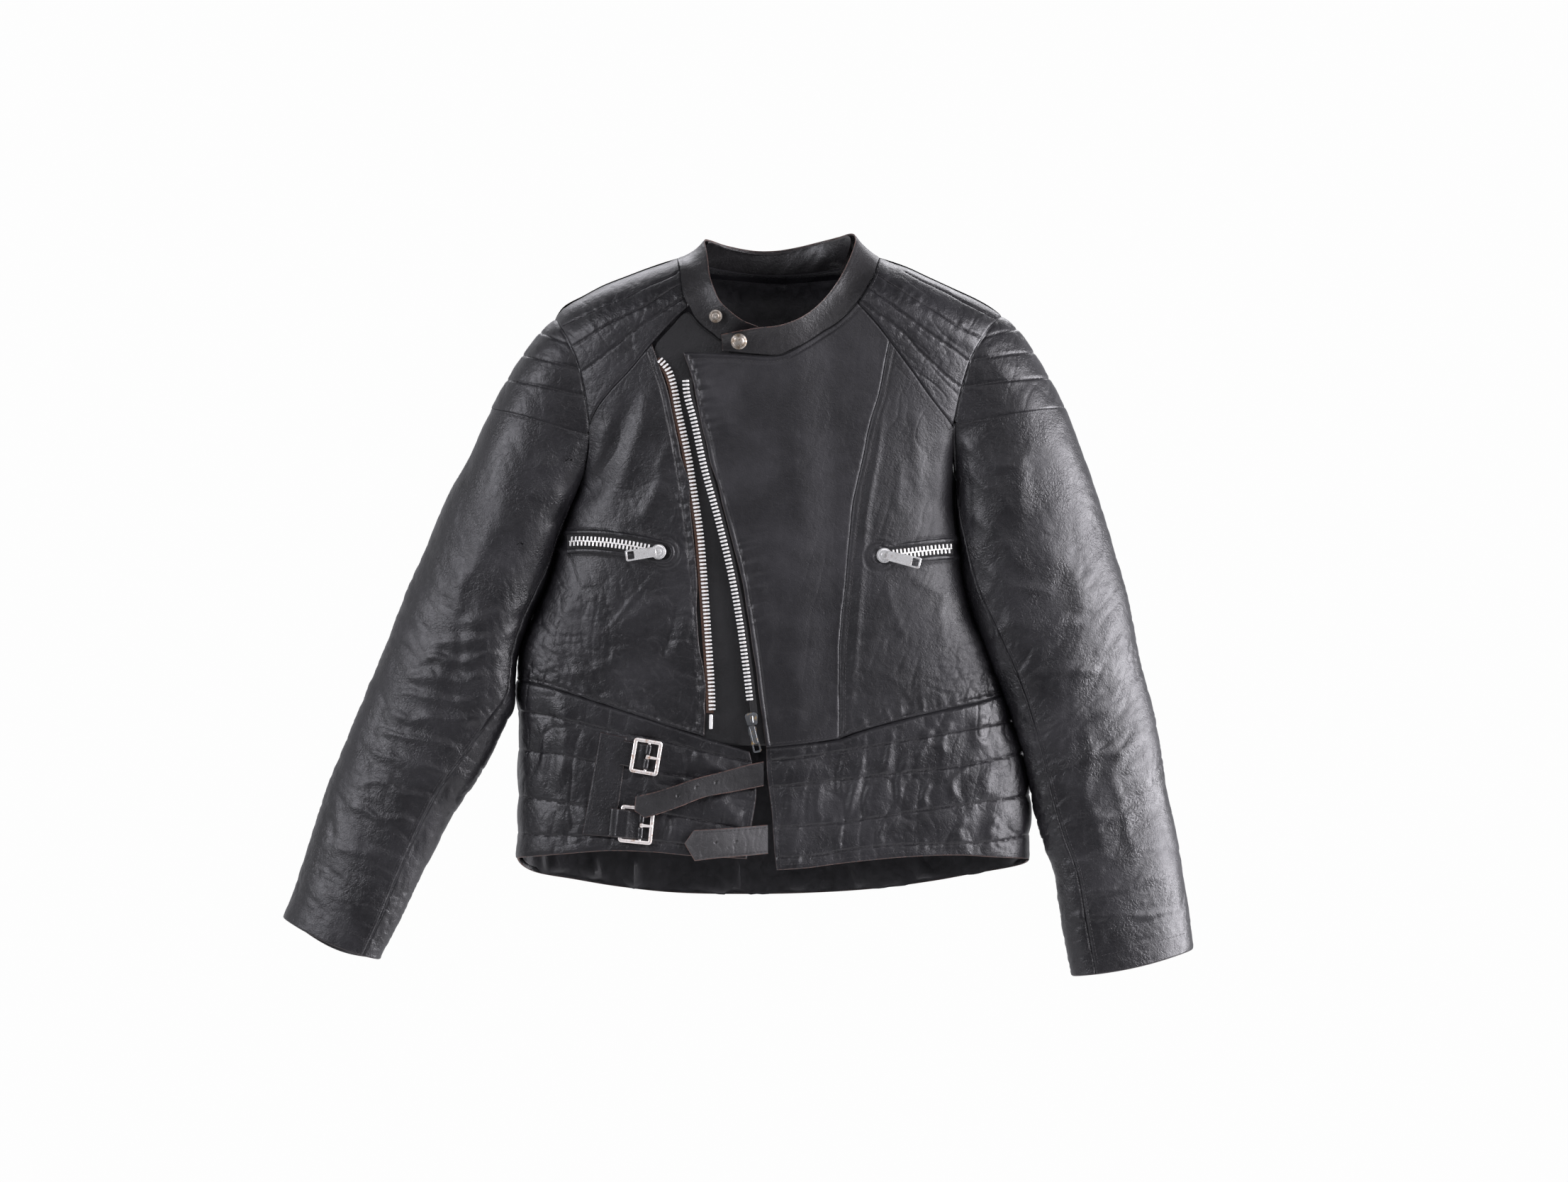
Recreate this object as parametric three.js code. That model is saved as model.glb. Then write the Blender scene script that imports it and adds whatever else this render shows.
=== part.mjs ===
// Leather riding jacket, held up at the neck. Millimetres, +Z up.
// Origin: centre of the hanger seat between the shoulders at the neck.
// The jacket faces -Y, the wearer's right side is at -X.
import * as THREE from 'three';

// ---------------------------------------------------------------- dimensions
const MID_Y = -10;            // plane between front and back, where the side seams run
const N_EXP = 3.0;            // squareness of the torso section
const SHOULDER_R = 50;        // rounding below the shoulder line
const LEATHER = 1.8;          // leather thickness
const QUILT = 3.4;            // padded, quilted panels
const ZIP_PITCH = 3.75;       // tooth pitch of all zips
const TOOTH_START = 0.6;      // where a tooth begins and ends within its pitch
const TOOTH_END = 2.7;
const TOOTH_GROUP = 2;        // teeth in one length of a chain
const OVERLAP = 4.4;          // how far the left front stands over the right one
const STRAP = 2.2;            // strap leather
const FRAME_BAR = 3.6;        // width of a buckle frame's bars
const FRAME_DEPTH = 3.0;
const PIN_HALF = 1.3;         // half width of the bar that a prong turns on
const RIGHT_ANGLE = Math.PI / 2;
const LEFT_SPLIT = 58;        // x of the seam where the left front opens; the pieces stop 1 short of it
const LEFT_FIXED = LEFT_SPLIT + 1;
const LEFT_MOVING = LEFT_SPLIT - 1;

// ---------------------------------------------------------------- profiles
const interp = (tab, x) => {               // smooth table: [[x, y], ...] rising x
  const n = tab.length;
  if (x <= tab[0][0]) return tab[0][1];
  if (x >= tab[n - 1][0]) return tab[n - 1][1];
  let i = 0;
  while (tab[i + 1][0] < x) i++;
  const sl = (k) => (tab[k + 1][1] - tab[k][1]) / (tab[k + 1][0] - tab[k][0]);
  const tan = (k) => {
    if (k <= 0) return sl(0);
    if (k >= n - 1) return sl(n - 2);
    const a = sl(k - 1);
    const b = sl(k);
    return a * b <= 0 ? 0 : 2 * a * b / (a + b);
  };
  const h = tab[i + 1][0] - tab[i][0];
  const t = (x - tab[i][0]) / h;
  const t2 = t * t;
  const t3 = t2 * t;
  const ends = (2 * t3 - 3 * t2 + 1) * tab[i][1] + (-2 * t3 + 3 * t2) * tab[i + 1][1];
  return ends + (t3 - 2 * t2 + t) * tan(i) * h + (t3 - t2) * tan(i + 1) * h;
};
const clamp = (low, high, x) => Math.min(high, Math.max(low, x));
const smooth = (a, b, x) => {
  const t = clamp(0, 1, (x - a) / (b - a));
  return t * t * (3 - 2 * t);
};
// the side seams of the body, and how far it stands in front of and behind MID_Y, all along z
const SIDE_RIGHT = [
  [-650, -262], [-585, -259.5], [-500, -256.5], [-436, -256], [-382, -254], [-342, -240], [-310, -225],
  [-273, -217], [-237, -206], [-212, -199], [-185, -204], [-160, -212], [-100, -228], [-50, -240],
  [10, -250], [60, -255],
];
const SIDE_LEFT = [
  [-650, 252], [-588, 250], [-512, 248], [-480, 242.5], [-450, 233], [-425, 223.5], [-390, 211],
  [-360, 199], [-339, 190], [-301, 182], [-271, 180], [-226, 176], [-200, 177], [-170, 184], [-158, 189],
  [-100, 213], [-50, 232], [10, 245], [60, 250],
];
const DEPTH_FRONT = [
  [-650, 72], [-590, 72], [-470, 69], [-400, 71], [-250, 75], [-160, 73], [-100, 70], [-50, 66], [0, 62],
  [60, 60],
];
const DEPTH_BACK = [
  [-650, 50], [-600, 50], [-500, 48], [-400, 45], [-250, 52], [-100, 50], [0, 45], [60, 44],
];
// the line of the shoulders, z along x
const RIDGE = [
  [-260, -95], [-221, -50], [-213, -40], [-193, -29], [-169, -17], [-150, -9.4], [-129, -1.6], [-110, 5],
  [-97, 10], [-60, 16], [0, 18], [60, 16], [101, 10], [112, 5.5], [128, 0], [151, -11], [175, -22],
  [199, -33], [223, -47], [262, -95],
];

// torso point: front (s = -1) or back (s = +1); a is the section angle, -PI/2..PI/2
const rawTorso = (s, a, z) => {
  const l = interp(SIDE_RIGHT, z);
  const r = interp(SIDE_LEFT, z);
  const x = (l + r) / 2 + (r - l) / 2 * Math.sin(a);
  const u = Math.min(1, Math.abs(Math.sin(a)));
  const sx = Math.pow(Math.max(0, 1 - Math.pow(u, N_EXP)), 1 / N_EXP);
  const t = clamp(0, 1, (interp(RIDGE, x) - z) / SHOULDER_R);
  const sz = Math.sqrt(Math.max(0, 1 - (1 - t) * (1 - t)));
  return [x, MID_Y + s * interp(s < 0 ? DEPTH_FRONT : DEPTH_BACK, z) * sx * sz, z];
};
const angOf = (x, z) => {
  const l = interp(SIDE_RIGHT, z);
  const r = interp(SIDE_LEFT, z);
  return Math.asin(clamp(-1, 1, (x - (l + r) / 2) / ((r - l) / 2)));
};
const cross = (a, b) => [
  a[1] * b[2] - a[2] * b[1],
  a[2] * b[0] - a[0] * b[2],
  a[0] * b[1] - a[1] * b[0],
];
const dot = (a, b) => a[0] * b[0] + a[1] * b[1] + a[2] * b[2];
const unit = (a) => {
  const l = Math.hypot(...a) || 1;
  return a.map((v) => v / l);
};
const sub = (a, b) => a.map((v, i) => v - b[i]);
const add = (a, b, k = 1) => a.map((v, i) => v + b[i] * k);
const mix = (a, b, t) => a + (b - a) * t;

// a point of the torso moved out by off along the surface's own normal
const torso = (s) => (a, z, off) => {
  const step = 0.02;
  const p = rawTorso(s, a, z);
  const da = sub(
    rawTorso(s, Math.min(RIGHT_ANGLE, a + step), z), rawTorso(s, Math.max(-RIGHT_ANGLE, a - step), z),
  );
  const dz = sub(rawTorso(s, a, z + 1.5), rawTorso(s, a, z - 1.5));
  let n = unit(cross(da, dz));
  if (s > 0) n = n.map((v) => -v);
  if (interp(RIDGE, p[0]) - z < 1.6) n = [0, 0, 1];
  if (RIGHT_ANGLE - Math.abs(a) < 1e-6) n = [Math.sign(a), 0, 0];
  return add(p, n, off);
};
const FRONT = torso(-1);
const BACK = torso(1);

// ---------------------------------------------------------------- curves
const curve = (pts) => {
  const knots = pts.map((p) => new THREE.Vector3(p[0], p[1], p[2] ?? 0));
  const c = new THREE.CatmullRomCurve3(knots, false, 'centripetal');
  c.arcLengthDivisions = 300;
  return c;
};
const at = (c, t) => {
  const p = c.getPointAt(clamp(0, 1, t));
  return [p.x, p.y, p.z];
};
// an edge given in (x, z) becomes a curve in (section angle, z / ZS)
const ZS = 200;
const edge = (pts) => curve(pts.map(([x, z]) => [angOf(x, z), z / ZS]));
// several curves end to end, with their corners kept
const joined = (...cs) => {
  const lengths = cs.map((c) => c.getLength());
  const total = lengths.reduce((a, b) => a + b, 0);
  const getPointAt = (t) => {
    let s = t * total;
    let i = 0;
    while (i < cs.length - 1 && s > lengths[i]) {
      s -= lengths[i];
      i++;
    }
    return cs[i].getPointAt(Math.min(1, s / lengths[i]));
  };
  return { getLength: () => total, getPointAt };
};
const flip = (c) => ({ getLength: () => c.getLength(), getPointAt: (t) => c.getPointAt(1 - t) });
const outline = (pts) => pts.map((p) => new THREE.Vector2(p[0], p[1]));

// ---------------------------------------------------------------- solids
const root = new THREE.Group();
// colour, roughness, metalness
const mats = {
  leather: [0x2c2b2f, 0.45, 0],
  quilt: [0x29282c, 0.45, 0],
  facing: [0x232226, 0.55, 0],
  lining: [0x121114, 0.35, 0],
  tape: [0x17161a, 0.85, 0],
  bag: [0x1b1a1d, 0.7, 0],
  strap: [0x2f2d30, 0.45, 0],
  nickel: [0xd6d4d0, 0.25, 1],
  dark: [0x6a665f, 0.4, 1],
  brass: [0xb49a68, 0.35, 1],
};
const addMesh = (name, geo, mat) => {
  const [color, roughness, metalness] = mats[mat];
  const pos = geo.getAttribute('position');
  const idx = geo.getIndex();
  const tri = idx ? Array.from(idx.array) : Array.from({ length: pos.count }, (_, i) => i);
  const corner = (i) => [pos.getX(tri[i]), pos.getY(tri[i]), pos.getZ(tri[i])];
  let volume = 0;
  for (let i = 0; i < tri.length; i += 3) {
    volume += dot(corner(i), cross(corner(i + 1), corner(i + 2)));
  }
  if (volume < 0) {
    for (let i = 0; i < tri.length; i += 3) {
      [tri[i + 1], tri[i + 2]] = [tri[i + 2], tri[i + 1]];
    }
    geo.setIndex(tri);
  }
  geo.computeVertexNormals();
  const mesh = new THREE.Mesh(geo, new THREE.MeshStandardMaterial({ color, roughness, metalness }));
  mesh.name = name;
  root.add(mesh);
};
// adds an extruded outline that faces the front, turned by angle about Y and moved to place
const addPlate = (name, mat, shape, depth, angle, place) => {
  const g = new THREE.ExtrudeGeometry(shape, { depth, bevelEnabled: false, steps: 1 });
  g.rotateX(RIGHT_ANGLE);
  g.rotateY(angle);
  g.translate(...place);
  addMesh(name, g, mat);
};
// a box grid whose vertices are sent through map(u, v, w), all 0..1
const grid = (nu, nv, map, nw = 1) => {
  const g = new THREE.BoxGeometry(1, 1, 1, nu, nv, nw);
  const p = g.getAttribute('position');
  const seen = new Map();
  for (let i = 0; i < p.count; i++) {
    const uvw = [p.getX(i) + 0.5, p.getY(i) + 0.5, p.getZ(i) + 0.5];
    const key = uvw.map((v) => Math.round(v * 1e5)).join();
    if (!seen.has(key)) seen.set(key, map(...uvw));
    p.setXYZ(i, ...seen.get(key));
  }
  return g;
};
// four-sided panel between edges (each running +x or +z); o0 and o1 are the inner and outer offsets
// gu and gv are the gaps left to the neighbours, as shares of the panel, gu2 and gv2 those on the far side
const panel = (name, mat, surf, edges, nu, nv, o0, o1, opt = {}) => {
  const { top, bottom, left, right } = edges;
  const { gu = 0.0025, gv = 0.003, gu2 = gu, gv2 = gv, fv = (v) => v, lift = () => 0 } = opt;
  const c = [at(bottom, 0), at(bottom, 1), at(top, 0), at(top, 1)];
  addMesh(name, grid(nu, nv, (uu, vv, w) => {
    const u = mix(gu, 1 - gu2, uu);
    const v = mix(gv, 1 - gv2, fv(vv));
    const b = at(bottom, u);
    const t = at(top, u);
    const l = at(left, v);
    const r = at(right, v);
    const corners = (i) => mix(mix(c[0][i], c[1][i], u), mix(c[2][i], c[3][i], u), v);
    const [angle, height] = [0, 1].map((i) => mix(b[i], t[i], v) + mix(l[i], r[i], u) - corners(i));
    const a = clamp(-RIGHT_ANGLE, RIGHT_ANGLE, angle);
    const z = height * ZS;
    return surf(a, z, mix(o0, o1, w) + lift(rawTorso(-1, a, z)[0]));
  }), mat);
};
// the point s along a line and h across it
const onLine = (line, len, s, h) => {
  const p = at(line, s / len);
  const q = at(line, Math.min(1, (s + 1) / len));
  const r = at(line, Math.max(0, (s - 1) / len));
  const t = unit([q[0] - r[0], q[1] - r[1], 0]);
  return [p[0] - t[1] * h, p[1] + t[0] * h];
};
const onFront = (x, z, off) => FRONT(angOf(x, z), z, off);
const value = (v, x) => (typeof v === 'function' ? v(x) : v);
// ribbon along a line in (x, z): from s0 to s1 along it, h0 to h1 across, o0 to o1 off the surface
const ribbon = (name, mat, line, s0, s1, h0, h1, o0, o1, ns, nh = 1) => {
  const len = line.getLength();
  addMesh(name, grid(ns, nh, (u, v, w) => {
    const s = mix(s0, s1, u);
    const [x, z] = onLine(line, len, s, mix(value(h0, s), value(h1, s), v));
    return onFront(x, z, mix(value(o0, x), value(o1, x), w));
  }), mat);
};
// one length of a toothed chain: k teeth from a0, along one side or both sides of the spine
const chainLink = (a0, k, spine, sides) => {
  const end = a0 + k * ZIP_PITCH;
  const lower = [];
  const upper = [];
  for (let j = 0; j < k; j++) {
    const a = a0 + j * ZIP_PITCH + TOOTH_START;
    const b = a0 + j * ZIP_PITCH + TOOTH_END;
    if (sides[0] !== null) lower.push([a, spine[0]], [a, sides[0]], [b, sides[0]], [b, spine[0]]);
    upper.unshift([b, spine[1]], [b, sides[1]], [a, sides[1]], [a, spine[1]]);
  }
  const pts = [[a0, spine[0]], ...lower, [end, spine[0]], [end, spine[1]], ...upper, [a0, spine[1]]];
  return new THREE.ExtrudeGeometry(
    new THREE.Shape(outline(pts)), { depth: 1, bevelEnabled: false, steps: 1 },
  );
};
// toothed chain: short extruded lengths that share their end faces, bent along a line
const comb = (name, mat, line, s0, s1, spine, sides, o0, o1) => {
  const len = line.getLength();
  const n = Math.floor((s1 - s0) / ZIP_PITCH);
  const end = s0 + n * ZIP_PITCH;
  const faces = [];
  for (let i = 0; i < n; i += TOOTH_GROUP) {
    const p = chainLink(
      s0 + i * ZIP_PITCH, Math.min(TOOTH_GROUP, n - i), spine, sides,
    ).getAttribute('position');
    for (let f = 0; f < p.count; f += 3) {
      faces.push([f, f + 1, f + 2].map((j) => [p.getX(j), p.getY(j), p.getZ(j)]));
    }
  }
  // the shared end faces, which appear once in each direction, drop out
  const isShared = (x) => {
    const k = (x - s0) / (TOOTH_GROUP * ZIP_PITCH);
    return Math.abs(k - Math.round(k)) < 1e-4 && x > s0 + 0.01 && x < end - 0.01;
  };
  const isFlat = (f) => f.every((v) => Math.abs(v[0] - f[0][0]) < 1e-4);
  const keep = faces.filter((f) => !(isFlat(f) && isShared(f[0][0])));
  const g = new THREE.BufferGeometry();
  g.setAttribute('position', new THREE.Float32BufferAttribute(keep.flat(2), 3));
  const p = g.getAttribute('position');
  for (let i = 0; i < p.count; i++) {
    const [x, z] = onLine(line, len, p.getX(i), p.getY(i));
    p.setXYZ(i, ...onFront(x, z, value(p.getZ(i) > 0.5 ? o1 : o0, x)));
  }
  addMesh(name, g, mat);
};

// ---------------------------------------------------------------- seam lines (x, z)
const NECK_R = [[-97.6, 10], [-96, -0.5], [-93.5, -18], [-91, -31], [-87, -39]];
const NECK_L = [[100, 10.6], [99, 6.6], [94.5, -8], [87, -22], [78.5, -36]];
const YOKE_R = [
  [-87, -39], [-103, -53.5], [-120, -72], [-145, -102], [-163, -121], [-176.5, -138], [-185.5, -156],
];
const YOKE_RF = [[-123.5, -77], [-145, -102], [-163, -121], [-176.5, -138], [-185.5, -156]];
const YOKE_L = [
  [78.5, -36], [100, -59], [113, -77], [132, -102.5], [149.5, -127], [163, -144], [174, -158],
];
const ARM_R = [[-221, -50], [-210, -67], [-198, -93], [-190, -125], [-185.5, -156]];
const ARM_L = [[223, -47], [210, -60], [193, -88], [182, -121], [174, -158]];
const ARM_R2 = [[-185.5, -156], [-187, -185], [-194, -212], [-202.2, -224]];
const ARM_L2 = [[174, -158], [174, -185], [175, -204], [177.5, -216]];
const RIDGE_R = [
  [-221, -50], [-213, -40], [-193, -29], [-169, -17], [-150, -9.4], [-129, -1.6], [-110, 5], [-97.6, 10],
];
const RIDGE_L = [[100, 10.6], [112, 5.5], [128, 0], [151, -11], [175, -22], [199, -33], [223, -47]];
const FRONT_EDGE_R = [
  [-72, -463], [-71, -436], [-71, -405], [-80, -290], [-94, -189], [-97, -173], [-102, -149],
  [-108, -122], [-115, -101], [-123.5, -77],
];
const WAIST_R = [
  [-259, -408], [-232, -413.5], [-202, -422], [-171, -432], [-140.5, -442], [-110, -452], [-72, -463],
];
const WAIST_R2 = [
  [-259, -408], [-232, -413.5], [-202, -422], [-171, -432], [-140.5, -442], [-110, -452], [-72, -464],
  [-27, -478],
];
const HEM_R = [
  [-264, -585], [-240, -582], [-209, -579], [-163.5, -575.5], [-118, -577], [-87, -580], [-30, -583],
];
const BAND_EDGE_R = [[-30, -583], [-25, -549], [-20.5, -515], [-27, -478]];
const FLAP_EDGE = [
  [-11, -474], [-14, -453], [-18.5, -420], [-22, -390], [-28, -350], [-37, -300], [-50, -250],
  [-64, -200], [-70.5, -172], [-78, -140], [-83.5, -112], [-92.6, -85.6],
];
const FLAP_TOP = [[-92.6, -85.6], [-45, -87], [2.3, -88], [30, -74], [44, -64.6], [LEFT_MOVING, -56.4]];
const WAIST_L = [[-11, -474], [21, -471], [LEFT_MOVING, -466.2]];
const WAIST_L2 = [
  [LEFT_FIXED, -465.8], [74, -460], [120, -446.5], [173.5, -434], [216, -424], [226, -422],
];
const HEM_L = [[-0.6, -594], [29, -592], [LEFT_MOVING, -588.5]];
const HEM_L2 = [
  [LEFT_FIXED, -588.2], [78, -586], [127, -581.5], [176.5, -580], [216, -582.5], [252, -586],
];
const NECK_L2 = [[LEFT_FIXED, -54.8], [69, -46], [78.5, -36]];
const ZIP_R = [
  [-118.5, -91], [-108.7, -102], [-103, -117], [-98, -143], [-94, -161], [-88, -189], [-83.4, -218],
  [-76.7, -263], [-73, -307], [-69, -363], [-65.5, -419], [-65, -440],
];
const ZIP_L = [
  [-24.5, -441], [-29.5, -398], [-36, -350], [-45, -300], [-57, -250], [-70.5, -200], [-81.5, -150],
  [-85, -138], [-88, -125], [-89, -110],
];
const POCKET_R = [
  [-112, -281.8], [-130.5, -278], [-150, -274.5], [-171, -272], [-193, -271], [-210, -272],
];
const POCKET_L = [[101, -285.5], [127, -282.6], [147, -280.2], [166.5, -278.4], [176, -278]];
// the left front lies over the right one
const lift = (x) => OVERLAP * smooth(60, 15, x);

const side = (x, z0, z1) => edge([[x, z0], [x, (z0 + z1) / 2], [x, z1]]);

// ---------------------------------------------------------------- torso, root body
// rows of points that crowd together towards the shoulder line
const easeTop = (v) => 1 - (1 - v) * (1 - v) * (1 - 0.25 * v);
panel(
  'right_shoulder_yoke', 'quilt', FRONT,
  { top: edge(RIDGE_R), bottom: flip(edge(YOKE_R)), left: flip(edge(ARM_R)), right: flip(edge(NECK_R)) },
  7, 6, -QUILT, 0, { fv: easeTop, gu: 0.008, gv2: 0.0008 },
);
panel(
  'left_shoulder_yoke', 'quilt', FRONT,
  { top: edge(RIDGE_L), bottom: edge(YOKE_L), left: flip(edge(NECK_L)), right: flip(edge(ARM_L)) }, 7, 6,
  -QUILT, 0, { fv: easeTop, gu: 0.008, gv2: 0.0008 },
);
panel(
  'right_front_panel', 'leather', FRONT,
  {
    top: flip(edge(YOKE_RF)),
    bottom: edge(WAIST_R),
    left: flip(joined(edge(ARM_R2), side(-400, -224, -408))),
    right: edge(FRONT_EDGE_R),
  },
  9, 10, -LEATHER, 0, { gu: 0.003, gv2: 0.004 },
);
panel(
  'left_side_front_panel', 'leather', FRONT,
  {
    top: joined(edge(NECK_L2), edge(YOKE_L)),
    bottom: edge(WAIST_L2),
    left: edge([[LEFT_FIXED, -465.8], [LEFT_FIXED, -250], [LEFT_FIXED, -54.8]]),
    right: flip(joined(edge(ARM_L2), side(400, -216, -422))),
  },
  9, 10, -LEATHER, 0, { gu: 0.003, gv2: 0.004 },
);
panel(
  'right_front_waist_panel', 'quilt', FRONT,
  { top: edge(WAIST_R2), bottom: edge(HEM_R), left: side(-400, -585, -408), right: edge(BAND_EDGE_R) },
  10, 5, -QUILT, 0, { gu: 0.004, gv: 0.006 },
);
panel(
  'left_side_waist_panel', 'quilt', FRONT,
  {
    top: edge(WAIST_L2),
    bottom: edge(HEM_L2),
    left: edge([[LEFT_FIXED, -588.2], [LEFT_FIXED, -530], [LEFT_FIXED, -465.8]]),
    right: side(400, -586, -422),
  },
  8, 5, -QUILT, 0, { gu: 0.004, gv: 0.006 },
);
const UNDER_L = [
  [-80, -470], [-80, -405], [-89, -290], [-101, -205], [-109, -150], [-117, -118], [-125, -92],
  [-119, -75],
];
const UNDER_R = [[18, -472], [14, -400], [4, -300], [-12, -200], [-30, -120], [-50, -78]];
panel(
  'right_underlap', 'facing', FRONT,
  {
    top: edge([[-119, -75], [-104, -58], [-90, -44], [-76, -58], [-50, -78]]),
    bottom: edge([[-80, -470], [-30, -472], [18, -472]]),
    left: edge(UNDER_L),
    right: edge(UNDER_R),
  },
  7, 11, -5.6, -4.2,
);

const NECK_B = [
  [-97.6, 10], [-80, 6], [-55, 1], [-20, -3.4], [7, -4], [35, -2], [62, 2], [84, 7], [100, 10.6],
];
const BYOKE = [[-189.5, -133], [-100, -140], [-5, -142], [90, -140], [178.5, -133]];
panel(
  'back_yoke', 'quilt', BACK,
  {
    top: joined(edge(RIDGE_R), edge(NECK_B), edge(RIDGE_L)),
    bottom: edge(BYOKE),
    left: flip(edge([[-221, -50], [-210, -67], [-198, -93], [-189.5, -133]])),
    right: flip(edge([[223, -47], [210, -60], [193, -88], [178.5, -133]])),
  },
  12, 5, -QUILT, 0, { fv: easeTop, gv2: 0.0008, gu: 0.004 },
);
const BWAIST = [[-259, -408], [-130, -420], [-5, -424], [120, -423], [226, -422]];
panel(
  'back_panel', 'leather', BACK,
  {
    top: edge(BYOKE),
    bottom: edge(BWAIST),
    left: flip(
      joined(edge([[-189.5, -133], [-186, -165], [-191, -198], [-202.2, -224]]), side(-400, -224, -408)),
    ),
    right: flip(
      joined(edge([[178.5, -133], [172.5, -165], [173, -195], [177.5, -216]]), side(400, -216, -422)),
    ),
  },
  11, 10, -LEATHER, 0, { gv2: 0.004 },
);
const BHEM = [
  [-264, -585], [-240, -597], [-200, -604], [-156, -610], [-102, -618], [-26, -619.5], [39, -617],
  [98, -613], [157, -603], [196, -597], [252, -588],
];
panel(
  'back_waist_panel', 'quilt', BACK,
  { top: edge(BWAIST), bottom: edge(BHEM), left: side(-400, -585, -408), right: side(400, -588, -422) },
  11, 4, -QUILT, 0, { gv: 0.006 },
);

// linings
const LO = [[-186, -100], [-182, -165], [-188, -205], [-198, -230]];
panel(
  'back_lining', 'lining', BACK,
  {
    top: edge(
      [
        [-196, -60], [-150, -27], [-100, -9], [-50, -13], [7, -16], [60, -12], [100, -9], [150, -27],
        [196, -60],
      ],
    ),
    bottom: edge(
      [
        [-264, -584], [-240, -594], [-200, -601], [-156, -607], [-102, -615], [-26, -616.5], [39, -614],
        [98, -610], [157, -600], [196, -594], [252, -586],
      ],
    ),
    left: flip(joined(edge([[-196, -60], ...LO]), side(-400, -230, -584))),
    right: flip(
      joined(
        edge([[196, -60], [178, -110], [168, -165], [170, -205], [176, -226]]), side(400, -226, -586),
      ),
    ),
  },
  14, 9, -8.2, -7.0, { gu: 0.006 },
);
panel(
  'right_front_lining', 'lining', FRONT,
  {
    top: edge([[-180, -150], [-150, -112], [-124, -84]]),
    bottom: edge([[-264, -578], [-209, -573], [-118, -571], [-34, -577]]),
    left: flip(joined(edge([[-180, -150], [-182, -190], [-199, -232]]), side(-400, -232, -578))),
    right: edge(
      [[-34, -577], [-40, -480], [-95, -405], [-100, -290], [-112, -205], [-121, -150], [-124, -84]],
    ),
  },
  6, 9, -13.0, -12.2, { gu: 0.012 },
);
panel(
  'left_front_lining', 'lining', FRONT,
  {
    top: edge([[64, -60], [100, -70], [166, -156]]),
    bottom: edge([[64, -580], [127, -575], [176.5, -574], [252, -578]]),
    left: edge([[64, -580], [64, -300], [64, -60]]),
    right: flip(joined(edge([[166, -156], [168, -190], [176, -224]]), side(400, -224, -578))),
  },
  6, 9, -9.6, -8.8, { gu: 0.012 },
);
panel(
  'right_pocket_bag', 'bag', FRONT,
  {
    top: edge([[-204, -292], [-160, -292], [-112, -292]]),
    bottom: edge([[-204, -392], [-160, -398], [-112, -394]]),
    left: edge([[-204, -392], [-204, -340], [-204, -292]]),
    right: edge([[-112, -394], [-112, -340], [-112, -292]]),
  },
  5, 3, -8.6, -4.6,
);
panel(
  'left_pocket_bag', 'bag', FRONT,
  {
    top: edge([[92, -294], [120, -294], [160, -294]]),
    bottom: edge([[92, -388], [120, -392], [160, -388]]),
    left: edge([[92, -388], [92, -340], [92, -294]]),
    right: edge([[160, -388], [160, -340], [160, -294]]),
  },
  5, 3, -6.6, -3.2,
);

// ---------------------------------------------------------------- collar
// the neck seam and the free edge both run from the wearer's right end round the back to the left end
const frontY = (x, z) => onFront(x, z, 0)[1];
const onBody = (pts, dy) => pts.map(([x, z]) => [x, frontY(x, z) + dy, z]);
const NECK_SEAM = [
  ...onBody(
    [
      [-34, -75], [-56, -72], [-62, -67], [-70, -61], [-80, -51], [-86, -40], [-91, -31], [-93.5, -18],
      [-96, -0.5],
    ],
    -0.6,
  ),
  [-97.6, -10, 11], [-92, 12, 9.5], [-75, 30, 6], [-50, 40, 2], [-20, 42, -2], [7, 42.5, -2.6],
  [35, 42, -0.6], [60, 39, 3], [82, 27, 8], [96, 10, 11.5], [100, -10, 11.8],
  ...onBody([[99, 6.6], [94.5, -8], [87, -22], [79, -35], [62, -52.5]], -0.6),
];
const FREE_EDGE = [
  [-18, -85, -60.5], [-34, -85, -54], [-45, -84, -46], [-56, -81, -35], [-63, -76, -20], [-66.6, -68, -8],
  [-68, -58, 5], [-70, -44, 18], [-71.5, -22, 27], [-66, 2, 28], [-50, 20, 24], [-22, 31, 20],
  [0, 33, 20.5], [19, 32, 23.5], [45, 24, 29], [61, 10, 32], [73, -12, 34], [76.6, -35, 27],
  [72, -52, 10], [66, -64, -4], [59, -71.5, -17],
];
// a standing band between two lines, th0 to th1 thick
const band = (name, mat, lo, hi, u0, u1, nu, nv, th0, th1) => {
  addMesh(name, grid(nu, nv, (uu, v, w) => {
    const u = mix(u0, u1, uu);
    const a = at(lo, u);
    const b = at(hi, u);
    const along = sub(at(lo, Math.min(1, u + 0.004)), at(lo, Math.max(0, u - 0.004)));
    const n = unit(cross(along, sub(b, a)));
    return add(a.map((q, i) => mix(q, b[i], mix(0.02, 1, v))), n, mix(th0, th1, w));
  }), mat);
};
band('collar_band', 'leather', curve(NECK_SEAM), curve(FREE_EDGE), 0, 1, 28, 2, -2.0, 0);
// the facing covers the band's inside from one shoulder round the back to the other
const shrink = (pts, k, dz) => pts.slice(8, 20).map(
  ([x, y, z]) => [x * k, (y - MID_Y) * k + MID_Y, z + dz],
);
const FACING_LOW = curve(shrink(NECK_SEAM, 0.95, -1));
const FACING_HIGH = curve(shrink(FREE_EDGE, 0.95, -2.2));
band('collar_facing', 'facing', FACING_LOW, FACING_HIGH, 0.02, 0.98, 16, 1, -0.3, 0.8);

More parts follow.
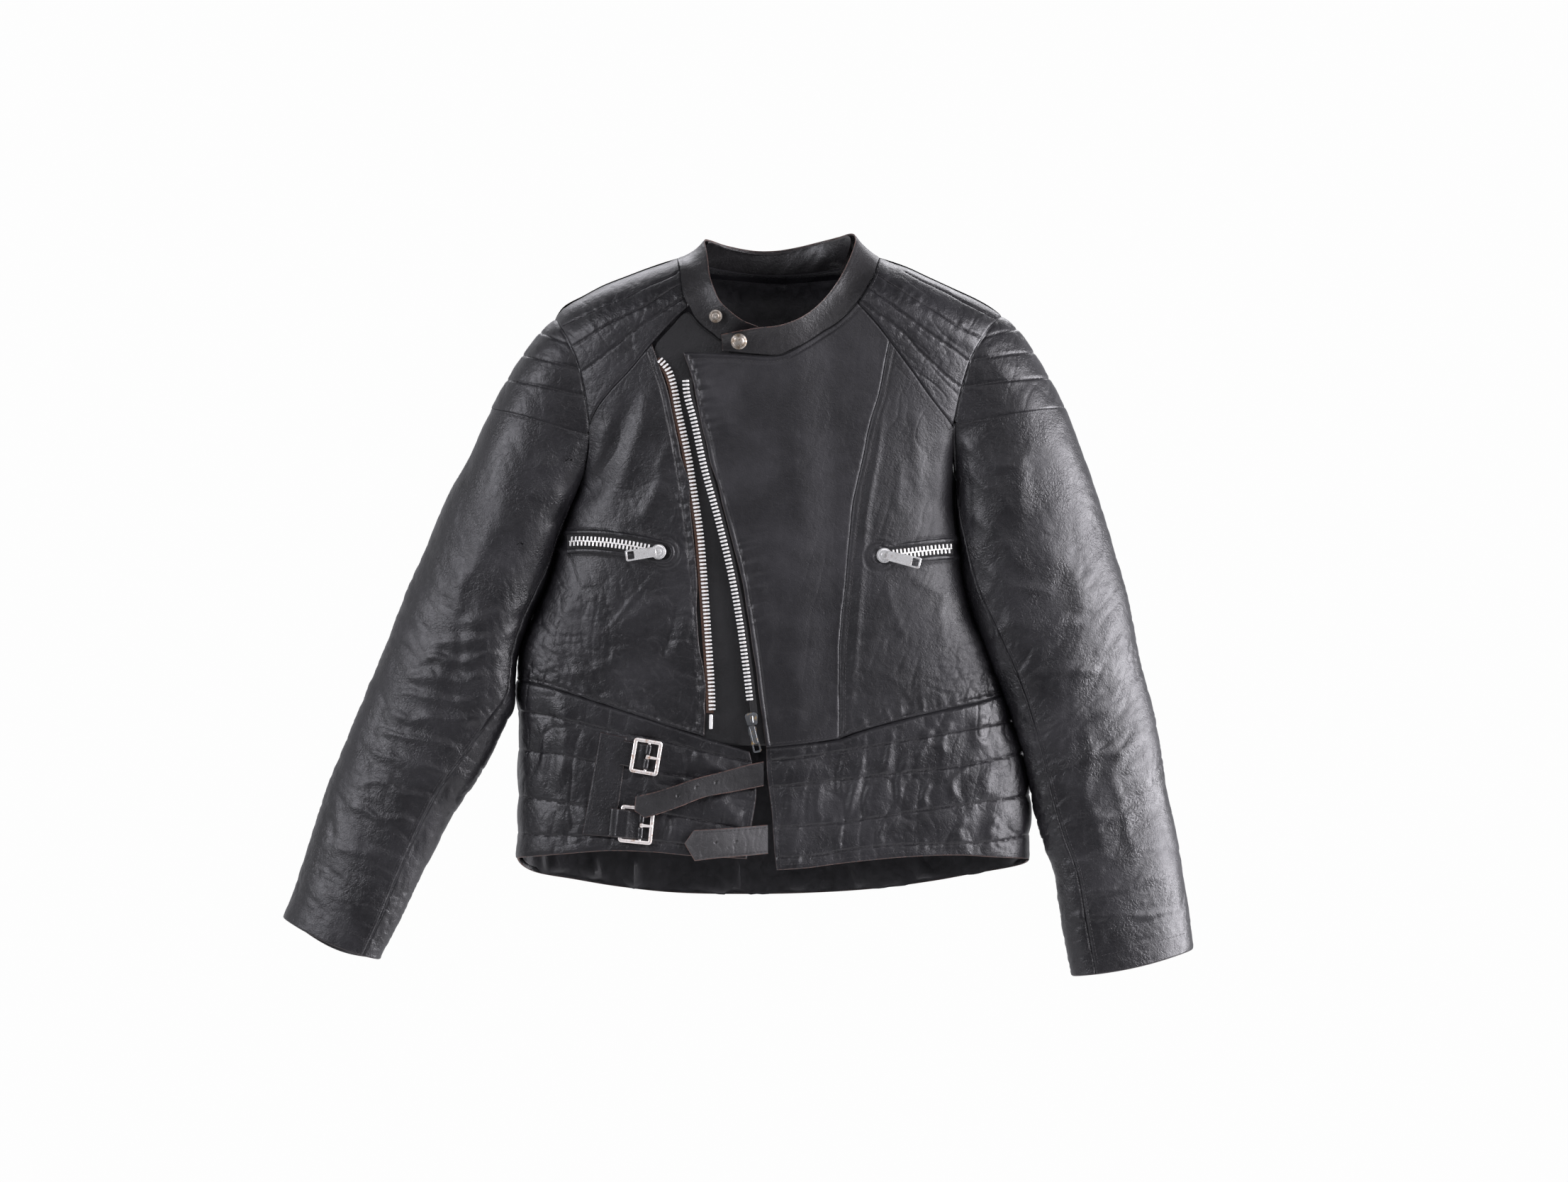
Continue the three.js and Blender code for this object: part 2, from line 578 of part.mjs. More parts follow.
const TIP_SEAM = [
  [LEFT_MOVING, -56.8], [44, -64.6], [30, -74], [12, -83], [2, -87.4], [-20, -86.6], [-53.7, -83],
];
const TIP_LOW = onBody(TIP_SEAM, -0.2).map(([x, y, z]) => [x, y - lift(x) - 1.0, z]);
const TIP_HIGH = [
  [57, -73, -19], [44, -79, -35], [30, -84, -47], [17.5, -88, -54], [0, -91.5, -59.6],
  [-18, -92.5, -61.4], [-34, -93, -64], [-55, -93, -68],
];
band('collar_left_end', 'leather', curve(TIP_LOW), curve(TIP_HIGH), 0, 1, 10, 2, -2.2, 0);

// ---------------------------------------------------------------- right front zip, pocket zips
const zipRight = curve(ZIP_R);
const zipRightLength = zipRight.getLength();
ribbon('right_main_zip_tape', 'tape', zipRight, 12, zipRightLength, -4.0, 2.2, -2.6, -1.6, 24);
comb(
  'right_main_zip_teeth', 'nickel', zipRight, 3, zipRightLength - 2, [-1.6, -0.2], [null, 4.2], -1.3, 1.1,
);
const pinPoint = (u, v, w) => onFront(-65.2 + (u - 0.5) * 3.4, mix(-455.5, -441.5, v), mix(-1.3, 1.6, w));
addMesh('right_main_zip_pin', grid(1, 2, pinPoint), 'nickel');
const pocketZip = (name, points, halfTape, steps) => {
  const line = curve(points);
  const length = line.getLength();
  ribbon(`${name}_tape`, 'tape', line, 0, length - 4, -halfTape, halfTape, 0.4, 0.9, steps, 2);
  comb(`${name}_teeth`, 'nickel', line, 14, length - 6, [-0.9, 0.9], [-4.6, 4.6], 1.25, 2.6);
};
pocketZip('right_pocket_zip', POCKET_R, 8, 22);
pocketZip('left_pocket_zip', POCKET_L, 7, 18);

// ---------------------------------------------------------------- moving left front
panel(
  'left_front_flap', 'leather', FRONT,
  {
    top: edge(FLAP_TOP),
    bottom: edge(WAIST_L),
    left: edge(FLAP_EDGE),
    right: edge([[LEFT_MOVING, -466.2], [LEFT_MOVING, -250], [LEFT_MOVING, -56.4]]),
  },
  7, 12, -LEATHER, 0, { lift, gv2: 0.004 },
);
panel(
  'left_front_facing', 'facing', FRONT,
  {
    top: edge([[-86, -92], [-45, -94], [2.3, -94], [30, -80], [56, -63]]),
    bottom: edge([[-2, -470], [21, -467], [54, -462]]),
    left: edge([[-2, -470], [-12, -405], [-26, -300], [-50, -200], [-68, -140], [-86, -92]]),
    right: edge([[54, -462], [54, -250], [56, -63]]),
  },
  5, 11, -4.0, -3.0, { lift },
);
panel(
  'left_front_waist_panel', 'quilt', FRONT,
  {
    top: edge(WAIST_L),
    bottom: edge(HEM_L),
    left: edge([[-0.6, -594], [-3, -573], [-5, -543], [-10, -500], [-11, -474]]),
    right: edge([[LEFT_MOVING, -588.5], [LEFT_MOVING, -530], [LEFT_MOVING, -466.2]]),
  },
  5, 5, -QUILT, 0, { lift, gv: 0.006 },
);
const zipLeft = curve(ZIP_L);
const zipLeftLength = zipLeft.getLength();
const lifted = (off) => (x) => lift(x) + off;
ribbon(
  'left_main_zip_tape', 'tape', zipLeft, 0, zipLeftLength - 2, -4.6, 1.6, lifted(-2.3), lifted(-1.4), 24,
);
comb(
  'left_main_zip_teeth', 'nickel', zipLeft, 16, zipLeftLength - 1, [-1.2, 0.4], [null, 4.0], lifted(-1.1),
  lifted(1.3),
);
const boxPoint = (u, v, w) => onFront(
  mix(-28.5, -20.5, u), mix(-462, -452.5, v), lift(-24) + mix(-4.5, 2.4, w),
);
addMesh('left_main_zip_box', grid(1, 1, boxPoint), 'dark');

// snap cap on the collar tip, stud on the right collar end
const CAP_PROFILE = [[0, 0], [7.4, 0], [7.85, 1.2], [5.2, 2.5], [0, 3.0]];
const STUD_PROFILE = [[0, 0], [6.4, 0], [6.4, 1.0], [3.2, 1.2], [3.0, 3.2], [0, 3.6]];
// a turned piece on the upright axis through place
const addTurned = (name, mat, profile, segments, place) => {
  const g = new THREE.LatheGeometry(outline(profile), segments);
  g.rotateX(Math.PI);
  g.translate(...place);
  addMesh(name, g, mat);
};
addTurned('collar_snap_cap', 'brass', CAP_PROFILE, 18, [-37.6, -96.6, -75.6]);
addTurned('collar_stud', 'brass', STUD_PROFILE, 18, [-60.5, -87.2, -50.5]);

// ---------------------------------------------------------------- buckles and straps
// the outline of a rectangle with its corners cut off by r, drawn into a shape or a hole
const cutCorners = (path, x0, z0, x1, z1, r) => {
  path.moveTo(x0 + r, z0);
  path.lineTo(x1 - r, z0);
  path.lineTo(x1, z0 + r);
  path.lineTo(x1, z1 - r);
  path.lineTo(x1 - r, z1);
  path.lineTo(x0 + r, z1);
  path.lineTo(x0, z1 - r);
  path.lineTo(x0, z0 + r);
  path.closePath();
  return path;
};
// a frame with a bar across it at x = pin
const frameShape = ({ w, h, pin }) => {
  const s = cutCorners(new THREE.Shape(), -w / 2, -h / 2, w / 2, h / 2, 2.5);
  const inner = h / 2 - FRAME_BAR;
  const holes = [[-w / 2 + FRAME_BAR, pin - PIN_HALF], [pin + PIN_HALF, w / 2 - FRAME_BAR]];
  s.holes.push(...holes.map(([x0, x1]) => cutCorners(new THREE.Path(), x0, -inner, x1, inner, 0.6)));
  return s;
};
// centre, tilt about Y, width, height and where the bar is
const UPPER_BUCKLE = { x: -129, z: -482.8, tilt: 0.17, w: 28.5, h: 34.5, pin: 1.2 };
const LOWER_BUCKLE = { x: -138.3, z: -549.5, tilt: 0.10, w: 33.5, h: 37, pin: 4.5 };
const CHAPE_IN = 2.6;         // the chape, frame and prong stand this far in front of the waist panel
const CHAPE_OUT = 4.4;
const FRAME_BACK = 4.9;
const PRONG_BACK = 8.5;
const PRONG_DEPTH = 2.0;
panel(
  'buckle_patch', 'leather', FRONT,
  {
    top: edge([[-174, -458.6], [-160, -461.5], [-148, -464]]),
    bottom: edge([[-192, -559.5], [-176, -561], [-163.5, -561.5]]),
    left: edge([[-192, -559.5], [-183, -510], [-174, -458.6]]),
    right: edge([[-163.5, -561.5], [-156, -530], [-151, -494], [-148, -464]]),
  },
  2, 5, 0.35, 1.9,
);
// a leather tab from x0 to the bar
const addChape = (name, b, x0, h) => {
  const y = frontY(b.x, b.z);
  const c = Math.cos(b.tilt);
  const s = Math.sin(b.tilt);
  addMesh(name, grid(2, 1, (u, v, w) => {
    const lx = mix(x0, b.pin - 2.0, u);
    const lz = mix(-h / 2, h / 2, v);
    return [b.x + lx * c + lz * s, y - mix(CHAPE_IN, CHAPE_OUT, w), b.z - lx * s + lz * c];
  }), 'strap');
};
const addFrame = (name, b) => {
  const place = [b.x, frontY(b.x, b.z) - FRAME_BACK, b.z];
  addPlate(name, 'nickel', frameShape(b), FRAME_DEPTH, b.tilt, place);
};
const addProng = (name, b) => {
  const tip = b.w / 2 - b.pin - 0.4;
  const s = new THREE.Shape(outline([
    [-0.9, -2.2], [2.0, -2.2], [tip - 0.8, -1.2], [tip, 0], [tip - 0.8, 1.2], [2.0, 2.2], [-0.9, 2.2],
  ]));
  const x = b.x + b.pin * Math.cos(b.tilt);
  const z = b.z - b.pin * Math.sin(b.tilt);
  addPlate(name, 'nickel', s, PRONG_DEPTH, b.tilt, [x, frontY(b.x, b.z) - PRONG_BACK, z]);
};
addChape('upper_buckle_chape', UPPER_BUCKLE, -24, 25);
addChape('lower_buckle_chape', LOWER_BUCKLE, -20, 28);
addFrame('upper_buckle_frame', UPPER_BUCKLE);
addFrame('lower_buckle_frame', LOWER_BUCKLE);
addProng('upper_buckle_prong', UPPER_BUCKLE);
addProng('lower_buckle_prong', LOWER_BUCKLE);
// a strap along a line, its round tip tipLen long, offset from the surface by a rule along x
const strap = (name, points, halfTop, halfBottom, tipLen, offset) => {
  const line = curve(points);
  const length = line.getLength();
  const taper = (s) => {
    const t = Math.max(0, (s - length + tipLen) / tipLen);
    return Math.max(0.12, Math.sqrt(Math.max(0, 1 - t * t)));
  };
  const low = (s) => -halfBottom * taper(s);
  const high = (s) => halfTop * taper(s);
  ribbon(name, 'strap', line, 0, length, low, high, offset, (x) => offset(x) + STRAP, 22);
};
const UPPER_STRAP = [[-14, -499.5], [-56, -508.5], [-97, -520], [-139, -533.5]];
const LOWER_STRAP = [[-9.5, -563.5], [-40, -566], [-90, -569]];
strap('upper_strap', UPPER_STRAP, 12, 12, 12, (x) => mix(1.6, 12.4, smooth(-20, -118, x)));
strap('lower_strap', LOWER_STRAP, 15.5, 14.5, 10, (x) => mix(1.6, 3.2, smooth(-10, -60, x)));

// ---------------------------------------------------------------- sliders and pulls
const MAIN_SLIDER = { x: -25.3, z: -445.5, tilt: 0.13, top: 13, bottom: 10.5, length: 13, depth: 3.6 };
const sliderShape = ({ top, bottom, length }) => new THREE.Shape(outline([
  [-bottom / 2, -length / 2], [bottom / 2, -length / 2], [top / 2, length / 2 - 3],
  [top / 2 - 2.5, length / 2], [-top / 2 + 2.5, length / 2], [-top / 2, length / 2 - 3],
]));
// a pull tab that hangs from its hinge line at z = 0, w0 wide there and w1 at its end, with a slot
const pullShape = (w0, w1, length) => {
  const s = new THREE.Shape(outline([
    [-w0 / 2, 0], [-w1 / 2, -length + 1], [-w1 / 2 + 1, -length],
    [w1 / 2 - 1, -length], [w1 / 2, -length + 1], [w0 / 2, 0],
  ]));
  s.holes.push(new THREE.Path(outline([
    [-w1 / 2 + 1.6, -length + 1.8], [w1 / 2 - 1.6, -length + 1.8],
    [w1 / 2 - 1.8, -length + 8], [-w1 / 2 + 1.8, -length + 8],
  ])));
  return s;
};
const mainY = onFront(MAIN_SLIDER.x, MAIN_SLIDER.z, lift(MAIN_SLIDER.x))[1];
const sliderPlace = [MAIN_SLIDER.x, mainY - 2.0, MAIN_SLIDER.z];
addPlate(
  'main_zip_slider', 'dark', sliderShape(MAIN_SLIDER), MAIN_SLIDER.depth, -MAIN_SLIDER.tilt, sliderPlace,
);
const pullPlace = [MAIN_SLIDER.x - 0.3, mainY - 6.0, MAIN_SLIDER.z - 6.5];
addPlate('main_zip_pull', 'dark', pullShape(6.4, 8.4, 27), 1.7, -0.24, pullPlace);

// a pocket slider is a domed disc, and its pull lies along the zip, turned by angle
const SLIDER_PROFILE = [[0, 0], [7.0, 0], [7.4, 1.0], [6.6, 2.6], [0, 2.9]];
const pocketSlider = (name, x, z, angle, length) => {
  const y = frontY(x, z);
  addTurned(`${name}_slider`, 'nickel', SLIDER_PROFILE, 16, [x, y - 4.4, z]);
  const place = [x + 2.5 * Math.sign(x), y - 7.9, z];
  addPlate(`${name}_pull`, 'nickel', pullShape(9.6, 11.2, length), 1.6, angle, place);
};
pocketSlider('right_pocket', -116.6, -281.5, RIGHT_ANGLE - 0.14, 30);
pocketSlider('left_pocket', 105, -285, -RIGHT_ANGLE + 0.24, 34);

// ---------------------------------------------------------------- sleeves
const OUTER_R = [
  [-221, -50], [-232, -62], [-242, -73], [-257, -96], [-267, -110], [-283, -140], [-299, -176],
  [-321, -216], [-342, -266], [-360, -310], [-382, -360], [-404, -418], [-426, -465], [-444, -508],
  [-462, -563], [-474, -606], [-489, -642],
];
const OUTER_L = [
  [223, -47], [229.5, -53], [242, -66], [260, -94], [276, -123], [289, -152], [306, -196], [325, -252],
  [348, -324], [361, -387], [378, -447], [387, -504], [396, -560], [406, -624], [413, -676],
];
const INNER_R = [
  [-202.2, -224], [-214, -240], [-223, -272], [-230, -305], [-241, -332], [-250.5, -350], [-262, -382],
  [-264.5, -410], [-265.5, -436], [-273, -458], [-292, -490], [-313, -526], [-339, -566], [-357, -610],
  [-379, -657], [-393, -682],
];
const INNER_L = [
  [178.5, -216], [182.5, -240], [186, -270], [192, -300], [201, -335], [212, -362], [221, -390],
  [230, -420], [239, -450], [246.5, -480], [252, -512], [257, -537], [265, -571], [276, -609],
  [284, -654], [292, -697],
];
// the tube's depth in front of and behind its middle, and where its middle is, along its length
const TUBE_FRONT = [[0, 56], [0.2, 54], [0.45, 46], [0.7, 40], [1, 36]];
const TUBE_BACK = [[0, 48], [0.2, 46], [0.45, 38], [0.7, 32], [1, 30]];
const TUBE_MIDDLE = [[0, -10], [0.3, -14], [1, -20]];
const ARM_RELEASE = 0.35;     // the share of the sleeve over which it leaves the armhole's line
const CAP_END = 0.66;         // where the cap's last line meets the armhole, as a share of its depth
const CAP_ANGLE = Math.acos(1 - 2 * CAP_END);
const SEAM_FRONT = 2.30;      // section angles of the two sleeve seams
const SEAM_BACK = -2.30;
const SLEEVES = [
  {
    name: 'right', sign: -1, capLength: 0.166,
    outer: curve(OUTER_R), inner: curve(INNER_R), armhole: curve([...ARM_R, ...ARM_R2.slice(1)]),
  },
  {
    name: 'left', sign: 1, capLength: 0.168,
    outer: curve(OUTER_L), inner: curve(INNER_L), armhole: curve([...ARM_L, ...ARM_L2.slice(1)]),
  },
];
const sleeveXZ = (S, t, w) => {
  const f = Math.max(0, 1 - t / ARM_RELEASE) ** 2;
  const o = at(S.outer, t);
  const i = at(S.inner, t);
  const o0 = at(S.outer, 0);
  const i0 = at(S.inner, 0);
  const a = at(S.armhole, w);
  return [0, 1].map((k) => mix(o[k], i[k], w) + (a[k] - mix(o0[k], i0[k], w)) * f);
};
// f is the section angle: 0 at the outer edge, PI at the inner edge, negative or past PI on the back
const rawSleeve = (S, t, f) => {
  const w = (1 - Math.cos(f)) / 2;
  const [x, z] = sleeveXZ(S, t, w);
  const front = Math.sin(f) >= 0;
  const depth = front ? -interp(TUBE_FRONT, t) : interp(TUBE_BACK, t);
  const tube = interp(TUBE_MIDDLE, t) + depth * Math.pow(Math.abs(Math.sin(f)), 0.85);
  const [ax, az] = at(S.armhole, w);
  const y0 = rawTorso(front ? -1 : 1, angOf(ax, az), az)[1];
  return [x, mix(y0, tube, smooth(0, 0.2, t)), z];
};
const sleevePoint = (S, t, f, off) => {
  const df = sub(rawSleeve(S, t, f + 0.04), rawSleeve(S, t, f - 0.04));
  const dt = sub(rawSleeve(S, Math.min(1, t + 0.01), f), rawSleeve(S, Math.max(0, t - 0.01), f));
  const n = unit(cross(df, dt)).map((v) => v * S.sign);
  return add(rawSleeve(S, t, f), n, off);
};
// the cap's last quilting line ends the fixed part; it runs from the outer edge back to the armhole
const capEnd = (S, f) => {
  const w = (1 - Math.cos(f)) / 2;
  return S.capLength * Math.pow(Math.max(0, 1 - w / CAP_END), 0.85);
};
// a sleeve panel from t0(f) to the cuff between two section angles
// the gap at its seams narrows below the armhole
const sleevePanel = (S, part, f0, f1, nu, t0) => {
  addMesh(`${S.name}_sleeve_${part}`, grid(nu, 11, (u, v, w) => {
    const t = mix(t0(mix(f0, f1, u)), 1, v);
    const gap = mix(0.05, 0.01, smooth(0.02, 0.14, t));
    return sleevePoint(S, t, mix(f0 + gap, f1 - gap, u), mix(-LEATHER, 0, w));
  }), 'leather');
};
for (const S of SLEEVES) {
  addMesh(`${S.name}_sleeve_cap`, grid(12, 3, (u, v, w) => {
    const f = mix(-CAP_ANGLE * 0.9, CAP_ANGLE * 0.9, u);
    return sleevePoint(S, mix(0.004, capEnd(S, f) - 0.0035, v), f, mix(-QUILT, 0, w));
  }), 'quilt');
  sleevePanel(S, 'upper', SEAM_BACK, SEAM_FRONT, 12, (f) => Math.max(0.0045, capEnd(S, f) + 0.0035));
  sleevePanel(S, 'under', SEAM_FRONT, SEAM_BACK + 2 * Math.PI, 6, () => 0.014);
  addMesh(`${S.name}_sleeve_lining`, grid(10, 10, (u, v, w) => {
    const f = mix(-Math.PI + 0.03, Math.PI - 0.03, u);
    return sleevePoint(S, mix(0.24, 0.988, v), f, mix(-8.0, -7.2, w));
  }), 'lining');
}

export default root;
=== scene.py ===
"""A worn black leather riding jacket, held up at the neck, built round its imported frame.

Shapes are worked out in millimetres: X towards the wearer's left, -Y out of the front, +Z up.
They become metres when a mesh is made. Every surface is a grid over the same body shape as the frame,
to which folds, quilting, puckers and rolled seams are added as real relief.
"""
import math

import bpy
import numpy as np
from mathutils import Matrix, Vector
from mathutils.bvhtree import BVHTree


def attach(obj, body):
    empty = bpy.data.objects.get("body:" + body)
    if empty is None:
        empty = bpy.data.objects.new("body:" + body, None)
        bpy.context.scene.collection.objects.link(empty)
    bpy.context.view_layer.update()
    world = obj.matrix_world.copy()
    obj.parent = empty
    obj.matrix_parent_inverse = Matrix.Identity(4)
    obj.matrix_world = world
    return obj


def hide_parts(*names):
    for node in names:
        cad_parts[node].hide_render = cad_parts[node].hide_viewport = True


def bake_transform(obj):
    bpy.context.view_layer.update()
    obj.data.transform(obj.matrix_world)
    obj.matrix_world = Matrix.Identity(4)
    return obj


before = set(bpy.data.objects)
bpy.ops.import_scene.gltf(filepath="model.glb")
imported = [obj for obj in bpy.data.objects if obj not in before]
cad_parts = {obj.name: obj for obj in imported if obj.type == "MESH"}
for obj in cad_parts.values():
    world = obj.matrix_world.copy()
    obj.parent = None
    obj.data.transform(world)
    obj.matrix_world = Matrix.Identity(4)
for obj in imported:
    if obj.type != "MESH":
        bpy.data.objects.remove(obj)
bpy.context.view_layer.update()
MM = 0.001

# ------------------------------------------------------------------ tables and lines


def interp(tab, x):
    """A smooth table of (x, value) rows, held level past its ends and never overshooting."""
    tab = np.asarray(tab, float)
    xs, ys = tab[:, 0], tab[:, 1]
    x = np.clip(np.asarray(x, float), xs[0], xs[-1])
    rise = np.diff(ys) / np.diff(xs)
    slope = np.empty(len(xs))
    slope[0], slope[-1] = rise[0], rise[-1]
    a, b = rise[:-1], rise[1:]
    total = np.where(np.abs(a + b) < 1e-12, 1.0, a + b)
    slope[1:-1] = np.where(a * b <= 0, 0.0, 2 * a * b / total)
    i = np.clip(np.searchsorted(xs, x, side="right") - 1, 0, len(xs) - 2)
    h = xs[i + 1] - xs[i]
    t = (x - xs[i]) / h
    t2, t3 = t * t, t * t * t
    return (
        (2 * t3 - 3 * t2 + 1) * ys[i]
        + (t3 - 2 * t2 + t) * slope[i] * h
        + (3 * t2 - 2 * t3) * ys[i + 1]
        + (t3 - t2) * slope[i + 1] * h
    )


def smooth(a, b, x):
    t = np.clip((np.asarray(x, float) - a) / (b - a), 0, 1)
    return t * t * (3 - 2 * t)


def mix(a, b, t):
    return a + (b - a) * t


def unit(v):
    return v / np.maximum(np.linalg.norm(v, axis=-1, keepdims=True), 1e-9)


class Line:
    """A smooth line through points, or a plain one through samples, read by its share of length."""

    def __init__(self, points, plain=False, fine=16):
        p = np.asarray(points, float)
        self.samples = p if plain or len(p) < 3 else self.curved(p, fine)
        steps = np.linalg.norm(np.diff(self.samples, axis=0), axis=1)
        self.along = np.concatenate([[0], np.cumsum(steps)])
        self.length = self.along[-1]

    @staticmethod
    def curved(p, fine):
        ends = np.vstack([2 * p[0] - p[1], p, 2 * p[-1] - p[-2]])
        out = []
        t = np.linspace(0, 1, fine, endpoint=False)[:, None]
        for x0, x1, x2, x3 in zip(ends, ends[1:], ends[2:], ends[3:]):
            steps = ((x0, x1), (x1, x2), (x2, x3))
            d0, d1, d2 = (max(np.linalg.norm(b - a) ** 0.5, 1e-4) for a, b in steps)
            m1 = ((x1 - x0) / d0 - (x2 - x0) / (d0 + d1) + (x2 - x1) / d1) * d1
            m2 = ((x2 - x1) / d1 - (x3 - x1) / (d1 + d2) + (x3 - x2) / d2) * d1
            square = 3 * (x2 - x1) - 2 * m1 - m2
            cube = 2 * (x1 - x2) + m1 + m2
            out.append(x1 + m1 * t + square * t**2 + cube * t**3)
        return np.vstack(out + [p[-1:]])

    def at(self, share):
        s = np.clip(share, 0, 1) * self.length
        return np.stack([np.interp(s, self.along, c) for c in self.samples.T], -1)

    def flipped(self):
        return Line(self.samples[::-1], plain=True)

    def shifted(self, h):
        """The line moved sideways by h, to the left of its direction, in two dimensions."""
        t = unit(np.gradient(self.samples, axis=0))
        return Line(self.samples + h * np.stack([-t[:, 1], t[:, 0]], -1), plain=True)

    def part(self, a, b, n=60):
        return Line(self.at(np.linspace(a, b, n)), plain=True)


def joined(*lines):
    return Line(np.vstack([lines[0].samples] + [c.samples[1:] for c in lines[1:]]), plain=True)


def spread(x, z, line, reach):
    """Distance from each (x, z) to a line, left large beyond reach, and the share of the line there."""
    x, z = np.asarray(x, float), np.asarray(z, float)
    far = np.full(x.shape, 1e3)
    share = np.zeros(x.shape)
    p = line.samples
    lo, hi = p.min(0) - reach, p.max(0) + reach
    near = (x > lo[0]) & (x < hi[0]) & (z > lo[1]) & (z < hi[1])
    if not near.any():
        return far, share
    xs, zs = x[near], z[near]
    best, where = np.full(xs.shape, 1e3), np.zeros(xs.shape)
    n = min(len(p) - 1, max(4, int(line.length / 6)))
    q = line.at(np.linspace(0, 1, n + 1))
    for k in range(n):
        d = q[k + 1] - q[k]
        t = np.clip(((xs - q[k, 0]) * d[0] + (zs - q[k, 1]) * d[1]) / max(d @ d, 1e-9), 0, 1)
        r = np.hypot(xs - q[k, 0] - t * d[0], zs - q[k, 1] - t * d[1])
        closer = r < best
        best = np.where(closer, r, best)
        where = np.where(closer, (k + t) / n, where)
    far[near], share[near] = best, where
    return far, share


# ------------------------------------------------------------------ noise


def hashed(i, j, seed):
    n = (i * 374761393 + j * 668265263 + seed * 144269504) & 0xFFFFFFFF
    n = ((n ^ (n >> 13)) * 1274126177) & 0xFFFFFFFF
    return ((n ^ (n >> 16)) & 0xFFFF) / 32767.5 - 1


def noise(x, y, seed=0):
    """Smooth noise from -1 to 1, the same on every run."""
    xi, yi = np.floor(x).astype(np.int64), np.floor(y).astype(np.int64)
    u, v = x - xi, y - yi
    u, v = u * u * u * (u * (u * 6 - 15) + 10), v * v * v * (v * (v * 6 - 15) + 10)
    low = mix(hashed(xi, yi, seed), hashed(xi + 1, yi, seed), u)
    high = mix(hashed(xi, yi + 1, seed), hashed(xi + 1, yi + 1, seed), u)
    return mix(low, high, v)


def rolling(x, y, size, seed, octaves=3):
    total, gain = 0.0, 1.0
    for k in range(octaves):
        total = total + gain * noise(x / size, y / size, seed + k)
        size, gain = size / 2.1, gain * 0.45
    return total


def creases(x, y, turn, size, stretch, seed, sharp=4):
    """Narrow valleys that run at an angle, turn in degrees, with soft land between them; 0 to -1."""
    c, s = math.cos(math.radians(turn)), math.sin(math.radians(turn))
    along, across = x * c + y * s, y * c - x * s
    across = across + 0.55 * size * noise(along / (size * 2.2), across / (size * 1.6), seed + 7)
    first = 1 - np.abs(noise(along / (size * stretch), across / size, seed))
    fine = 1 - np.abs(noise(along / (size * stretch * 0.6), across / (size * 0.55), seed + 3))
    return -(first**sharp) * 0.7 - (fine ** (sharp + 1)) * 0.3


def crumple(x, y, size, seed, turn=0):
    """Worn-in leather: short creases that cross at several angles and come and go."""
    total = 0.0
    for k, swing in enumerate((0, 52, -48)):
        patch = smooth(-0.2, 0.4, noise(x / (size * 3.2), y / (size * 3.2), seed + 20 + k))
        total = total + patch * creases(
            x, y, turn=turn + swing, size=size, stretch=2.4, seed=seed + k, sharp=6,
        )
    return total


# ------------------------------------------------------------------ the body's shape
MID_Y = -10
SQUARENESS = 3.0
SHOULDER_ROUND = 50
Z_SCALE = 200
LEFT_EDGE = [
    (-650, -262), (-585, -259.5), (-500, -257), (-450, -257), (-420, -259), (-382, -257), (-342, -243),
    (-310, -228), (-273, -218), (-237, -207), (-212, -199), (-185, -204), (-160, -212), (-100, -228),
    (-50, -240), (10, -250), (60, -255),
]
RIGHT_EDGE = [
    (-650, 252), (-588, 250), (-539, 251), (-512, 249.5), (-480, 244.5), (-450, 236), (-425, 227.5),
    (-390, 214.5), (-360, 202.5), (-339, 194), (-301, 185), (-271, 181.5), (-226, 177), (-200, 178),
    (-170, 184.5), (-158, 189), (-100, 213), (-50, 232), (10, 245), (60, 250),
]
DEPTH_FRONT = [
    (-650, 72), (-590, 72), (-470, 69), (-400, 71), (-250, 75), (-160, 73), (-100, 70), (-50, 66),
    (0, 62), (60, 60),
]
DEPTH_BACK = [(-650, 50), (-600, 50), (-500, 48), (-400, 45), (-250, 52), (-100, 50), (0, 45), (60, 44)]
RIDGE = [
    (-260, -95), (-221, -50), (-213, -40), (-193, -28), (-172, -17), (-150, -8.4), (-129, -0.4),
    (-110, 6), (-97, 11), (-60, 16), (0, 18), (60, 16), (101, 11), (112, 6.5), (128, 1), (151, -9.6),
    (175, -20.6), (199, -32), (223, -47), (262, -95),
]
HALF_PI = math.pi / 2
FRONT, BACK = -1, 1
ANGLE_STEP, HEIGHT_STEP = 0.02, 1.5
RIDGE_BAND = 1.6
OVERLAP = 4.4


def torso_raw(side, a, z):
    l, r = interp(LEFT_EDGE, z), interp(RIGHT_EDGE, z)
    x = (l + r) / 2 + (r - l) / 2 * np.sin(a)
    u = np.minimum(1, np.abs(np.sin(a)))
    across = (1 - u**SQUARENESS) ** (1 / SQUARENESS)
    t = np.clip((interp(RIDGE, x) - z) / SHOULDER_ROUND, 0, 1)
    down = np.sqrt(np.maximum(0, 1 - (1 - t) ** 2))
    depth = interp(DEPTH_FRONT if side < 0 else DEPTH_BACK, z)
    return np.stack([x, MID_Y + side * depth * across * down, z + 0 * x], -1)


def angle_of(x, z):
    l, r = interp(LEFT_EDGE, z), interp(RIGHT_EDGE, z)
    return np.arcsin(np.clip((x - (l + r) / 2) / ((r - l) / 2), -1, 1))


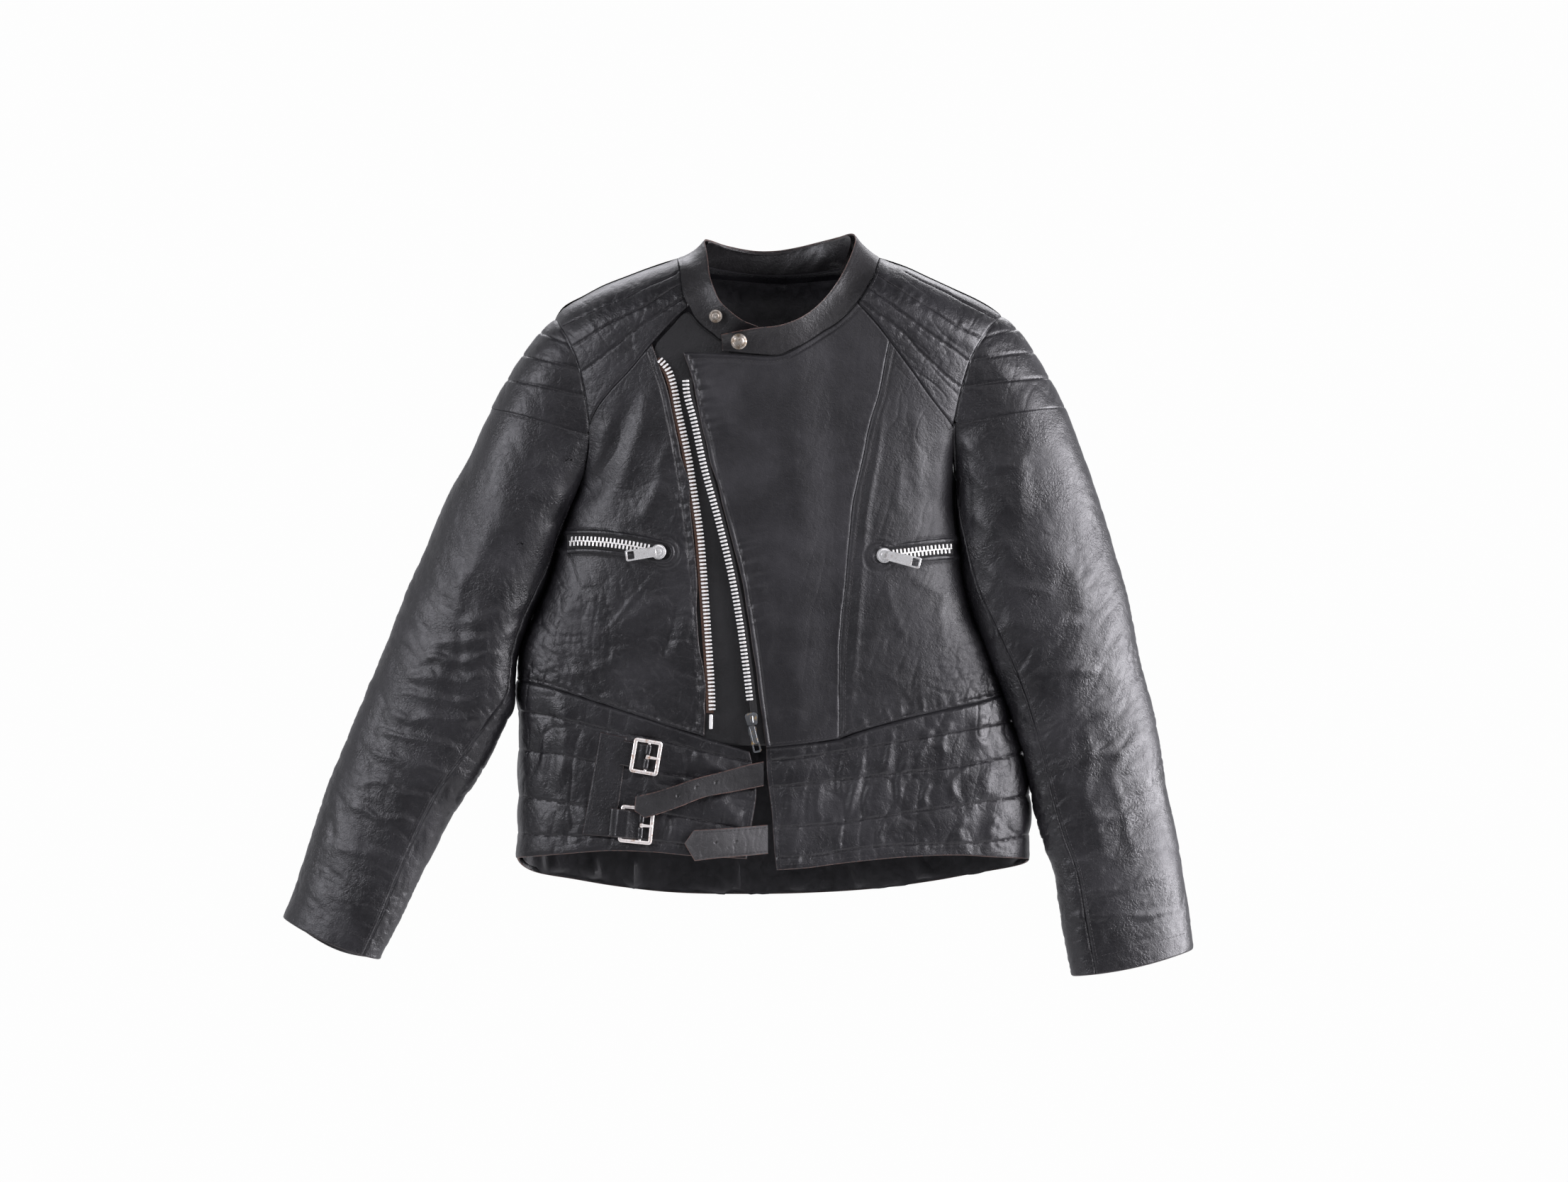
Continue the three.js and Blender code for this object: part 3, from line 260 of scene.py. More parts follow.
def torso(side, a, z, off):
    """The point off mm outside the body, at section angle a and height z."""
    p = torso_raw(side, a, z)
    after, before = np.minimum(HALF_PI, a + ANGLE_STEP), np.maximum(-HALF_PI, a - ANGLE_STEP)
    da = torso_raw(side, after, z) - torso_raw(side, before, z)
    dz = torso_raw(side, a, z + HEIGHT_STEP) - torso_raw(side, a, z - HEIGHT_STEP)
    n = unit(np.cross(da, dz)) * -side
    ridge = (interp(RIDGE, p[..., 0]) - z < RIDGE_BAND)[..., None]
    n = np.where(ridge, np.array([0.0, 0.0, 1.0]), n)
    rim = (HALF_PI - np.abs(a) < 1e-6)[..., None]
    n = np.where(rim, np.stack([np.sign(a), 0 * a, 0 * a], -1), n)
    return p + n * np.asarray(off)[..., None]


def on_front(x, z, off=0.0):
    x, z = np.asarray(x, float), np.asarray(z, float)
    return torso(FRONT, angle_of(x, z), z, off + 0 * x)


def lift(x):
    """How far the left front lies over the right one."""
    return OVERLAP * smooth(60, 15, x)


def add_piece(name, verts, faces, body, slot, finish, replaces=(), wear=None, blend=None, sharp=40):
    """One visible piece, its verts in mm, parented to a body's empty, or left in world space when blend is
    given.
    """
    mesh = bpy.data.meshes.new(name)
    verts, faces = np.asarray(verts, float), np.asarray(faces)
    a, b, c = verts[faces[:, 0]], verts[faces[:, 1]], verts[faces[:, 2]]
    volume = np.einsum("ij,ij->i", np.cross(a, b), c).sum()
    if faces.shape[1] == 4:
        d = verts[faces[:, 3]]
        volume += np.einsum("ij,ij->i", np.cross(a, c), d).sum()
    if volume < 0:
        faces = faces[:, ::-1]
    corners = faces.shape[1]
    mesh.vertices.add(len(verts))
    mesh.vertices.foreach_set("co", (verts * MM).ravel())
    mesh.loops.add(faces.size)
    mesh.loops.foreach_set("vertex_index", faces.ravel())
    mesh.polygons.add(len(faces))
    mesh.polygons.foreach_set("loop_start", np.arange(0, faces.size, corners))
    mesh.update(calc_edges=True)
    mesh.validate()
    mesh.shade_smooth()
    mesh.set_sharp_from_angle(angle=math.radians(sharp))
    rest = mesh.attributes.new("rest", "FLOAT_VECTOR", "POINT")
    rest.data.foreach_set("vector", verts.astype(np.float32).ravel())
    worn = mesh.attributes.new("wear", "FLOAT", "POINT")
    if wear is not None:
        worn.data.foreach_set("value", np.asarray(wear, np.float32).ravel())
    mesh.materials.append(finish)
    piece = bpy.data.objects.new(name, mesh)
    bpy.context.scene.collection.objects.link(piece)
    if blend:
        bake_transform(piece)
    else:
        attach(piece, body)
    if replaces:
        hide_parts(*replaces)
    return piece


def stations(length, step, edge=(0.35, 0.8, 1.4, 2.2, 3.2)):
    """Shares of a length at about one step apart, closer together near both ends."""
    near = np.array([e for e in edge if e < length / 4])
    inner = max(2, int(round((length - 2 * (near[-1] if len(near) else 0)) / step)))
    lo = near[-1] if len(near) else 0
    mid = np.linspace(lo, length - lo, inner + 1)
    return np.unique(np.concatenate([
        [0], near[:-1], mid, length - near[:-1], [length],
    ]).round(5)) / length


def shell_faces(rows, cols):
    """Faces of a closed sheet: a grid of outer points, then the same grid of inner ones."""
    n = rows * cols
    idx = np.arange(n).reshape(rows, cols)
    top = np.stack([idx[:-1, :-1], idx[:-1, 1:], idx[1:, 1:], idx[1:, :-1]], -1).reshape(-1, 4)
    ring = np.concatenate([idx[0, :-1], idx[:-1, -1], idx[-1, :0:-1], idx[:0:-1, 0]])
    after = np.roll(ring, -1)
    rim = np.stack([ring, ring + n, after + n, after], -1)
    return np.vstack([top, top[:, ::-1] + n, rim])


def tube_faces(rings, sides, closed=False):
    """Faces of a tube of rings, its ends capped with quads; sides is even."""
    idx = np.arange(rings * sides).reshape(rings, sides)
    nxt = np.roll(idx, -1, axis=1)
    lower, upper = (idx, np.roll(idx, -1, axis=0)) if closed else (idx[:-1], idx[1:])
    lower_n, upper_n = (nxt, np.roll(nxt, -1, axis=0)) if closed else (nxt[:-1], nxt[1:])
    faces = [np.stack([lower, lower_n, upper_n, upper], -1).reshape(-1, 4)]
    if not closed:
        half = sides // 2
        for ring, order in ((idx[0], 1), (idx[-1], -1)):
            cap = [(
                ring[k], ring[sides - 1 - k], ring[sides - 2 - k], ring[k + 1],
            ) for k in range(half - 1)]
            faces.append(np.array(cap)[:, ::order])
    return np.vstack(faces)


# the kinds of edge, and for each how far in its roll reaches, how deep it dips, and how worn it is
SEAM, JOIN, FREE, CUT, PLAIN = "seam", "join", "free", "cut", "plain"
ROLL = {
    SEAM: (3.0, 1.4, 0.0),
    JOIN: (1.8, 0.45, 0.0),
    FREE: (1.6, 1.0, 0.3),
    CUT: (1.1, 0.7, 1.0),
    PLAIN: (1.0, 0.0, 0.0),
}
RUBBED = 1.0


def edge_effect(kind, distance):
    """How far a sheet dips, and how worn it is, at a distance from an edge of this kind."""
    reach, depth, worn = ROLL[kind]
    t = np.clip(1 - distance / reach, 0, 1)
    return -depth * t**2.2, worn * np.clip(1 - distance / RUBBED, 0, 1)


def coons(top, bottom, left, right, u, v):
    u, v = np.meshgrid(u, v)
    b, t = bottom.at(u), top.at(u)
    l, r = left.at(v), right.at(v)
    c00, c10, c01, c11 = bottom.at(0.0), bottom.at(1.0), top.at(0.0), top.at(1.0)
    u, v = u[..., None], v[..., None]
    blend = (1 - u) * (1 - v) * c00 + u * (1 - v) * c10 + (1 - u) * v * c01 + u * v * c11
    return mix(b, t, v) + mix(l, r, u) - blend


def edge(points, plain=False):
    """An edge given in (x, z), as a line in (section angle, z / 200)."""
    p = np.asarray(points, float)
    return Line(np.stack([angle_of(p[:, 0], p[:, 1]), p[:, 1] / Z_SCALE], -1), plain=plain)


# any x beyond the body: an edge there runs down the rim between front and back
RIGHT_SIDE, LEFT_SIDE = -400, 400


def side_edge(x, z0, z1):
    return edge([(x, z0), (x, (z0 + z1) / 2), (x, z1)])


def gaps(p):
    """Distances of every grid point from the first and last rows and columns, along the grid."""
    du = np.linalg.norm(np.diff(p, axis=1), axis=2).cumsum(1)
    dv = np.linalg.norm(np.diff(p, axis=0), axis=2).cumsum(0)
    du = np.concatenate([np.zeros((len(p), 1)), du], 1)
    dv = np.concatenate([np.zeros((1, p.shape[1])), dv], 0)
    return {"left": du, "right": du[:, -1:] - du, "bottom": dv, "top": dv[-1:] - dv}


def sheet_piece(name, outer_of, u, v, thickness, kinds, relief, base=0.0, **put):
    """A closed sheet over outer_of(u, v, off), with rolled edges and relief(points, u, v) on its face."""
    uu, vv = np.meshgrid(u, v)
    flat = outer_of(uu, vv, 0 * uu)
    d = gaps(flat)
    dip, wear = 0.0, 0.0
    for which, kind in kinds.items():
        a, b = edge_effect(kind, d[which])
        dip, wear = dip + a, np.maximum(wear, b)
    off = base(flat) if callable(base) else base
    calm = smooth(0, 5, np.minimum.reduce(list(d.values())))
    raised = relief(flat, uu, vv) if relief else 0.0 * uu
    outer = outer_of(uu, vv, off + dip + raised * mix(0.35, 1, calm))
    inner = outer_of(uu, vv, off + np.minimum(0, raised * mix(0.35, 1, calm)) * 0.6 - thickness)
    verts = np.concatenate([outer.reshape(-1, 3), inner.reshape(-1, 3)])
    put.setdefault("wear", np.concatenate([wear.ravel(), np.maximum(wear, 0).ravel()]))
    return add_piece(name, verts, shell_faces(len(v), len(u)), **put)


def panel(
    name, side, top, bottom, left, right, kinds, thickness=1.4, relief=None, step=2.0, over=None,
    base=0.0, **put
):
    """A leather panel between four edges on the body; over(x) raises it where it lies on another."""
    probe = torso_mapped(
        side, coons(top, bottom, left, right, np.linspace(0, 1, 9), np.linspace(0, 1, 9)), 0.0,
    )
    wide = np.linalg.norm(np.diff(probe, axis=1), axis=2).sum(1).max()
    high = np.linalg.norm(np.diff(probe, axis=0), axis=2).sum(0).max()
    u, v = stations(wide, step=step), stations(high, step=step)
    net = coons(top, bottom, left, right, u, v)

    def outer_of(uu, vv, off):
        return torso_mapped(side, net, off)

    rise = (lambda p: base + over(p[..., 0])) if over else base
    return sheet_piece(
        name, outer_of, u, v, thickness=thickness, kinds=kinds, relief=relief, base=rise, **put,
    )


def torso_mapped(side, net, off):
    a = np.clip(net[..., 0], -HALF_PI, HALF_PI)
    return torso(side, a, net[..., 1] * Z_SCALE, off + 0 * a)


# ------------------------------------------------------------------ materials


class Graph:
    """A short way to write a material's nodes. Textures read the place at rest, in mm."""

    def __init__(self, name):
        self.material = bpy.data.materials.new(name)
        self.material.use_nodes = True
        self.tree = self.material.node_tree
        self.surface = self.tree.nodes["Principled BSDF"]
        rest = self.tree.nodes.new("ShaderNodeAttribute")
        rest.attribute_name = "rest"
        self.rest = rest.outputs["Vector"]
        worn = self.tree.nodes.new("ShaderNodeAttribute")
        worn.attribute_name = "wear"
        self.wear = worn.outputs["Fac"]

    def put(self, socket, value):
        if isinstance(value, bpy.types.NodeSocket):
            self.tree.links.new(value, socket)
        else:
            socket.default_value = value

    def math(self, operation, a, b=0.0, clamp=False):
        n = self.tree.nodes.new("ShaderNodeMath")
        n.operation = operation
        n.use_clamp = clamp
        self.put(n.inputs[0], a)
        self.put(n.inputs[1], b)
        return n.outputs[0]

    def scaled(self, x, y, z):
        n = self.tree.nodes.new("ShaderNodeMapping")
        self.put(n.inputs["Vector"], self.rest)
        n.inputs["Scale"].default_value = (x, y, z)
        return n.outputs[0]

    def noise(self, scale, detail=2.0, vector=None, distortion=0.0, roughness=0.5):
        n = self.tree.nodes.new("ShaderNodeTexNoise")
        self.put(n.inputs["Vector"], vector or self.rest)
        n.inputs["Scale"].default_value = scale
        n.inputs["Detail"].default_value = detail
        n.inputs["Distortion"].default_value = distortion
        n.inputs["Roughness"].default_value = roughness
        return n.outputs["Fac"]

    def cells(self, scale, vector=None, feature="F1"):
        n = self.tree.nodes.new("ShaderNodeTexVoronoi")
        n.feature = feature
        self.put(n.inputs["Vector"], vector or self.rest)
        n.inputs["Scale"].default_value = scale
        return n.outputs["Distance"]

    def warped(self, scale, amount):
        """The place at rest, pushed about by noise, so that a texture loses its regular look."""
        n = self.tree.nodes.new("ShaderNodeTexNoise")
        self.put(n.inputs["Vector"], self.rest)
        n.inputs["Scale"].default_value = scale
        n.inputs["Detail"].default_value = 2.0
        pushed = self.tree.nodes.new("ShaderNodeVectorMath")
        pushed.operation = "MULTIPLY_ADD"
        self.put(pushed.inputs[0], n.outputs["Color"])
        pushed.inputs[1].default_value = (amount, amount, amount)
        self.put(pushed.inputs[2], self.rest)
        return pushed.outputs[0]

    def ramp(self, value, low, high, out_low=0.0, out_high=1.0):
        n = self.tree.nodes.new("ShaderNodeMapRange")
        n.interpolation_type = "SMOOTHSTEP"
        self.put(n.inputs["Value"], value)
        n.inputs["From Min"].default_value = low
        n.inputs["From Max"].default_value = high
        n.inputs["To Min"].default_value = out_low
        n.inputs["To Max"].default_value = out_high
        return n.outputs["Result"]

    def blend(self, share, a, b):
        n = self.tree.nodes.new("ShaderNodeMix")
        n.data_type = "RGBA"
        self.put(n.inputs["Factor"], share)
        for socket, value in ((n.inputs[6], a), (n.inputs[7], b)):
            self.put(socket, (*value, 1.0) if isinstance(value, tuple) else value)
        return n.outputs[2]

    def bump(self, height, depth_mm, below=None):
        n = self.tree.nodes.new("ShaderNodeBump")
        n.inputs["Strength"].default_value = 1.0
        n.inputs["Distance"].default_value = depth_mm * MM
        self.put(n.inputs["Height"], height)
        if below is not None:
            self.put(n.inputs["Normal"], below)
        return n.outputs["Normal"]

    def finish(self, **values):
        for key, value in values.items():
            self.put(self.surface.inputs[key.replace("_", " ")], value)
        return self.material


BROWN = (0.105, 0.052, 0.04)


def leather(name, tone, rough, grain=0.1, worn=BROWN, coat=0.16, wrinkle=0.4, crackle=0.12):
    """Finished cowhide: irregular cells, pores, fine creasing, uneven gloss, brown where it has rubbed."""
    g = Graph(name)
    pores = g.noise(scale=1.5, detail=3.0)
    cells = g.cells(scale=0.62, vector=g.warped(scale=0.4, amount=1.6))
    fine = g.noise(scale=0.16, detail=5.0, distortion=0.8, roughness=0.62)
    patch = g.noise(scale=0.016, detail=4.0, roughness=0.6)
    scuff = g.noise(
        scale=0.09, detail=6.0, vector=g.scaled(1.0, 1.0, 0.35), distortion=0.5, roughness=0.7,
    )
    grains = g.math("ADD", g.math("MULTIPLY", cells, 0.8), g.math("MULTIPLY", pores, 0.6))
    lines = g.cells(scale=0.26, vector=g.warped(scale=0.13, amount=7.0), feature="DISTANCE_TO_EDGE")
    lines = g.math(
        "MULTIPLY", g.ramp(lines, low=0.0, high=0.3),
        g.ramp(g.noise(scale=0.03, detail=3.0), low=0.42, high=0.68),
    )
    normal = g.bump(lines, depth_mm=crackle, below=g.bump(fine, depth_mm=wrinkle))
    normal = g.bump(grains, depth_mm=grain, below=normal)
    light = tuple(min(1.0, c * 1.9 + 0.004) for c in tone)
    colour = g.blend(g.ramp(patch, low=0.35, high=0.75), tone, light)
    colour = g.blend(
        g.ramp(scuff, low=0.62, high=0.85, out_low=0.0, out_high=0.5), colour, (0.04, 0.037, 0.04),
    )
    rubbed = g.math("MULTIPLY", g.wear, g.ramp(g.noise(scale=0.35, detail=4.0), low=0.3, high=0.6))
    colour = g.blend(rubbed, colour, worn)
    uneven = g.ramp(patch, low=0.3, high=0.75, out_low=rough - 0.05, out_high=rough + 0.1)
    roughness = g.math("ADD", uneven, g.ramp(scuff, low=0.5, high=0.85, out_low=0.0, out_high=0.12))
    roughness = g.math("ADD", roughness, g.ramp(pores, low=0.35, high=0.7, out_low=-0.05, out_high=0.09))
    roughness = g.math("ADD", roughness, g.math("MULTIPLY", rubbed, 0.3), clamp=True)
    return g.finish(
        Base_Color=colour, Roughness=roughness, Normal=normal, Specular_IOR_Level=0.5, Coat_Weight=coat,
        Coat_Roughness=0.34, Coat_IOR=1.45,
    )


def cloth(name, tone, rough, weave, depth, sheen=0.3):
    """Woven cloth: crossing threads at the weave's pitch in mm, slightly uneven."""
    g = Graph(name)
    wave = [g.tree.nodes.new("ShaderNodeTexWave") for _ in range(2)]
    for n, axis in zip(wave, ("X", "Z")):
        n.bands_direction = axis
        g.put(n.inputs["Vector"], g.rest)
        n.inputs["Scale"].default_value = 0.314 / weave
        n.inputs["Distortion"].default_value = 0.4
    threads = g.math("ADD", wave[0].outputs["Fac"], wave[1].outputs["Fac"])
    uneven = g.noise(scale=0.12, detail=4.0, distortion=0.5)
    normal = g.bump(threads, depth_mm=depth, below=g.bump(uneven, depth_mm=0.35))
    colour = g.blend(g.ramp(uneven, low=0.3, high=0.7), tone, tuple(c * 1.7 for c in tone))
    return g.finish(
        Base_Color=colour,
        Roughness=g.ramp(uneven, low=0.3, high=0.7, out_low=rough - 0.05, out_high=rough + 0.08),
        Normal=normal, Sheen_Weight=sheen, Sheen_Roughness=0.4,
    )


def metal(name, tone, rough, tarnish, amount, metallic=0.9):
    """Plated metal with fine scratches, and patches where it has dulled or worn to another colour."""
    g = Graph(name)
    scratch = g.noise(
        scale=0.9, detail=5.0, vector=g.scaled(1.0, 1.0, 6.0), distortion=0.0, roughness=0.7,
    )
    patch = g.noise(scale=0.22, detail=4.0, roughness=0.65)
    dull = g.ramp(patch, low=0.62 - amount * 0.4, high=0.8 - amount * 0.3)
    colour = g.blend(dull, tone, tarnish)
    roughness = g.math(
        "ADD", g.ramp(scratch, low=0.3, high=0.8, out_low=rough, out_high=rough + 0.14),
        g.math("MULTIPLY", dull, 0.2),
    )
    return g.finish(
        Base_Color=colour, Metallic=metallic, Roughness=roughness,
        Normal=g.bump(scratch, depth_mm=0.02),
    )


def thread(name, tone):
    g = Graph(name)
    twist = g.noise(scale=2.4, detail=2.0)
    return g.finish(
        Base_Color=g.blend(g.ramp(twist, low=0.35, high=0.7), tone, tuple(c * 2.2 for c in tone)),
        Roughness=0.6, Normal=g.bump(twist, depth_mm=0.08),
    )


STRAP_EDGE = (0.17, 0.09, 0.072)
BLACK = leather("black leather", (0.0062, 0.0058, 0.0072), rough=0.37, grain=0.14, wrinkle=0.6)
DULL = leather("dull leather", (0.0062, 0.0058, 0.0072), rough=0.47, grain=0.14, coat=0.06, wrinkle=0.55)
SMOOTH = leather(
    "smooth leather", (0.0082, 0.0076, 0.0094), rough=0.44, grain=0.1, wrinkle=0.4, crackle=0.0,
)
QUILTED = leather("quilted leather", (0.006, 0.0056, 0.0071), rough=0.36, grain=0.13, wrinkle=0.6)
SLEEVE = leather(
    "sleeve leather", (0.006, 0.0056, 0.0071), rough=0.37, grain=0.14, wrinkle=0.65, crackle=0.22,
)
COLLAR = leather("collar leather", (0.0075, 0.0068, 0.0075), rough=0.4, wrinkle=0.55)
FACING = leather("facing leather", (0.0045, 0.0043, 0.005), rough=0.5, coat=0.1)
POLISHED = leather(
    "polished leather", (0.005, 0.0047, 0.0058), rough=0.24, grain=0.05, coat=0.5, wrinkle=0.5,
)
STRAP = leather(
    "strap leather", (0.0115, 0.011, 0.0117), rough=0.42, grain=0.1, worn=STRAP_EDGE, wrinkle=0.5,
)
OLD_STRAP = leather(
    "cracked strap leather", (0.042, 0.0408, 0.042), rough=0.42, grain=0.15, worn=STRAP_EDGE, wrinkle=0.9,
)
SATIN = cloth("black satin", (0.0095, 0.009, 0.0108), rough=0.4, weave=0.35, depth=0.015, sheen=0.15)
TAPE = cloth("zip tape cloth", (0.009, 0.0085, 0.009), rough=0.8, weave=0.9, depth=0.12)
BROWN_TAPE = cloth("faded tape cloth", (0.05, 0.024, 0.015), rough=0.8, weave=0.9, depth=0.12)
COTTON = cloth("pocket cotton", (0.012, 0.012, 0.013), rough=0.85, weave=0.6, depth=0.08)
NICKEL = metal(
    "bright nickel", (0.98, 0.97, 0.95), rough=0.34, tarnish=(0.72, 0.63, 0.55), amount=0.12,
    metallic=0.35,
)
PLATED = metal(
    "plated pull", (0.88, 0.88, 0.87), rough=0.22, tarnish=(0.45, 0.42, 0.4), amount=0.3, metallic=0.65,
)
ZINC = metal("worn zinc", (0.2, 0.21, 0.22), rough=0.3, tarnish=(0.5, 0.32, 0.1), amount=0.22)
BUCKLE = metal(
    "buckle nickel", (0.95, 0.9, 0.86), rough=0.26, tarnish=(0.45, 0.28, 0.19), amount=0.3, metallic=0.6,
)
SNAP = metal("snap brass", (0.5, 0.46, 0.41), rough=0.3, tarnish=(0.2, 0.16, 0.12), amount=0.5)
THREAD = thread("black thread", (0.022, 0.0205, 0.022))

# ------------------------------------------------------------------ seams, as (x, z) in mm
NECK_R = [(-97.6, 10), (-96, -0.5), (-93.5, -18), (-91, -31), (-87, -39)]
NECK_L = [(100, 10.6), (99, 6.6), (94.5, -8), (87, -22), (78.5, -36)]
YOKE_R = [
    (-87, -39), (-103, -53.5), (-120, -72), (-145, -102), (-163, -121), (-176.5, -138), (-185.5, -156),
]
YOKE_RF = [(-123.5, -77)] + YOKE_R[3:]
YOKE_L = [(78.5, -36), (100, -59), (113, -77), (132, -102.5), (149.5, -127), (163, -144), (174, -158)]
ARM_R = [(-221, -50), (-210, -67), (-198, -93), (-190, -125), (-185.5, -156)]
ARM_L = [(223, -47), (210, -60), (193, -88), (182, -121), (174, -158)]
ARM_R2 = [(-185.5, -156), (-187, -185), (-194, -212), (-202.2, -224)]
ARM_L2 = [(174, -158), (174, -185), (175, -204), (177.5, -216)]
RIDGE_R = [
    (-221, -50), (-213, -38), (-193, -26.6), (-172, -15.6), (-150, -7), (-129, 1), (-110, 7.4),
    (-97.6, 11),
]
RIDGE_L = [(100, 11.6), (112, 8), (128, 2.4), (151, -8.2), (175, -19.2), (199, -30.4), (223, -47)]
FRONT_EDGE_R = [
    (-72, -463), (-71, -436), (-71, -405), (-80, -290), (-94, -189), (-97, -173), (-102, -149),
    (-108, -122), (-115, -101), (-123.5, -77),
]
WAIST_R = [
    (-259, -408), (-232, -413.5), (-202, -422), (-171, -432), (-140.5, -442), (-110, -452), (-72, -463),
]
WAIST_R2 = WAIST_R[:-1] + [(-72, -464), (-27, -478)]
HEM_R = [
    (-264, -585), (-240, -582), (-209, -579), (-163.5, -575.5), (-118, -577), (-87, -580), (-30, -583),
]
BAND_EDGE_R = [(-30, -583), (-25, -549), (-20.5, -515), (-27, -478)]
FLAP_EDGE = [
    (-11, -474), (-14, -453), (-18.5, -420), (-22, -390), (-28, -350), (-37, -300), (-50, -250),
    (-64, -200), (-70.5, -172), (-78, -140), (-83.5, -112), (-92.6, -85.6),
]
FLAP_TOP = [
    (-92.6, -85.6), (-45, -87), (2.3, -88), (30, -74), (44, -64.6), (57, -56.4), (69, -46), (78.5, -36),
]
PRINCESS = [
    (60.5, -465.4), (61, -381), (65.6, -327), (72, -260), (78.5, -215), (84.6, -189), (93.5, -148),
    (100, -127), (106, -96), (110.5, -73.5),
]
WAIST_L = [
    (-11, -474), (21, -471), (60.5, -465.4), (74, -460), (120, -446.5), (173.5, -434), (216, -424),
    (226, -422),
]
HEM_L = [
    (-0.6, -594), (29, -592), (58, -588.3), (78, -586), (127, -581.5), (176.5, -580), (216, -582.5),
    (252, -586),
]
BAND_EDGE_L = [(-0.6, -594), (-3, -573), (-5, -543), (-10, -500), (-11, -474)]
UNDER_L = [
    (-80, -470), (-80, -405), (-89, -290), (-101, -205), (-109, -150), (-117, -118), (-125, -92),
    (-119, -75),
]
UNDER_R = [(18, -472), (14, -400), (4, -300), (-12, -200), (-30, -120), (-50, -78)]
UNDER_TOP = [(-119, -75), (-104, -58), (-90, -44), (-76, -58), (-50, -78)]
NECK_B = [(-97.6, 10), (-80, 6), (-55, 1), (-20, -3.4), (7, -4), (35, -2), (62, 2), (84, 7), (100, 10.6)]
BACK_YOKE = [(-189.5, -133), (-100, -140), (-5, -142), (90, -140), (178.5, -133)]
BACK_WAIST = [(-259, -408), (-130, -420), (-5, -424), (120, -423), (226, -422)]
BACK_HEM = [
    (-264, -585), (-244, -600), (-205, -608), (-158, -616), (-102, -622), (-26, -623.5), (39, -622),
    (98, -618), (157, -610), (200, -602), (252, -588),
]
ZIP_R = [
    (-118.5, -91), (-108.7, -102), (-103, -117), (-98, -143), (-94, -161), (-88, -189), (-83.4, -218),
    (-76.7, -263), (-73, -307), (-69, -363), (-65.5, -419), (-65, -440),
]
ZIP_L = [
    (-24.5, -441), (-29.5, -398), (-36, -350), (-45, -300), (-57, -250), (-70.5, -200), (-81.5, -150),
    (-85, -138), (-88, -125), (-89, -110),
]
POCKET_R = [(-112, -281.8), (-130.5, -278), (-150, -274.5), (-171, -272), (-193, -271), (-210, -272)]
POCKET_L = [(101, -285.5), (127, -282.6), (147, -280.2), (166.5, -278.4), (176, -278)]

# ------------------------------------------------------------------ quilting lines, as (x, z) in mm
YOKE_QUILT_R = [
    [(-98, -4), (-105, -9), (-131, -20), (-151, -31), (-172, -39), (-193, -49), (-213, -58)],
    [(-93, -16), (-104, -22), (-127, -37), (-145, -46), (-169, -58), (-187, -70), (-202, -79)],
    [(-91, -31), (-102, -38), (-128, -55), (-145, -67), (-162, -81), (-181, -96), (-194, -105)],
]
YOKE_QUILT_L = [
    [(125, -3), (145, -14), (163, -22), (187, -35), (217, -50)],
    [(94, -4), (103, -10), (120, -22), (137, -33), (157, -45.5), (181, -60), (206, -72)],
    [(88, -20), (94, -24), (111, -37), (132, -53), (157, -71), (175, -83), (194, -97)],
    [(78, -32), (82, -35), (102, -49), (123, -65), (139, -83), (157, -99), (169, -110), (184, -121)],
]
WAIST_QUILT_L = [
    [(-12, -487), (19, -484), (59, -478), (108, -470), (157, -462), (218, -451), (240, -447)],
    [(-10, -512), (0, -512), (59, -506), (118, -499), (176.5, -493), (235, -482), (250, -480)],
    [(-5, -552.5), (0, -552), (59, -548), (118, -539), (176.5, -531), (245, -523), (252, -522)],
    [(-4, -582), (39, -579.5), (78, -573), (127, -569), (176.5, -569), (216, -567), (252, -561)],
]
WAIST_QUILT_R = [
    [
        (-258, -439), (-225, -443), (-186, -452), (-156, -459), (-110, -468), (-79, -476),
        (-56, -481.5), (-24, -489),
    ],
    [(-259, -477), (-225, -480), (-182, -487), (-118, -498), (-87, -503), (-56, -508), (-20, -515)],
    [(-260, -522), (-225, -527), (-191, -531), (-124, -538), (-87, -543), (-56, -549.5), (-24, -556)],
    [(-262, -559.5), (-225, -561), (-186, -561), (-160, -562.5), (-90, -569), (-28, -574)],
]
BACK_YOKE_QUILT = [
    [(-214, -62), (-120, -34), (0, -24), (120, -34), (214, -62)],
    [(-204, -82), (-120, -60), (0, -51), (120, -60), (204, -82)],
    [(-197, -100), (-120, -86), (0, -79), (120, -86), (194, -100)],
    [(-192, -117), (-120, -112), (0, -109), (120, -112), (184, -117)],
]
BACK_WAIST_QUILT = [
    [(-257, -439), (-130, -449), (0, -452), (120, -450), (240, -447)],
    [(-259, -477), (-130, -484), (0, -487), (120, -485), (250, -480)],
    [(-260, -522), (-130, -530), (0, -533), (120, -530), (252, -522)],
    [(-262, -559.5), (-130, -577), (0, -582), (120, -577), (252, -561)],
]


GROOVE_WIDTH = 1.0


def quilted(x, z, lines, puff=1.0, seed=5):
    """Padded channels: a sewn groove on each line, soft land between, small puckers beside the stitches."""
    d = np.full(x.shape, 40.0)
    at = np.zeros(x.shape)
    for k, line in enumerate(lines):
        r, share = spread(x, z, line, 42)
        closer = r < d
        d = np.where(closer, r, d)
        at = np.where(closer, share * line.length + 37 * k, at)
    h = puff * (1 - np.exp(-((d / 8.5) ** 1.6)))
    pucker = noise(at / 5.0, d / 30, seed) * np.exp(-((d - 3.0) ** 2) / 12)
    return h - 1.15 * np.exp(-((d / GROOVE_WIDTH) ** 1.6)) + 0.42 * pucker


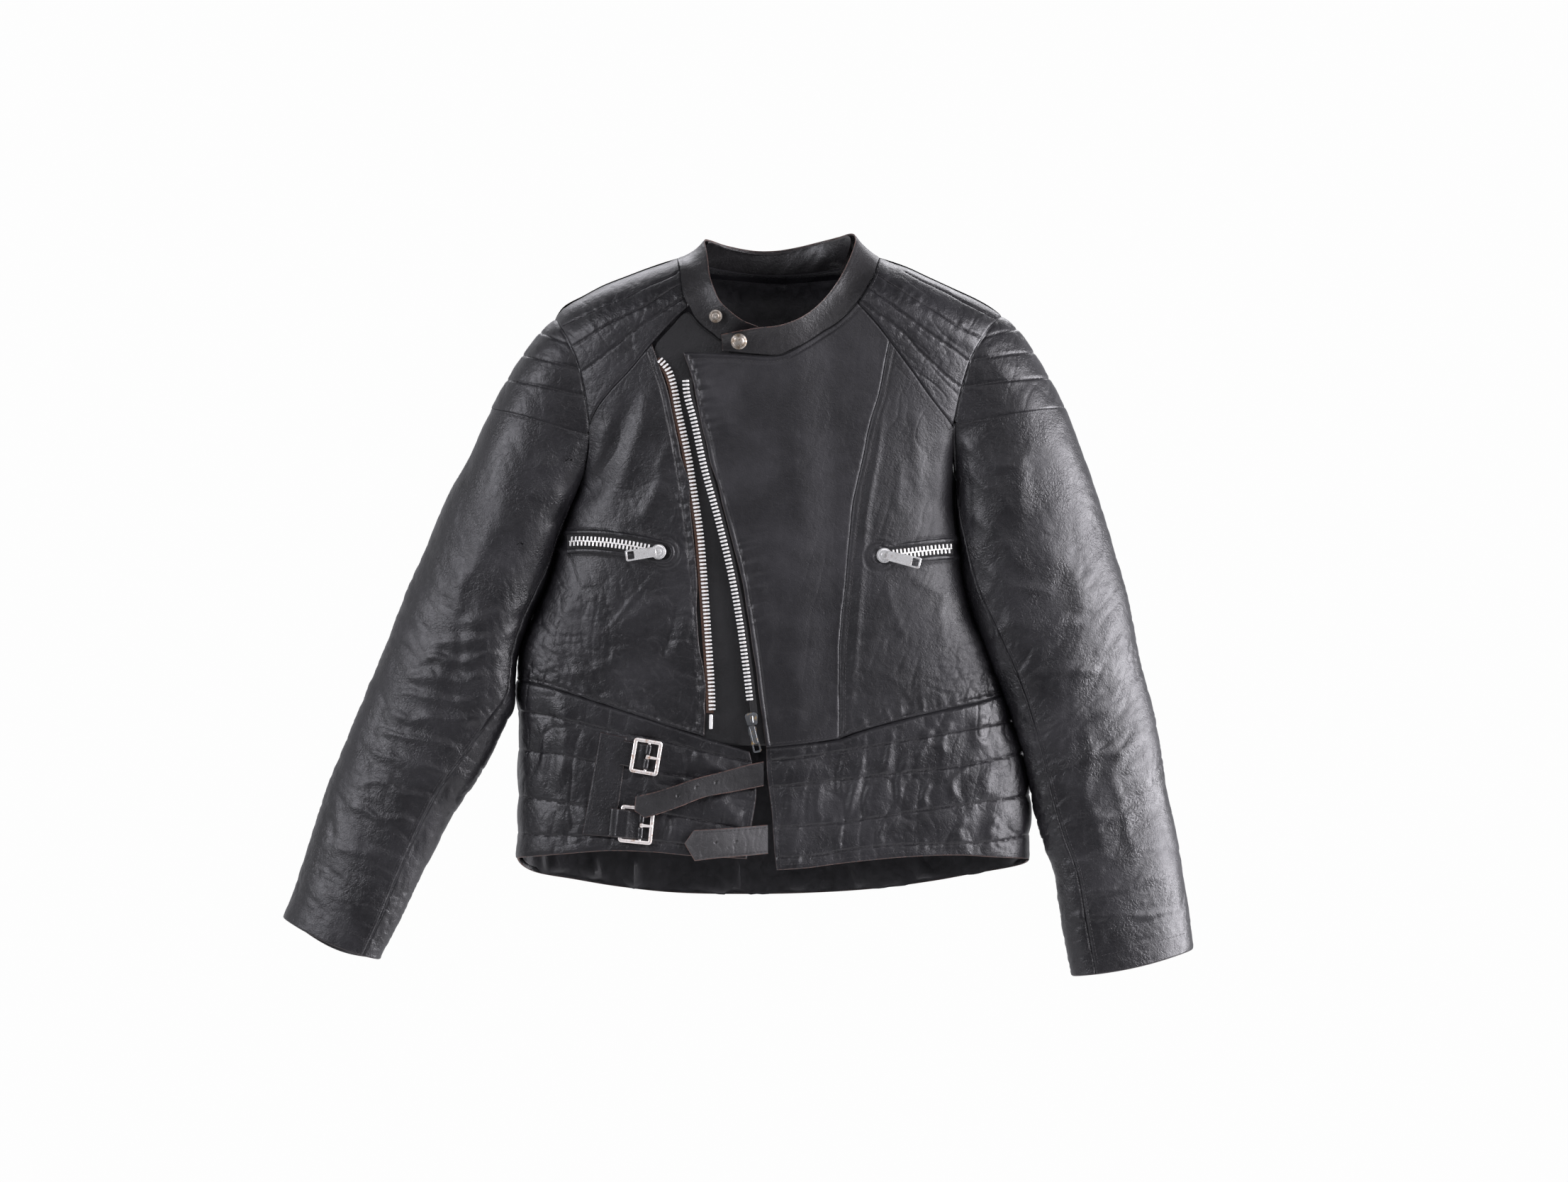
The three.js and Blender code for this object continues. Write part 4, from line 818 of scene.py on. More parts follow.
def folds(x, z, rows):
    """A sum of drawn folds: each row is its points, half width, height (down when negative) and bite.

    Bite 0 is an even rounded fold; 1 is a sharp crease, high on one side and low on the other.
    """
    total = np.zeros(x.shape)
    for points, width, height, bite in rows:
        line = Line(points, fine=6)
        q = line.at(np.linspace(0, 1, 25))
        d, share = spread(x, z, line, width * 3)
        fade = smooth(0, 0.22, share) * smooth(1, 0.78, share)
        near = d < width * 3
        if not near.any():
            continue
        k = np.clip((share * 24).astype(int), 0, 23)
        t = q[k + 1] - q[k]
        side = np.sign(t[..., 0] * (z - q[k, 1]) - t[..., 1] * (x - q[k, 0]))
        r = d / width
        rounded = np.exp(-(r**2))
        bitten = side * r * np.exp(-(r**2)) * 1.8
        total = total + np.where(near, height * fade * mix(rounded, bitten, bite), 0)
    return total


def puckers(x, z, line, reach, height, seed, pitch=5.0, start=0.0, stop=1.0):
    """Small ripples that run out at right angles from a seam."""
    d, share = spread(x, z, line, reach * 2.2)
    along = share * line.length
    wave = noise(along / pitch, d / 26, seed) + 0.5 * noise(along / pitch * 2.1, d / 18, seed + 2)
    mask = smooth(start - 0.04, start + 0.04, share) * smooth(stop + 0.04, stop - 0.04, share)
    return height * wave * np.exp(-((d / reach) ** 1.5)) * smooth(0.3, 2.4, d) * mask


def groove(x, z, line, depth=0.8, width=1.1):
    d, _ = spread(x, z, line, width * 4)
    return -depth * np.exp(-((d / width) ** 2))


# ------------------------------------------------------------------ relief of each leather piece
def broad(x, z, seed, height=1.0, size=70):
    """The slow swell of a hide that has taken the shape of a body."""
    return height * rolling(x, z, size=size, seed=seed, octaves=3)


RIGHT_FRONT_FOLDS = [
    ([(-145, -118), (-160, -170), (-178, -208), (-206, -240)], 10, -3.2, 0.35),
    ([(-110, -195), (-121, -222), (-138, -256)], 8, 2.4, 0.25),
    ([(-101, -155), (-109, -180), (-122, -206)], 6, 1.6, 0.3),
    ([(-128, -110), (-133, -150), (-150, -200), (-168, -235)], 9, 1.8, 0.1),
    ([(-168, -150), (-176, -180), (-190, -206)], 6, 1.6, 0.2),
    ([(-100, -276), (-92, -260), (-85, -243)], 2.6, 0.9, 0.6),
    ([(-104, -262), (-98, -245), (-94, -222)], 3.0, 0.8, 0.6),
    ([(-108, -322), (-132, -338), (-162, -356)], 8, 2.0, 0.3),
    ([(-84, -328), (-92, -360), (-106, -392)], 7, 1.9, 0.2),
    ([(-99, -326), (-107, -360), (-119, -396)], 4.5, -1.8, 0.4),
    ([(-118, -298), (-142, -326), (-172, -362)], 2.6, 0.9, 0.5),
    ([(-163, -372), (-164, -396)], 2.4, 0.8, 0.6),
    ([(-185, -300), (-205, -330), (-228, -365)], 7, 1.3, 0.2),
    ([(-150, -380), (-185, -398), (-225, -402)], 6, 1.3, 0.2),
    ([(-120, -410), (-150, -420), (-180, -424)], 4, 0.9, 0.4),
    ([(-90, -405), (-96, -430), (-92, -452)], 3.5, 0.9, 0.5),
    ([(-210, -385), (-232, -398), (-250, -402)], 4, 0.9, 0.3),
]
LEFT_SIDE_FOLDS = [
    (
        [(106, -122), (98, -186), (88, -240), (83.5, -290), (79, -350), (75, -400), (70, -458)], 3.6, 1.7,
        0.0,
    ),
    ([(121, -186), (118, -214), (117, -246)], 5, 1.0, 0.3),
    ([(140, -402), (168, -408), (204, -402)], 2.4, 0.8, 0.6),
    ([(146, -412), (176, -420), (212, -412)], 2.4, 0.8, 0.6),
    ([(150, -392), (178, -396), (208, -390)], 2.2, 0.7, 0.6),
    ([(74, -456), (108, -436), (150, -421), (200, -410)], 3.4, 1.2, 0.4),
    ([(168, -160), (160, -200), (158, -246)], 8, 1.6, 0.1),
    ([(140, -135), (136, -180), (142, -235)], 7, 1.2, 0.1),
    ([(120, -300), (150, -318), (176, -330)], 6, 1.1, 0.2),
    ([(104, -300), (112, -336), (128, -372)], 5, 1.0, 0.2),
    ([(172, -300), (160, -345), (165, -385)], 6, 1.2, 0.2),
    ([(98, -400), (120, -412), (132, -432)], 3.5, 0.8, 0.4),
]
FLAP_FOLDS = [
    ([(-78, -112), (-66, -126), (-58, -146)], 6, 1.1, 0.2),
    ([(-40, -96), (-52, -130), (-50, -170)], 9, 0.9, 0.1),
    ([(-30, -300), (-14, -330), (-8, -372)], 9, 0.8, 0.1),
    ([(-12, -452), (6, -440), (30, -446)], 6, 0.7, 0.2),
    ([(52, -440), (40, -452), (20, -462)], 5, 0.7, 0.2),
]
WAIST_L_FOLDS = [
    ([(66, -480), (60, -504), (63, -526)], 4, 1.3, 0.5),
    ([(84, -476), (78, -500), (66, -544)], 5, 1.5, 0.5),
    ([(112, -452), (108, -480), (104, -500)], 4, 1.3, 0.4),
    ([(128, -478), (118, -506), (120, -532)], 5, 1.5, 0.4),
    ([(150, -452), (142, -472), (134, -486)], 5, 1.5, 0.4),
    ([(172, -446), (160, -468), (164, -486)], 5, 1.5, 0.3),
    ([(204, -440), (196, -458), (200, -478)], 7, 1.7, 0.2),
    ([(190, -490), (170, -508), (176, -530)], 5, 1.6, 0.3),
    ([(214, -488), (204, -506), (208, -528)], 7, 1.7, 0.2),
    ([(92, -506), (84, -528), (90, -546)], 4, 1.2, 0.5),
    ([(150, -506), (142, -524), (150, -536)], 4, 1.3, 0.4),
    ([(186, -540), (176, -556), (182, -572)], 5, 1.4, 0.3),
    ([(216, -540), (206, -554), (214, -568)], 6, 1.4, 0.2),
    ([(42, -500), (38, -530), (44, -556)], 4, 0.8, 0.4),
    ([(64, -546), (58, -560), (62, -580)], 4, 1.2, 0.4),
    ([(104, -545), (98, -560), (104, -574)], 4, 1.1, 0.4),
    ([(14, -482), (10, -510), (14, -548)], 5, 0.8, 0.2),
]
BACK_WAIST_FOLDS = [
    ([(-190, -430), (-184, -480), (-190, -540)], 7, 1.2, 0.2),
    ([(-120, -440), (-126, -490), (-118, -560)], 6, 1.0, 0.3),
    ([(-60, -450), (-54, -500), (-60, -560)], 5, 0.8, 0.3),
    ([(30, -440), (36, -500), (30, -570)], 6, 0.9, 0.2),
    ([(96, -446), (88, -500), (94, -560)], 5, 1.0, 0.3),
    ([(160, -440), (168, -490), (160, -550)], 7, 1.2, 0.2),
    ([(214, -436), (208, -480), (214, -540)], 6, 1.1, 0.2),
]
WAIST_R_FOLDS = [
    ([(-214, -420), (-210, -460), (-216, -520)], 9, 1.6, 0.0),
    ([(-98, -470), (-94, -492), (-100, -512)], 4, 1.1, 0.3),
    ([(-60, -520), (-50, -536), (-36, -548)], 7, 1.6, 0.1),
    ([(-84, -476), (-70, -490), (-50, -498)], 6, 1.4, 0.2),
    ([(-236, -440), (-230, -480), (-236, -520)], 6, 1.2, 0.1),
    ([(-106, -540), (-104, -554), (-108, -568)], 2.5, 0.9, 0.7),
]

yoke_r, yoke_l = [Line(p) for p in YOKE_QUILT_R], [Line(p) for p in YOKE_QUILT_L]
waist_r, waist_l = [Line(p) for p in WAIST_QUILT_R], [Line(p) for p in WAIST_QUILT_L]
back_yoke_lines, back_waist_lines = [Line(p) for p in BACK_YOKE_QUILT], [Line(p) for p in BACK_WAIST_QUILT]
front_edge, flap_edge, flap_top = Line(FRONT_EDGE_R), Line(FLAP_EDGE), Line(FLAP_TOP)
princess, pocket_r, pocket_l = Line(PRINCESS), Line(POCKET_R), Line(POCKET_L)
waist_seam_r, waist_seam_l = Line(WAIST_R), Line(WAIST_L)


def pocket_relief(x, z, line, mouth):
    """The slit of a zip pocket: a dip for the zip, raised lips, and rings of wrinkles round its mouth."""
    d, _ = spread(x, z, line, 60)
    lips = 1.5 * np.exp(-(((d - 9.5) / 3.2) ** 2)) - np.exp(-((d / 6.5) ** 4))
    r = np.hypot(x - mouth[0], z - mouth[1])
    rings = 0.5 * np.cos(r * 1.05) * np.exp(-(((r - 13) / 7) ** 2))
    return lips + rings


def right_front_relief(p, uu, vv):
    x, z = p[..., 0], p[..., 2]
    h = broad(x, z, seed=11, height=1.0, size=85) + 0.8 * folds(x, z, RIGHT_FRONT_FOLDS)
    h = h + 0.8 * creases(x, z, turn=-62, size=17, stretch=3.2, seed=21) * smooth(-130, -250, z)
    h = h + 0.85 * crumple(x, z, size=9, seed=27, turn=-50) * smooth(-285, -340, z)
    h = h + 0.35 * crumple(x, z, size=14, seed=127, turn=-58)
    h = h + 0.7 * creases(x, z, turn=-35, size=13, stretch=3.0, seed=25) * smooth(-300, -380, z)
    h = h + puckers(x, z, front_edge, reach=9, height=1.3, seed=31, pitch=4.6, start=0.05, stop=0.75)
    h = h + groove(x, z, front_edge.shifted(6.0), depth=1.2)
    h = h + puckers(x, z, waist_seam_r, reach=12, height=1.2, seed=33, pitch=5.0)
    h = h + pocket_relief(x, z, pocket_r, mouth=(-110, -282))
    return h + groove(x, z, waist_seam_r.shifted(4.0), depth=0.9)


def left_side_relief(p, uu, vv):
    x, z = p[..., 0], p[..., 2]
    h = broad(x, z, seed=12, height=0.9, size=85) + 0.75 * folds(x, z, LEFT_SIDE_FOLDS)
    h = h + 0.45 * creases(x, z, turn=70, size=15, stretch=3.2, seed=22)
    h = h + 0.7 * creases(x, z, turn=20, size=12, stretch=3.0, seed=26) * smooth(-300, -400, z)
    h = h + 0.9 * crumple(x, z, size=8, seed=28, turn=20) * smooth(-330, -400, z)
    h = h + 0.3 * crumple(x, z, size=14, seed=128, turn=60)
    h = h + puckers(x, z, waist_seam_l, reach=13, height=1.5, seed=34, pitch=4.6)
    h = h + pocket_relief(x, z, pocket_l, mouth=(100, -286))
    h = h + groove(x, z, princess.shifted(-6.5), depth=0.55)
    return h + groove(x, z, waist_seam_l.shifted(4.0), depth=1.0)


def flap_relief(p, uu, vv):
    x, z = p[..., 0], p[..., 2]
    h = broad(x, z, seed=13, height=0.75, size=120) + folds(x, z, FLAP_FOLDS)
    h = h + 0.2 * creases(x, z, turn=80, size=22, stretch=3.5, seed=23)
    h = h + puckers(x, z, flap_edge, reach=20, height=1.3, seed=35, pitch=4.4, start=0.3, stop=0.52)
    h = h + puckers(x, z, flap_edge, reach=18, height=1.3, seed=36, pitch=4.2, start=0.8, stop=0.98)
    h = h + puckers(x, z, princess, reach=5, height=0.4, seed=37, pitch=5.0)
    h = h + groove(x, z, flap_edge.shifted(-5.0), depth=1.1)
    return h + groove(x, z, flap_top.shifted(-5.5), depth=1.1)


def yoke_relief(lines, seed):
    def relief(p, uu, vv):
        x, z = p[..., 0], p[..., 2]
        h = quilted(x, z, lines, puff=0.4, seed=seed) + broad(x, z, seed=seed, height=0.5, size=45)
        h = h + 0.55 * creases(x, z, turn=60, size=19, stretch=2.2, seed=seed, sharp=8)
        h = h + 0.65 * creases(x, z, turn=-42, size=23, stretch=2.6, seed=seed + 4, sharp=8)
        h = h + 0.25 * crumple(x, z, size=9, seed=seed + 6, turn=60)
        return h * smooth(0, 9, interp(RIDGE, x) - z)

    return relief


def waist_relief(lines, rows, seed):
    def relief(p, uu, vv):
        x, z = p[..., 0], p[..., 2]
        h = quilted(x, z, lines, puff=0.9, seed=seed) + 1.5 * folds(x, z, rows)
        h = h + broad(x, z, seed=seed, height=1.0, size=60)
        h = h + 1.2 * creases(x, z, turn=82, size=19, stretch=2.4, seed=seed, sharp=6)
        h = h + 0.3 * crumple(x, z, size=10, seed=seed + 5, turn=75)
        return h + noise((x - 0.18 * z) / 15, z / 46, seed + 8)

    return relief


def under_relief(p, uu, vv):
    x, z = p[..., 0], p[..., 2]
    h = broad(x, z, seed=17, height=0.35, size=90)
    return h + 0.2 * creases(x, z, turn=85, size=24, stretch=3, seed=19)


def back_relief(p, uu, vv):
    x, z = p[..., 0], p[..., 2]
    h = broad(x, z, seed=18, height=1.8, size=110)
    h = h + 0.5 * creases(x, z, turn=25, size=19, stretch=3.5, seed=41) * smooth(-250, -400, z)
    h = h + 0.4 * creases(x, z, turn=75, size=26, stretch=3.5, seed=43)
    seam = Line([(-3, -142), (-3, -424)], plain=True)
    sway = [
        ([(-150, -390), (-60, -372), (10, -392)], 9, 2.0, 0.1),
        ([(150, -384), (70, -366), (0, -350)], 9, 1.7, 0.1),
        ([(-170, -170), (-120, -230), (-100, -310)], 12, 1.8, 0.1),
        ([(160, -170), (115, -235), (96, -320)], 12, 1.8, 0.1),
        ([(-130, -410), (-20, -404), (120, -408)], 5, 1.2, 0.3),
    ]
    h = h + folds(x, z, sway)
    return h + groove(x, z, seam, depth=1.4, width=1.4)


# ------------------------------------------------------------------ panels of the body
def sides(top=SEAM, bottom=SEAM, left=SEAM, right=SEAM):
    return {"top": top, "bottom": bottom, "left": left, "right": right}


def body_panels():
    e = edge
    panel(
        "right_yoke_leather", FRONT, e(RIDGE_R), e(YOKE_R).flipped(), e(ARM_R).flipped(),
        e(NECK_R).flipped(), sides(top=PLAIN), thickness=2.6, relief=yoke_relief(yoke_r, seed=51),
        step=1.35, body="shell", slot="quilted_leather", finish=QUILTED,
        replaces=["right_shoulder_yoke"],
    )
    panel(
        "left_yoke_leather", FRONT, e(RIDGE_L), e(YOKE_L), e(NECK_L).flipped(), e(ARM_L).flipped(),
        sides(top=PLAIN), thickness=2.6, relief=yoke_relief(yoke_l, seed=52), step=1.35, body="shell",
        slot="quilted_leather", finish=QUILTED, replaces=["left_shoulder_yoke"],
    )
    side_l = joined(e(ARM_R2), side_edge(RIGHT_SIDE, -224, -408)).flipped()
    panel(
        "right_front_leather", FRONT, e(YOKE_RF).flipped(), e(WAIST_R), side_l, e(FRONT_EDGE_R),
        sides(left=JOIN, right=FREE), thickness=1.4, relief=right_front_relief, step=1.6, body="shell",
        slot="leather", finish=BLACK, replaces=["right_front_panel"],
    )
    side_r = joined(e(ARM_L2), side_edge(LEFT_SIDE, -216, -422)).flipped()
    yoke_part = e([(110.5, -73.5)] + YOKE_L[2:])
    waist_part = e(WAIST_L[2:])
    panel(
        "left_side_leather", FRONT, yoke_part, waist_part, e(PRINCESS), side_r, sides(right=JOIN),
        thickness=1.4, relief=left_side_relief, step=1.6, over=lift, body="shell", slot="leather",
        finish=DULL, replaces=["left_side_front_panel"], blend="left_front",
    )
    flap_waist = e(WAIST_L[:3])
    flap_head = joined(e(FLAP_TOP), e([(78.5, -36), (94, -53), (110.5, -73.5)]))
    panel(
        "left_flap_leather", FRONT, flap_head, flap_waist, e(FLAP_EDGE), e(PRINCESS), sides(left=FREE),
        thickness=1.4, relief=flap_relief, over=lift, body="left_front", slot="leather", finish=SMOOTH,
        replaces=["left_front_flap"], blend="left_front",
    )
    panel(
        "right_waist_leather", FRONT, e(WAIST_R2), e(HEM_R), side_edge(RIGHT_SIDE, -585, -408),
        e(BAND_EDGE_R), sides(SEAM, CUT, JOIN, FREE), thickness=2.4,
        relief=waist_relief(waist_r, WAIST_R_FOLDS, seed=53), step=1.35, body="shell",
        slot="quilted_leather", finish=QUILTED, replaces=["right_front_waist_panel"],
    )
    panel(
        "left_waist_leather", FRONT, e(WAIST_L), e(HEM_L), e(BAND_EDGE_L),
        side_edge(LEFT_SIDE, -586, -422), sides(SEAM, CUT, FREE, JOIN), thickness=2.4,
        relief=waist_relief(waist_l, WAIST_L_FOLDS, seed=54), step=1.35, over=lift, body="left_front",
        slot="quilted_leather", finish=QUILTED,
        replaces=["left_front_waist_panel", "left_side_waist_panel"], blend="left_front",
    )
    panel(
        "right_underlap_leather", FRONT, e(UNDER_TOP), e([(-80, -470), (-30, -472), (18, -472)]),
        e(UNDER_L), e(UNDER_R), sides(), thickness=1.2, relief=under_relief, base=-4.2, step=3.0,
        body="shell", slot="facing_leather", finish=FACING, replaces=["right_underlap"],
    )
    head = joined(e(RIDGE_R), e(NECK_B), e(RIDGE_L))
    arm_r = e(ARM_R[:3] + [(-189.5, -133)]).flipped()
    arm_l = e(ARM_L[:3] + [(178.5, -133)]).flipped()
    panel(
        "back_yoke_leather", BACK, head, e(BACK_YOKE), arm_r, arm_l, sides(top=PLAIN), thickness=2.6,
        relief=yoke_relief(back_yoke_lines, seed=55), step=1.7, body="shell", slot="quilted_leather",
        finish=QUILTED, replaces=["back_yoke"],
    )
    low_r = joined(
        e([(-189.5, -133), (-186, -165), (-191, -198), (-202.2, -224)]), side_edge(RIGHT_SIDE, -224, -408)
    ).flipped()
    low_l = joined(
        e([(178.5, -133), (172.5, -165), (173, -195), (177.5, -216)]), side_edge(LEFT_SIDE, -216, -422),
    ).flipped()
    panel(
        "back_leather", BACK, e(BACK_YOKE), e(BACK_WAIST), low_r, low_l, sides(left=JOIN, right=JOIN),
        thickness=1.4, relief=back_relief, step=2.8, body="shell", slot="leather", finish=BLACK,
        replaces=["back_panel"],
    )
    panel(
        "back_waist_leather", BACK, e(BACK_WAIST), e(BACK_HEM), side_edge(RIGHT_SIDE, -585, -408),
        side_edge(LEFT_SIDE, -588, -422), sides(SEAM, CUT, JOIN, JOIN), thickness=2.4,
        relief=waist_relief(back_waist_lines, BACK_WAIST_FOLDS, seed=56), step=1.7, body="shell",
        slot="quilted_leather", finish=QUILTED, replaces=["back_waist_panel"],
    )


# ------------------------------------------------------------------ linings and pocket bags
def satin_relief(turn, seed, height=1.0):
    def relief(p, uu, vv):
        x, z = p[..., 0], p[..., 2]
        soft = 1.2 * rolling(x, z * 0.35, size=26, seed=seed, octaves=3)
        h = height * (soft + 1.4 * creases(x, z, turn=turn, size=16, stretch=3.5, seed=seed))
        gathers = noise(x / 8, z / 70, seed)
        gathers = gathers - 1.2 * np.abs(noise(x / 13 + z / 40, z / 50, seed + 2))
        return h + 2.0 * gathers * smooth(-560, -602, z)

    return relief


def lining(
    name, side, edges, base, relief, replaces, slot="lining", finish=SATIN, body="shell", blend=None,
    over=None,
):
    piece = panel(
        name, side, *edges, sides(PLAIN, PLAIN, PLAIN, PLAIN), 0.5, relief, step=4.0, base=base,
        over=over, body=body, slot=slot, finish=finish, replaces=replaces, blend=blend,
    )


def linings():
    e = edge
    top = [
        (-196, -60), (-150, -24), (-100, -3), (-50, -7), (7, -11), (60, -6), (100, -3), (150, -24),
        (196, -60),
    ]
    edge_points = Line(BACK_HEM).at(np.linspace(0, 1, 64))
    hem = [(x, z - 0.5 + 2.6 * noise(x / 9, 0 * x, 5)) for x, z in edge_points]
    left = joined(
        e([(-196, -60), (-186, -100), (-182, -165), (-188, -205), (-198, -230)]),
        side_edge(RIGHT_SIDE, -230, -582),
    )
    right = joined(
        e([(196, -60), (178, -110), (168, -165), (170, -205), (176, -226)]),
        side_edge(LEFT_SIDE, -226, -585),
    )
    lining(
        "back_satin", BACK, (e(top), e(hem), left.flipped(), right.flipped()), base=-5.5,
        relief=satin_relief(turn=80, seed=61, height=1.1), replaces=["back_lining"],
    )
    left = joined(
        e([(-180, -150), (-182, -190), (-199, -232)]), side_edge(RIGHT_SIDE, -232, -578),
    ).flipped()
    right = e([
        (-34, -577), (-40, -480), (-95, -405), (-100, -290), (-112, -205), (-121, -150), (-124, -84),
    ])
    lining(
        "right_front_satin", FRONT,
        (
            e([(-180, -150), (-150, -112), (-124, -84)]),
            e([(-264, -578), (-209, -573), (-118, -571), (-34, -577)]), left, right,
        ),
        base=-10.5, relief=satin_relief(turn=80, seed=62), replaces=["right_front_lining"],
    )
    right = joined(e([(166, -156), (168, -190), (176, -224)]), side_edge(LEFT_SIDE, -224, -578)).flipped()
    lining(
        "left_front_satin", FRONT,
        (e([(40, -76), (100, -70), (166, -156)]), e([
            (40, -582), (127, -575), (176.5, -574), (252, -578),
        ]),
         e([(40, -582), (36, -300), (40, -76)]), right),
        base=-8.0, relief=satin_relief(turn=80, seed=63), replaces=["left_front_lining"],
        blend="left_front", over=lift,
    )
    panel(
        "left_front_facing_leather", FRONT,
        e([(-86, -92), (-45, -94), (2.3, -94), (30, -80), (56, -63)]),
        e([(-2, -470), (21, -467), (54, -462)]),
        e([(-2, -470), (-12, -405), (-26, -300), (-50, -200), (-68, -140), (-86, -92)]),
        e([(54, -462), (54, -250), (56, -63)]), sides(PLAIN, PLAIN, FREE, FREE), thickness=0.9,
        relief=under_relief, step=4.0, base=-3.4, over=lift, body="left_front", slot="facing_leather",
        finish=FACING, replaces=["left_front_facing"], blend="left_front",
    )
    bags = (
        ("right_pocket_cotton", [-204, -112], [-292, -396], -6.2, "right_pocket_bag"),
        ("left_pocket_cotton", [92, 160], [-294, -390], -4.6, "left_pocket_bag"),
    )
    for name, (x0, x1), (z0, z1), base, node in bags:
        xm = (x0 + x1) / 2
        edges = (
            e([(x0, z0), (xm, z0), (x1, z0)]), e([(x0, z1), (xm, z1 - 4), (x1, z1)]),
            e([(x0, z1), (x0, (z0 + z1) / 2), (x0, z0)]), e([(x1, z1), (x1, (z0 + z1) / 2), (x1, z0)]),
        )
        lining(
            name, FRONT, edges, base=base, relief=None, replaces=[node], slot="pocketing",
            finish=COTTON,
        )


# ------------------------------------------------------------------ sleeves
OUTER_R = [
    (-221, -50), (-234, -61), (-247, -76), (-261, -97), (-274, -119), (-291, -152), (-306, -186),
    (-325, -220), (-347, -268), (-367, -312), (-388, -364), (-410, -421), (-428, -467), (-445, -510),
    (-463, -563), (-477, -606), (-492, -644),
]
OUTER_L = [
    (223, -47), (231.5, -53), (246, -68), (263, -95), (279, -124), (292.5, -154), (308, -197),
    (327, -252), (348.5, -320), (361.5, -387), (377, -447), (386.5, -504), (396, -560), (406.5, -624),
    (413, -676),
]
INNER_R = [
    (-201.5, -224), (-206, -240), (-215.5, -272), (-224.5, -305), (-237, -332), (-245, -350),
    (-256, -382), (-258.5, -410), (-259.5, -436), (-270, -458), (-287, -490), (-310, -526),
    (-333, -566), (-355, -610), (-378, -657), (-393, -685),
]
INNER_L = [
    (176, -216), (175, -240), (177, -270), (180, -300), (187, -335), (197.5, -362), (209.5, -390),
    (222, -420), (232, -450), (240, -480), (247, -512), (252.5, -539), (262, -571), (276, -609),
    (283, -654), (291.5, -701),
]
BULGE_FRONT = [(0, 56), (0.2, 54), (0.45, 46), (0.7, 40), (1, 36)]
BULGE_BACK = [(0, 48), (0.2, 46), (0.45, 38), (0.7, 32), (1, 30)]
SLEEVE_Y = [(0, -10), (0.3, -14), (1, -20)]
SLEEVE_LENGTH = 650
SLEEVE_TILT = 13
CAP_END, CAP_SHARE = 0.167, 0.66
CAP_LINES = [(0.030, 0.16), (0.074, 0.30), (0.118, 0.45)]
SEAM_SHARE = {
    "right": [(0, 0.93), (0.35, 0.95), (0.55, 0.86), (0.7, 0.81), (1, 0.84)],
    "left": [(0, 0.93), (0.3, 0.89), (0.6, 0.855), (1, 0.815)],
}
BACK_SEAM = -2.30
TUCK, TUCK_DEPTH = 0.010, 3.4


class Sleeve:
    """A sleeve's surface: t runs from armhole to cuff, f round it from the outer edge over the front."""

    def __init__(self, name, sign, outer, inner, armhole, back_drop):
        self.name, self.sign, self.back_drop = name, sign, back_drop
        self.outer, self.inner, self.armhole = Line(outer), Line(inner), Line(armhole)

    def plan(self, t, w):
        """(x, z) in the front view, w across from the outer edge to the inner one."""
        t, w = t[..., None], w[..., None]
        flat = mix(self.outer.at(t[..., 0]), self.inner.at(t[..., 0]), w)
        chord = mix(self.outer.at(0.0), self.inner.at(0.0), w)
        return flat + (self.armhole.at(w[..., 0]) - chord) * np.maximum(0, 1 - t / 0.35) ** 2

    def raw(self, t, f):
        t, f = np.broadcast_arrays(np.asarray(t, float), np.asarray(f, float))
        w = (1 - np.cos(f)) / 2
        xz = self.plan(t, w)
        front = np.sin(f) >= 0
        swell = np.where(front, -interp(BULGE_FRONT, t), interp(BULGE_BACK, t))
        y = interp(SLEEVE_Y, t) + swell * np.abs(np.sin(f)) ** 0.85
        y = y + SLEEVE_TILT * (1 - 2 * w) * smooth(0.1, 0.4, t)
        hole = self.armhole.at(w)
        a = angle_of(hole[..., 0], hole[..., 1])
        y_front = torso_raw(FRONT, a, hole[..., 1])[..., 1]
        y_back = torso_raw(BACK, a, hole[..., 1])[..., 1]
        y = mix(np.where(front, y_front, y_back), y, smooth(0, 0.2, t))
        drop = smooth(0.86, 1.0, t) * np.sin(math.pi * w) * np.where(front, 3.5, self.back_drop)
        return np.stack([xz[..., 0], y, xz[..., 1] - drop], -1)

    def at(self, t, f, off=0.0):
        """The point off mm outside; before t = 0 the sleeve is tucked in under the body's armhole."""
        on = np.maximum(t, 0)
        df = self.raw(on, f + 0.04) - self.raw(on, f - 0.04)
        dt = self.raw(np.minimum(1, on + 0.01), f) - self.raw(np.maximum(0, on - 0.01), f)
        n = unit(np.cross(df, dt)) * self.sign
        tucked = np.minimum(t, 0)
        off = np.asarray(off) - TUCK_DEPTH * smooth(0, -0.4 * TUCK, t)
        return self.raw(on, f) + n * off[..., None] + unit(dt) * (tucked * SLEEVE_LENGTH)[..., None]

    def front_seam(self, t):
        return np.arccos(1 - 2 * interp(SEAM_SHARE[self.name], np.clip(t, 0, 1)))


SLEEVES = {
    "right": Sleeve(
        "right", sign=-1, outer=OUTER_R, inner=INNER_R, armhole=ARM_R + ARM_R2[1:], back_drop=12,
    ),
    "left": Sleeve("left", sign=1, outer=OUTER_L, inner=INNER_L, armhole=ARM_L + ARM_L2[1:], back_drop=1),
}


def cap_line(f, end=CAP_END, share=CAP_SHARE):
    w = (1 - np.cos(f)) / 2
    return end * np.maximum(0, 1 - w / share) ** 0.85


def seam_dip(t):
    """The valley of the armhole seam."""
    return 1.3 * np.clip(1 - np.abs(t) * SLEEVE_LENGTH / 3.2, 0, 1) ** 2.2


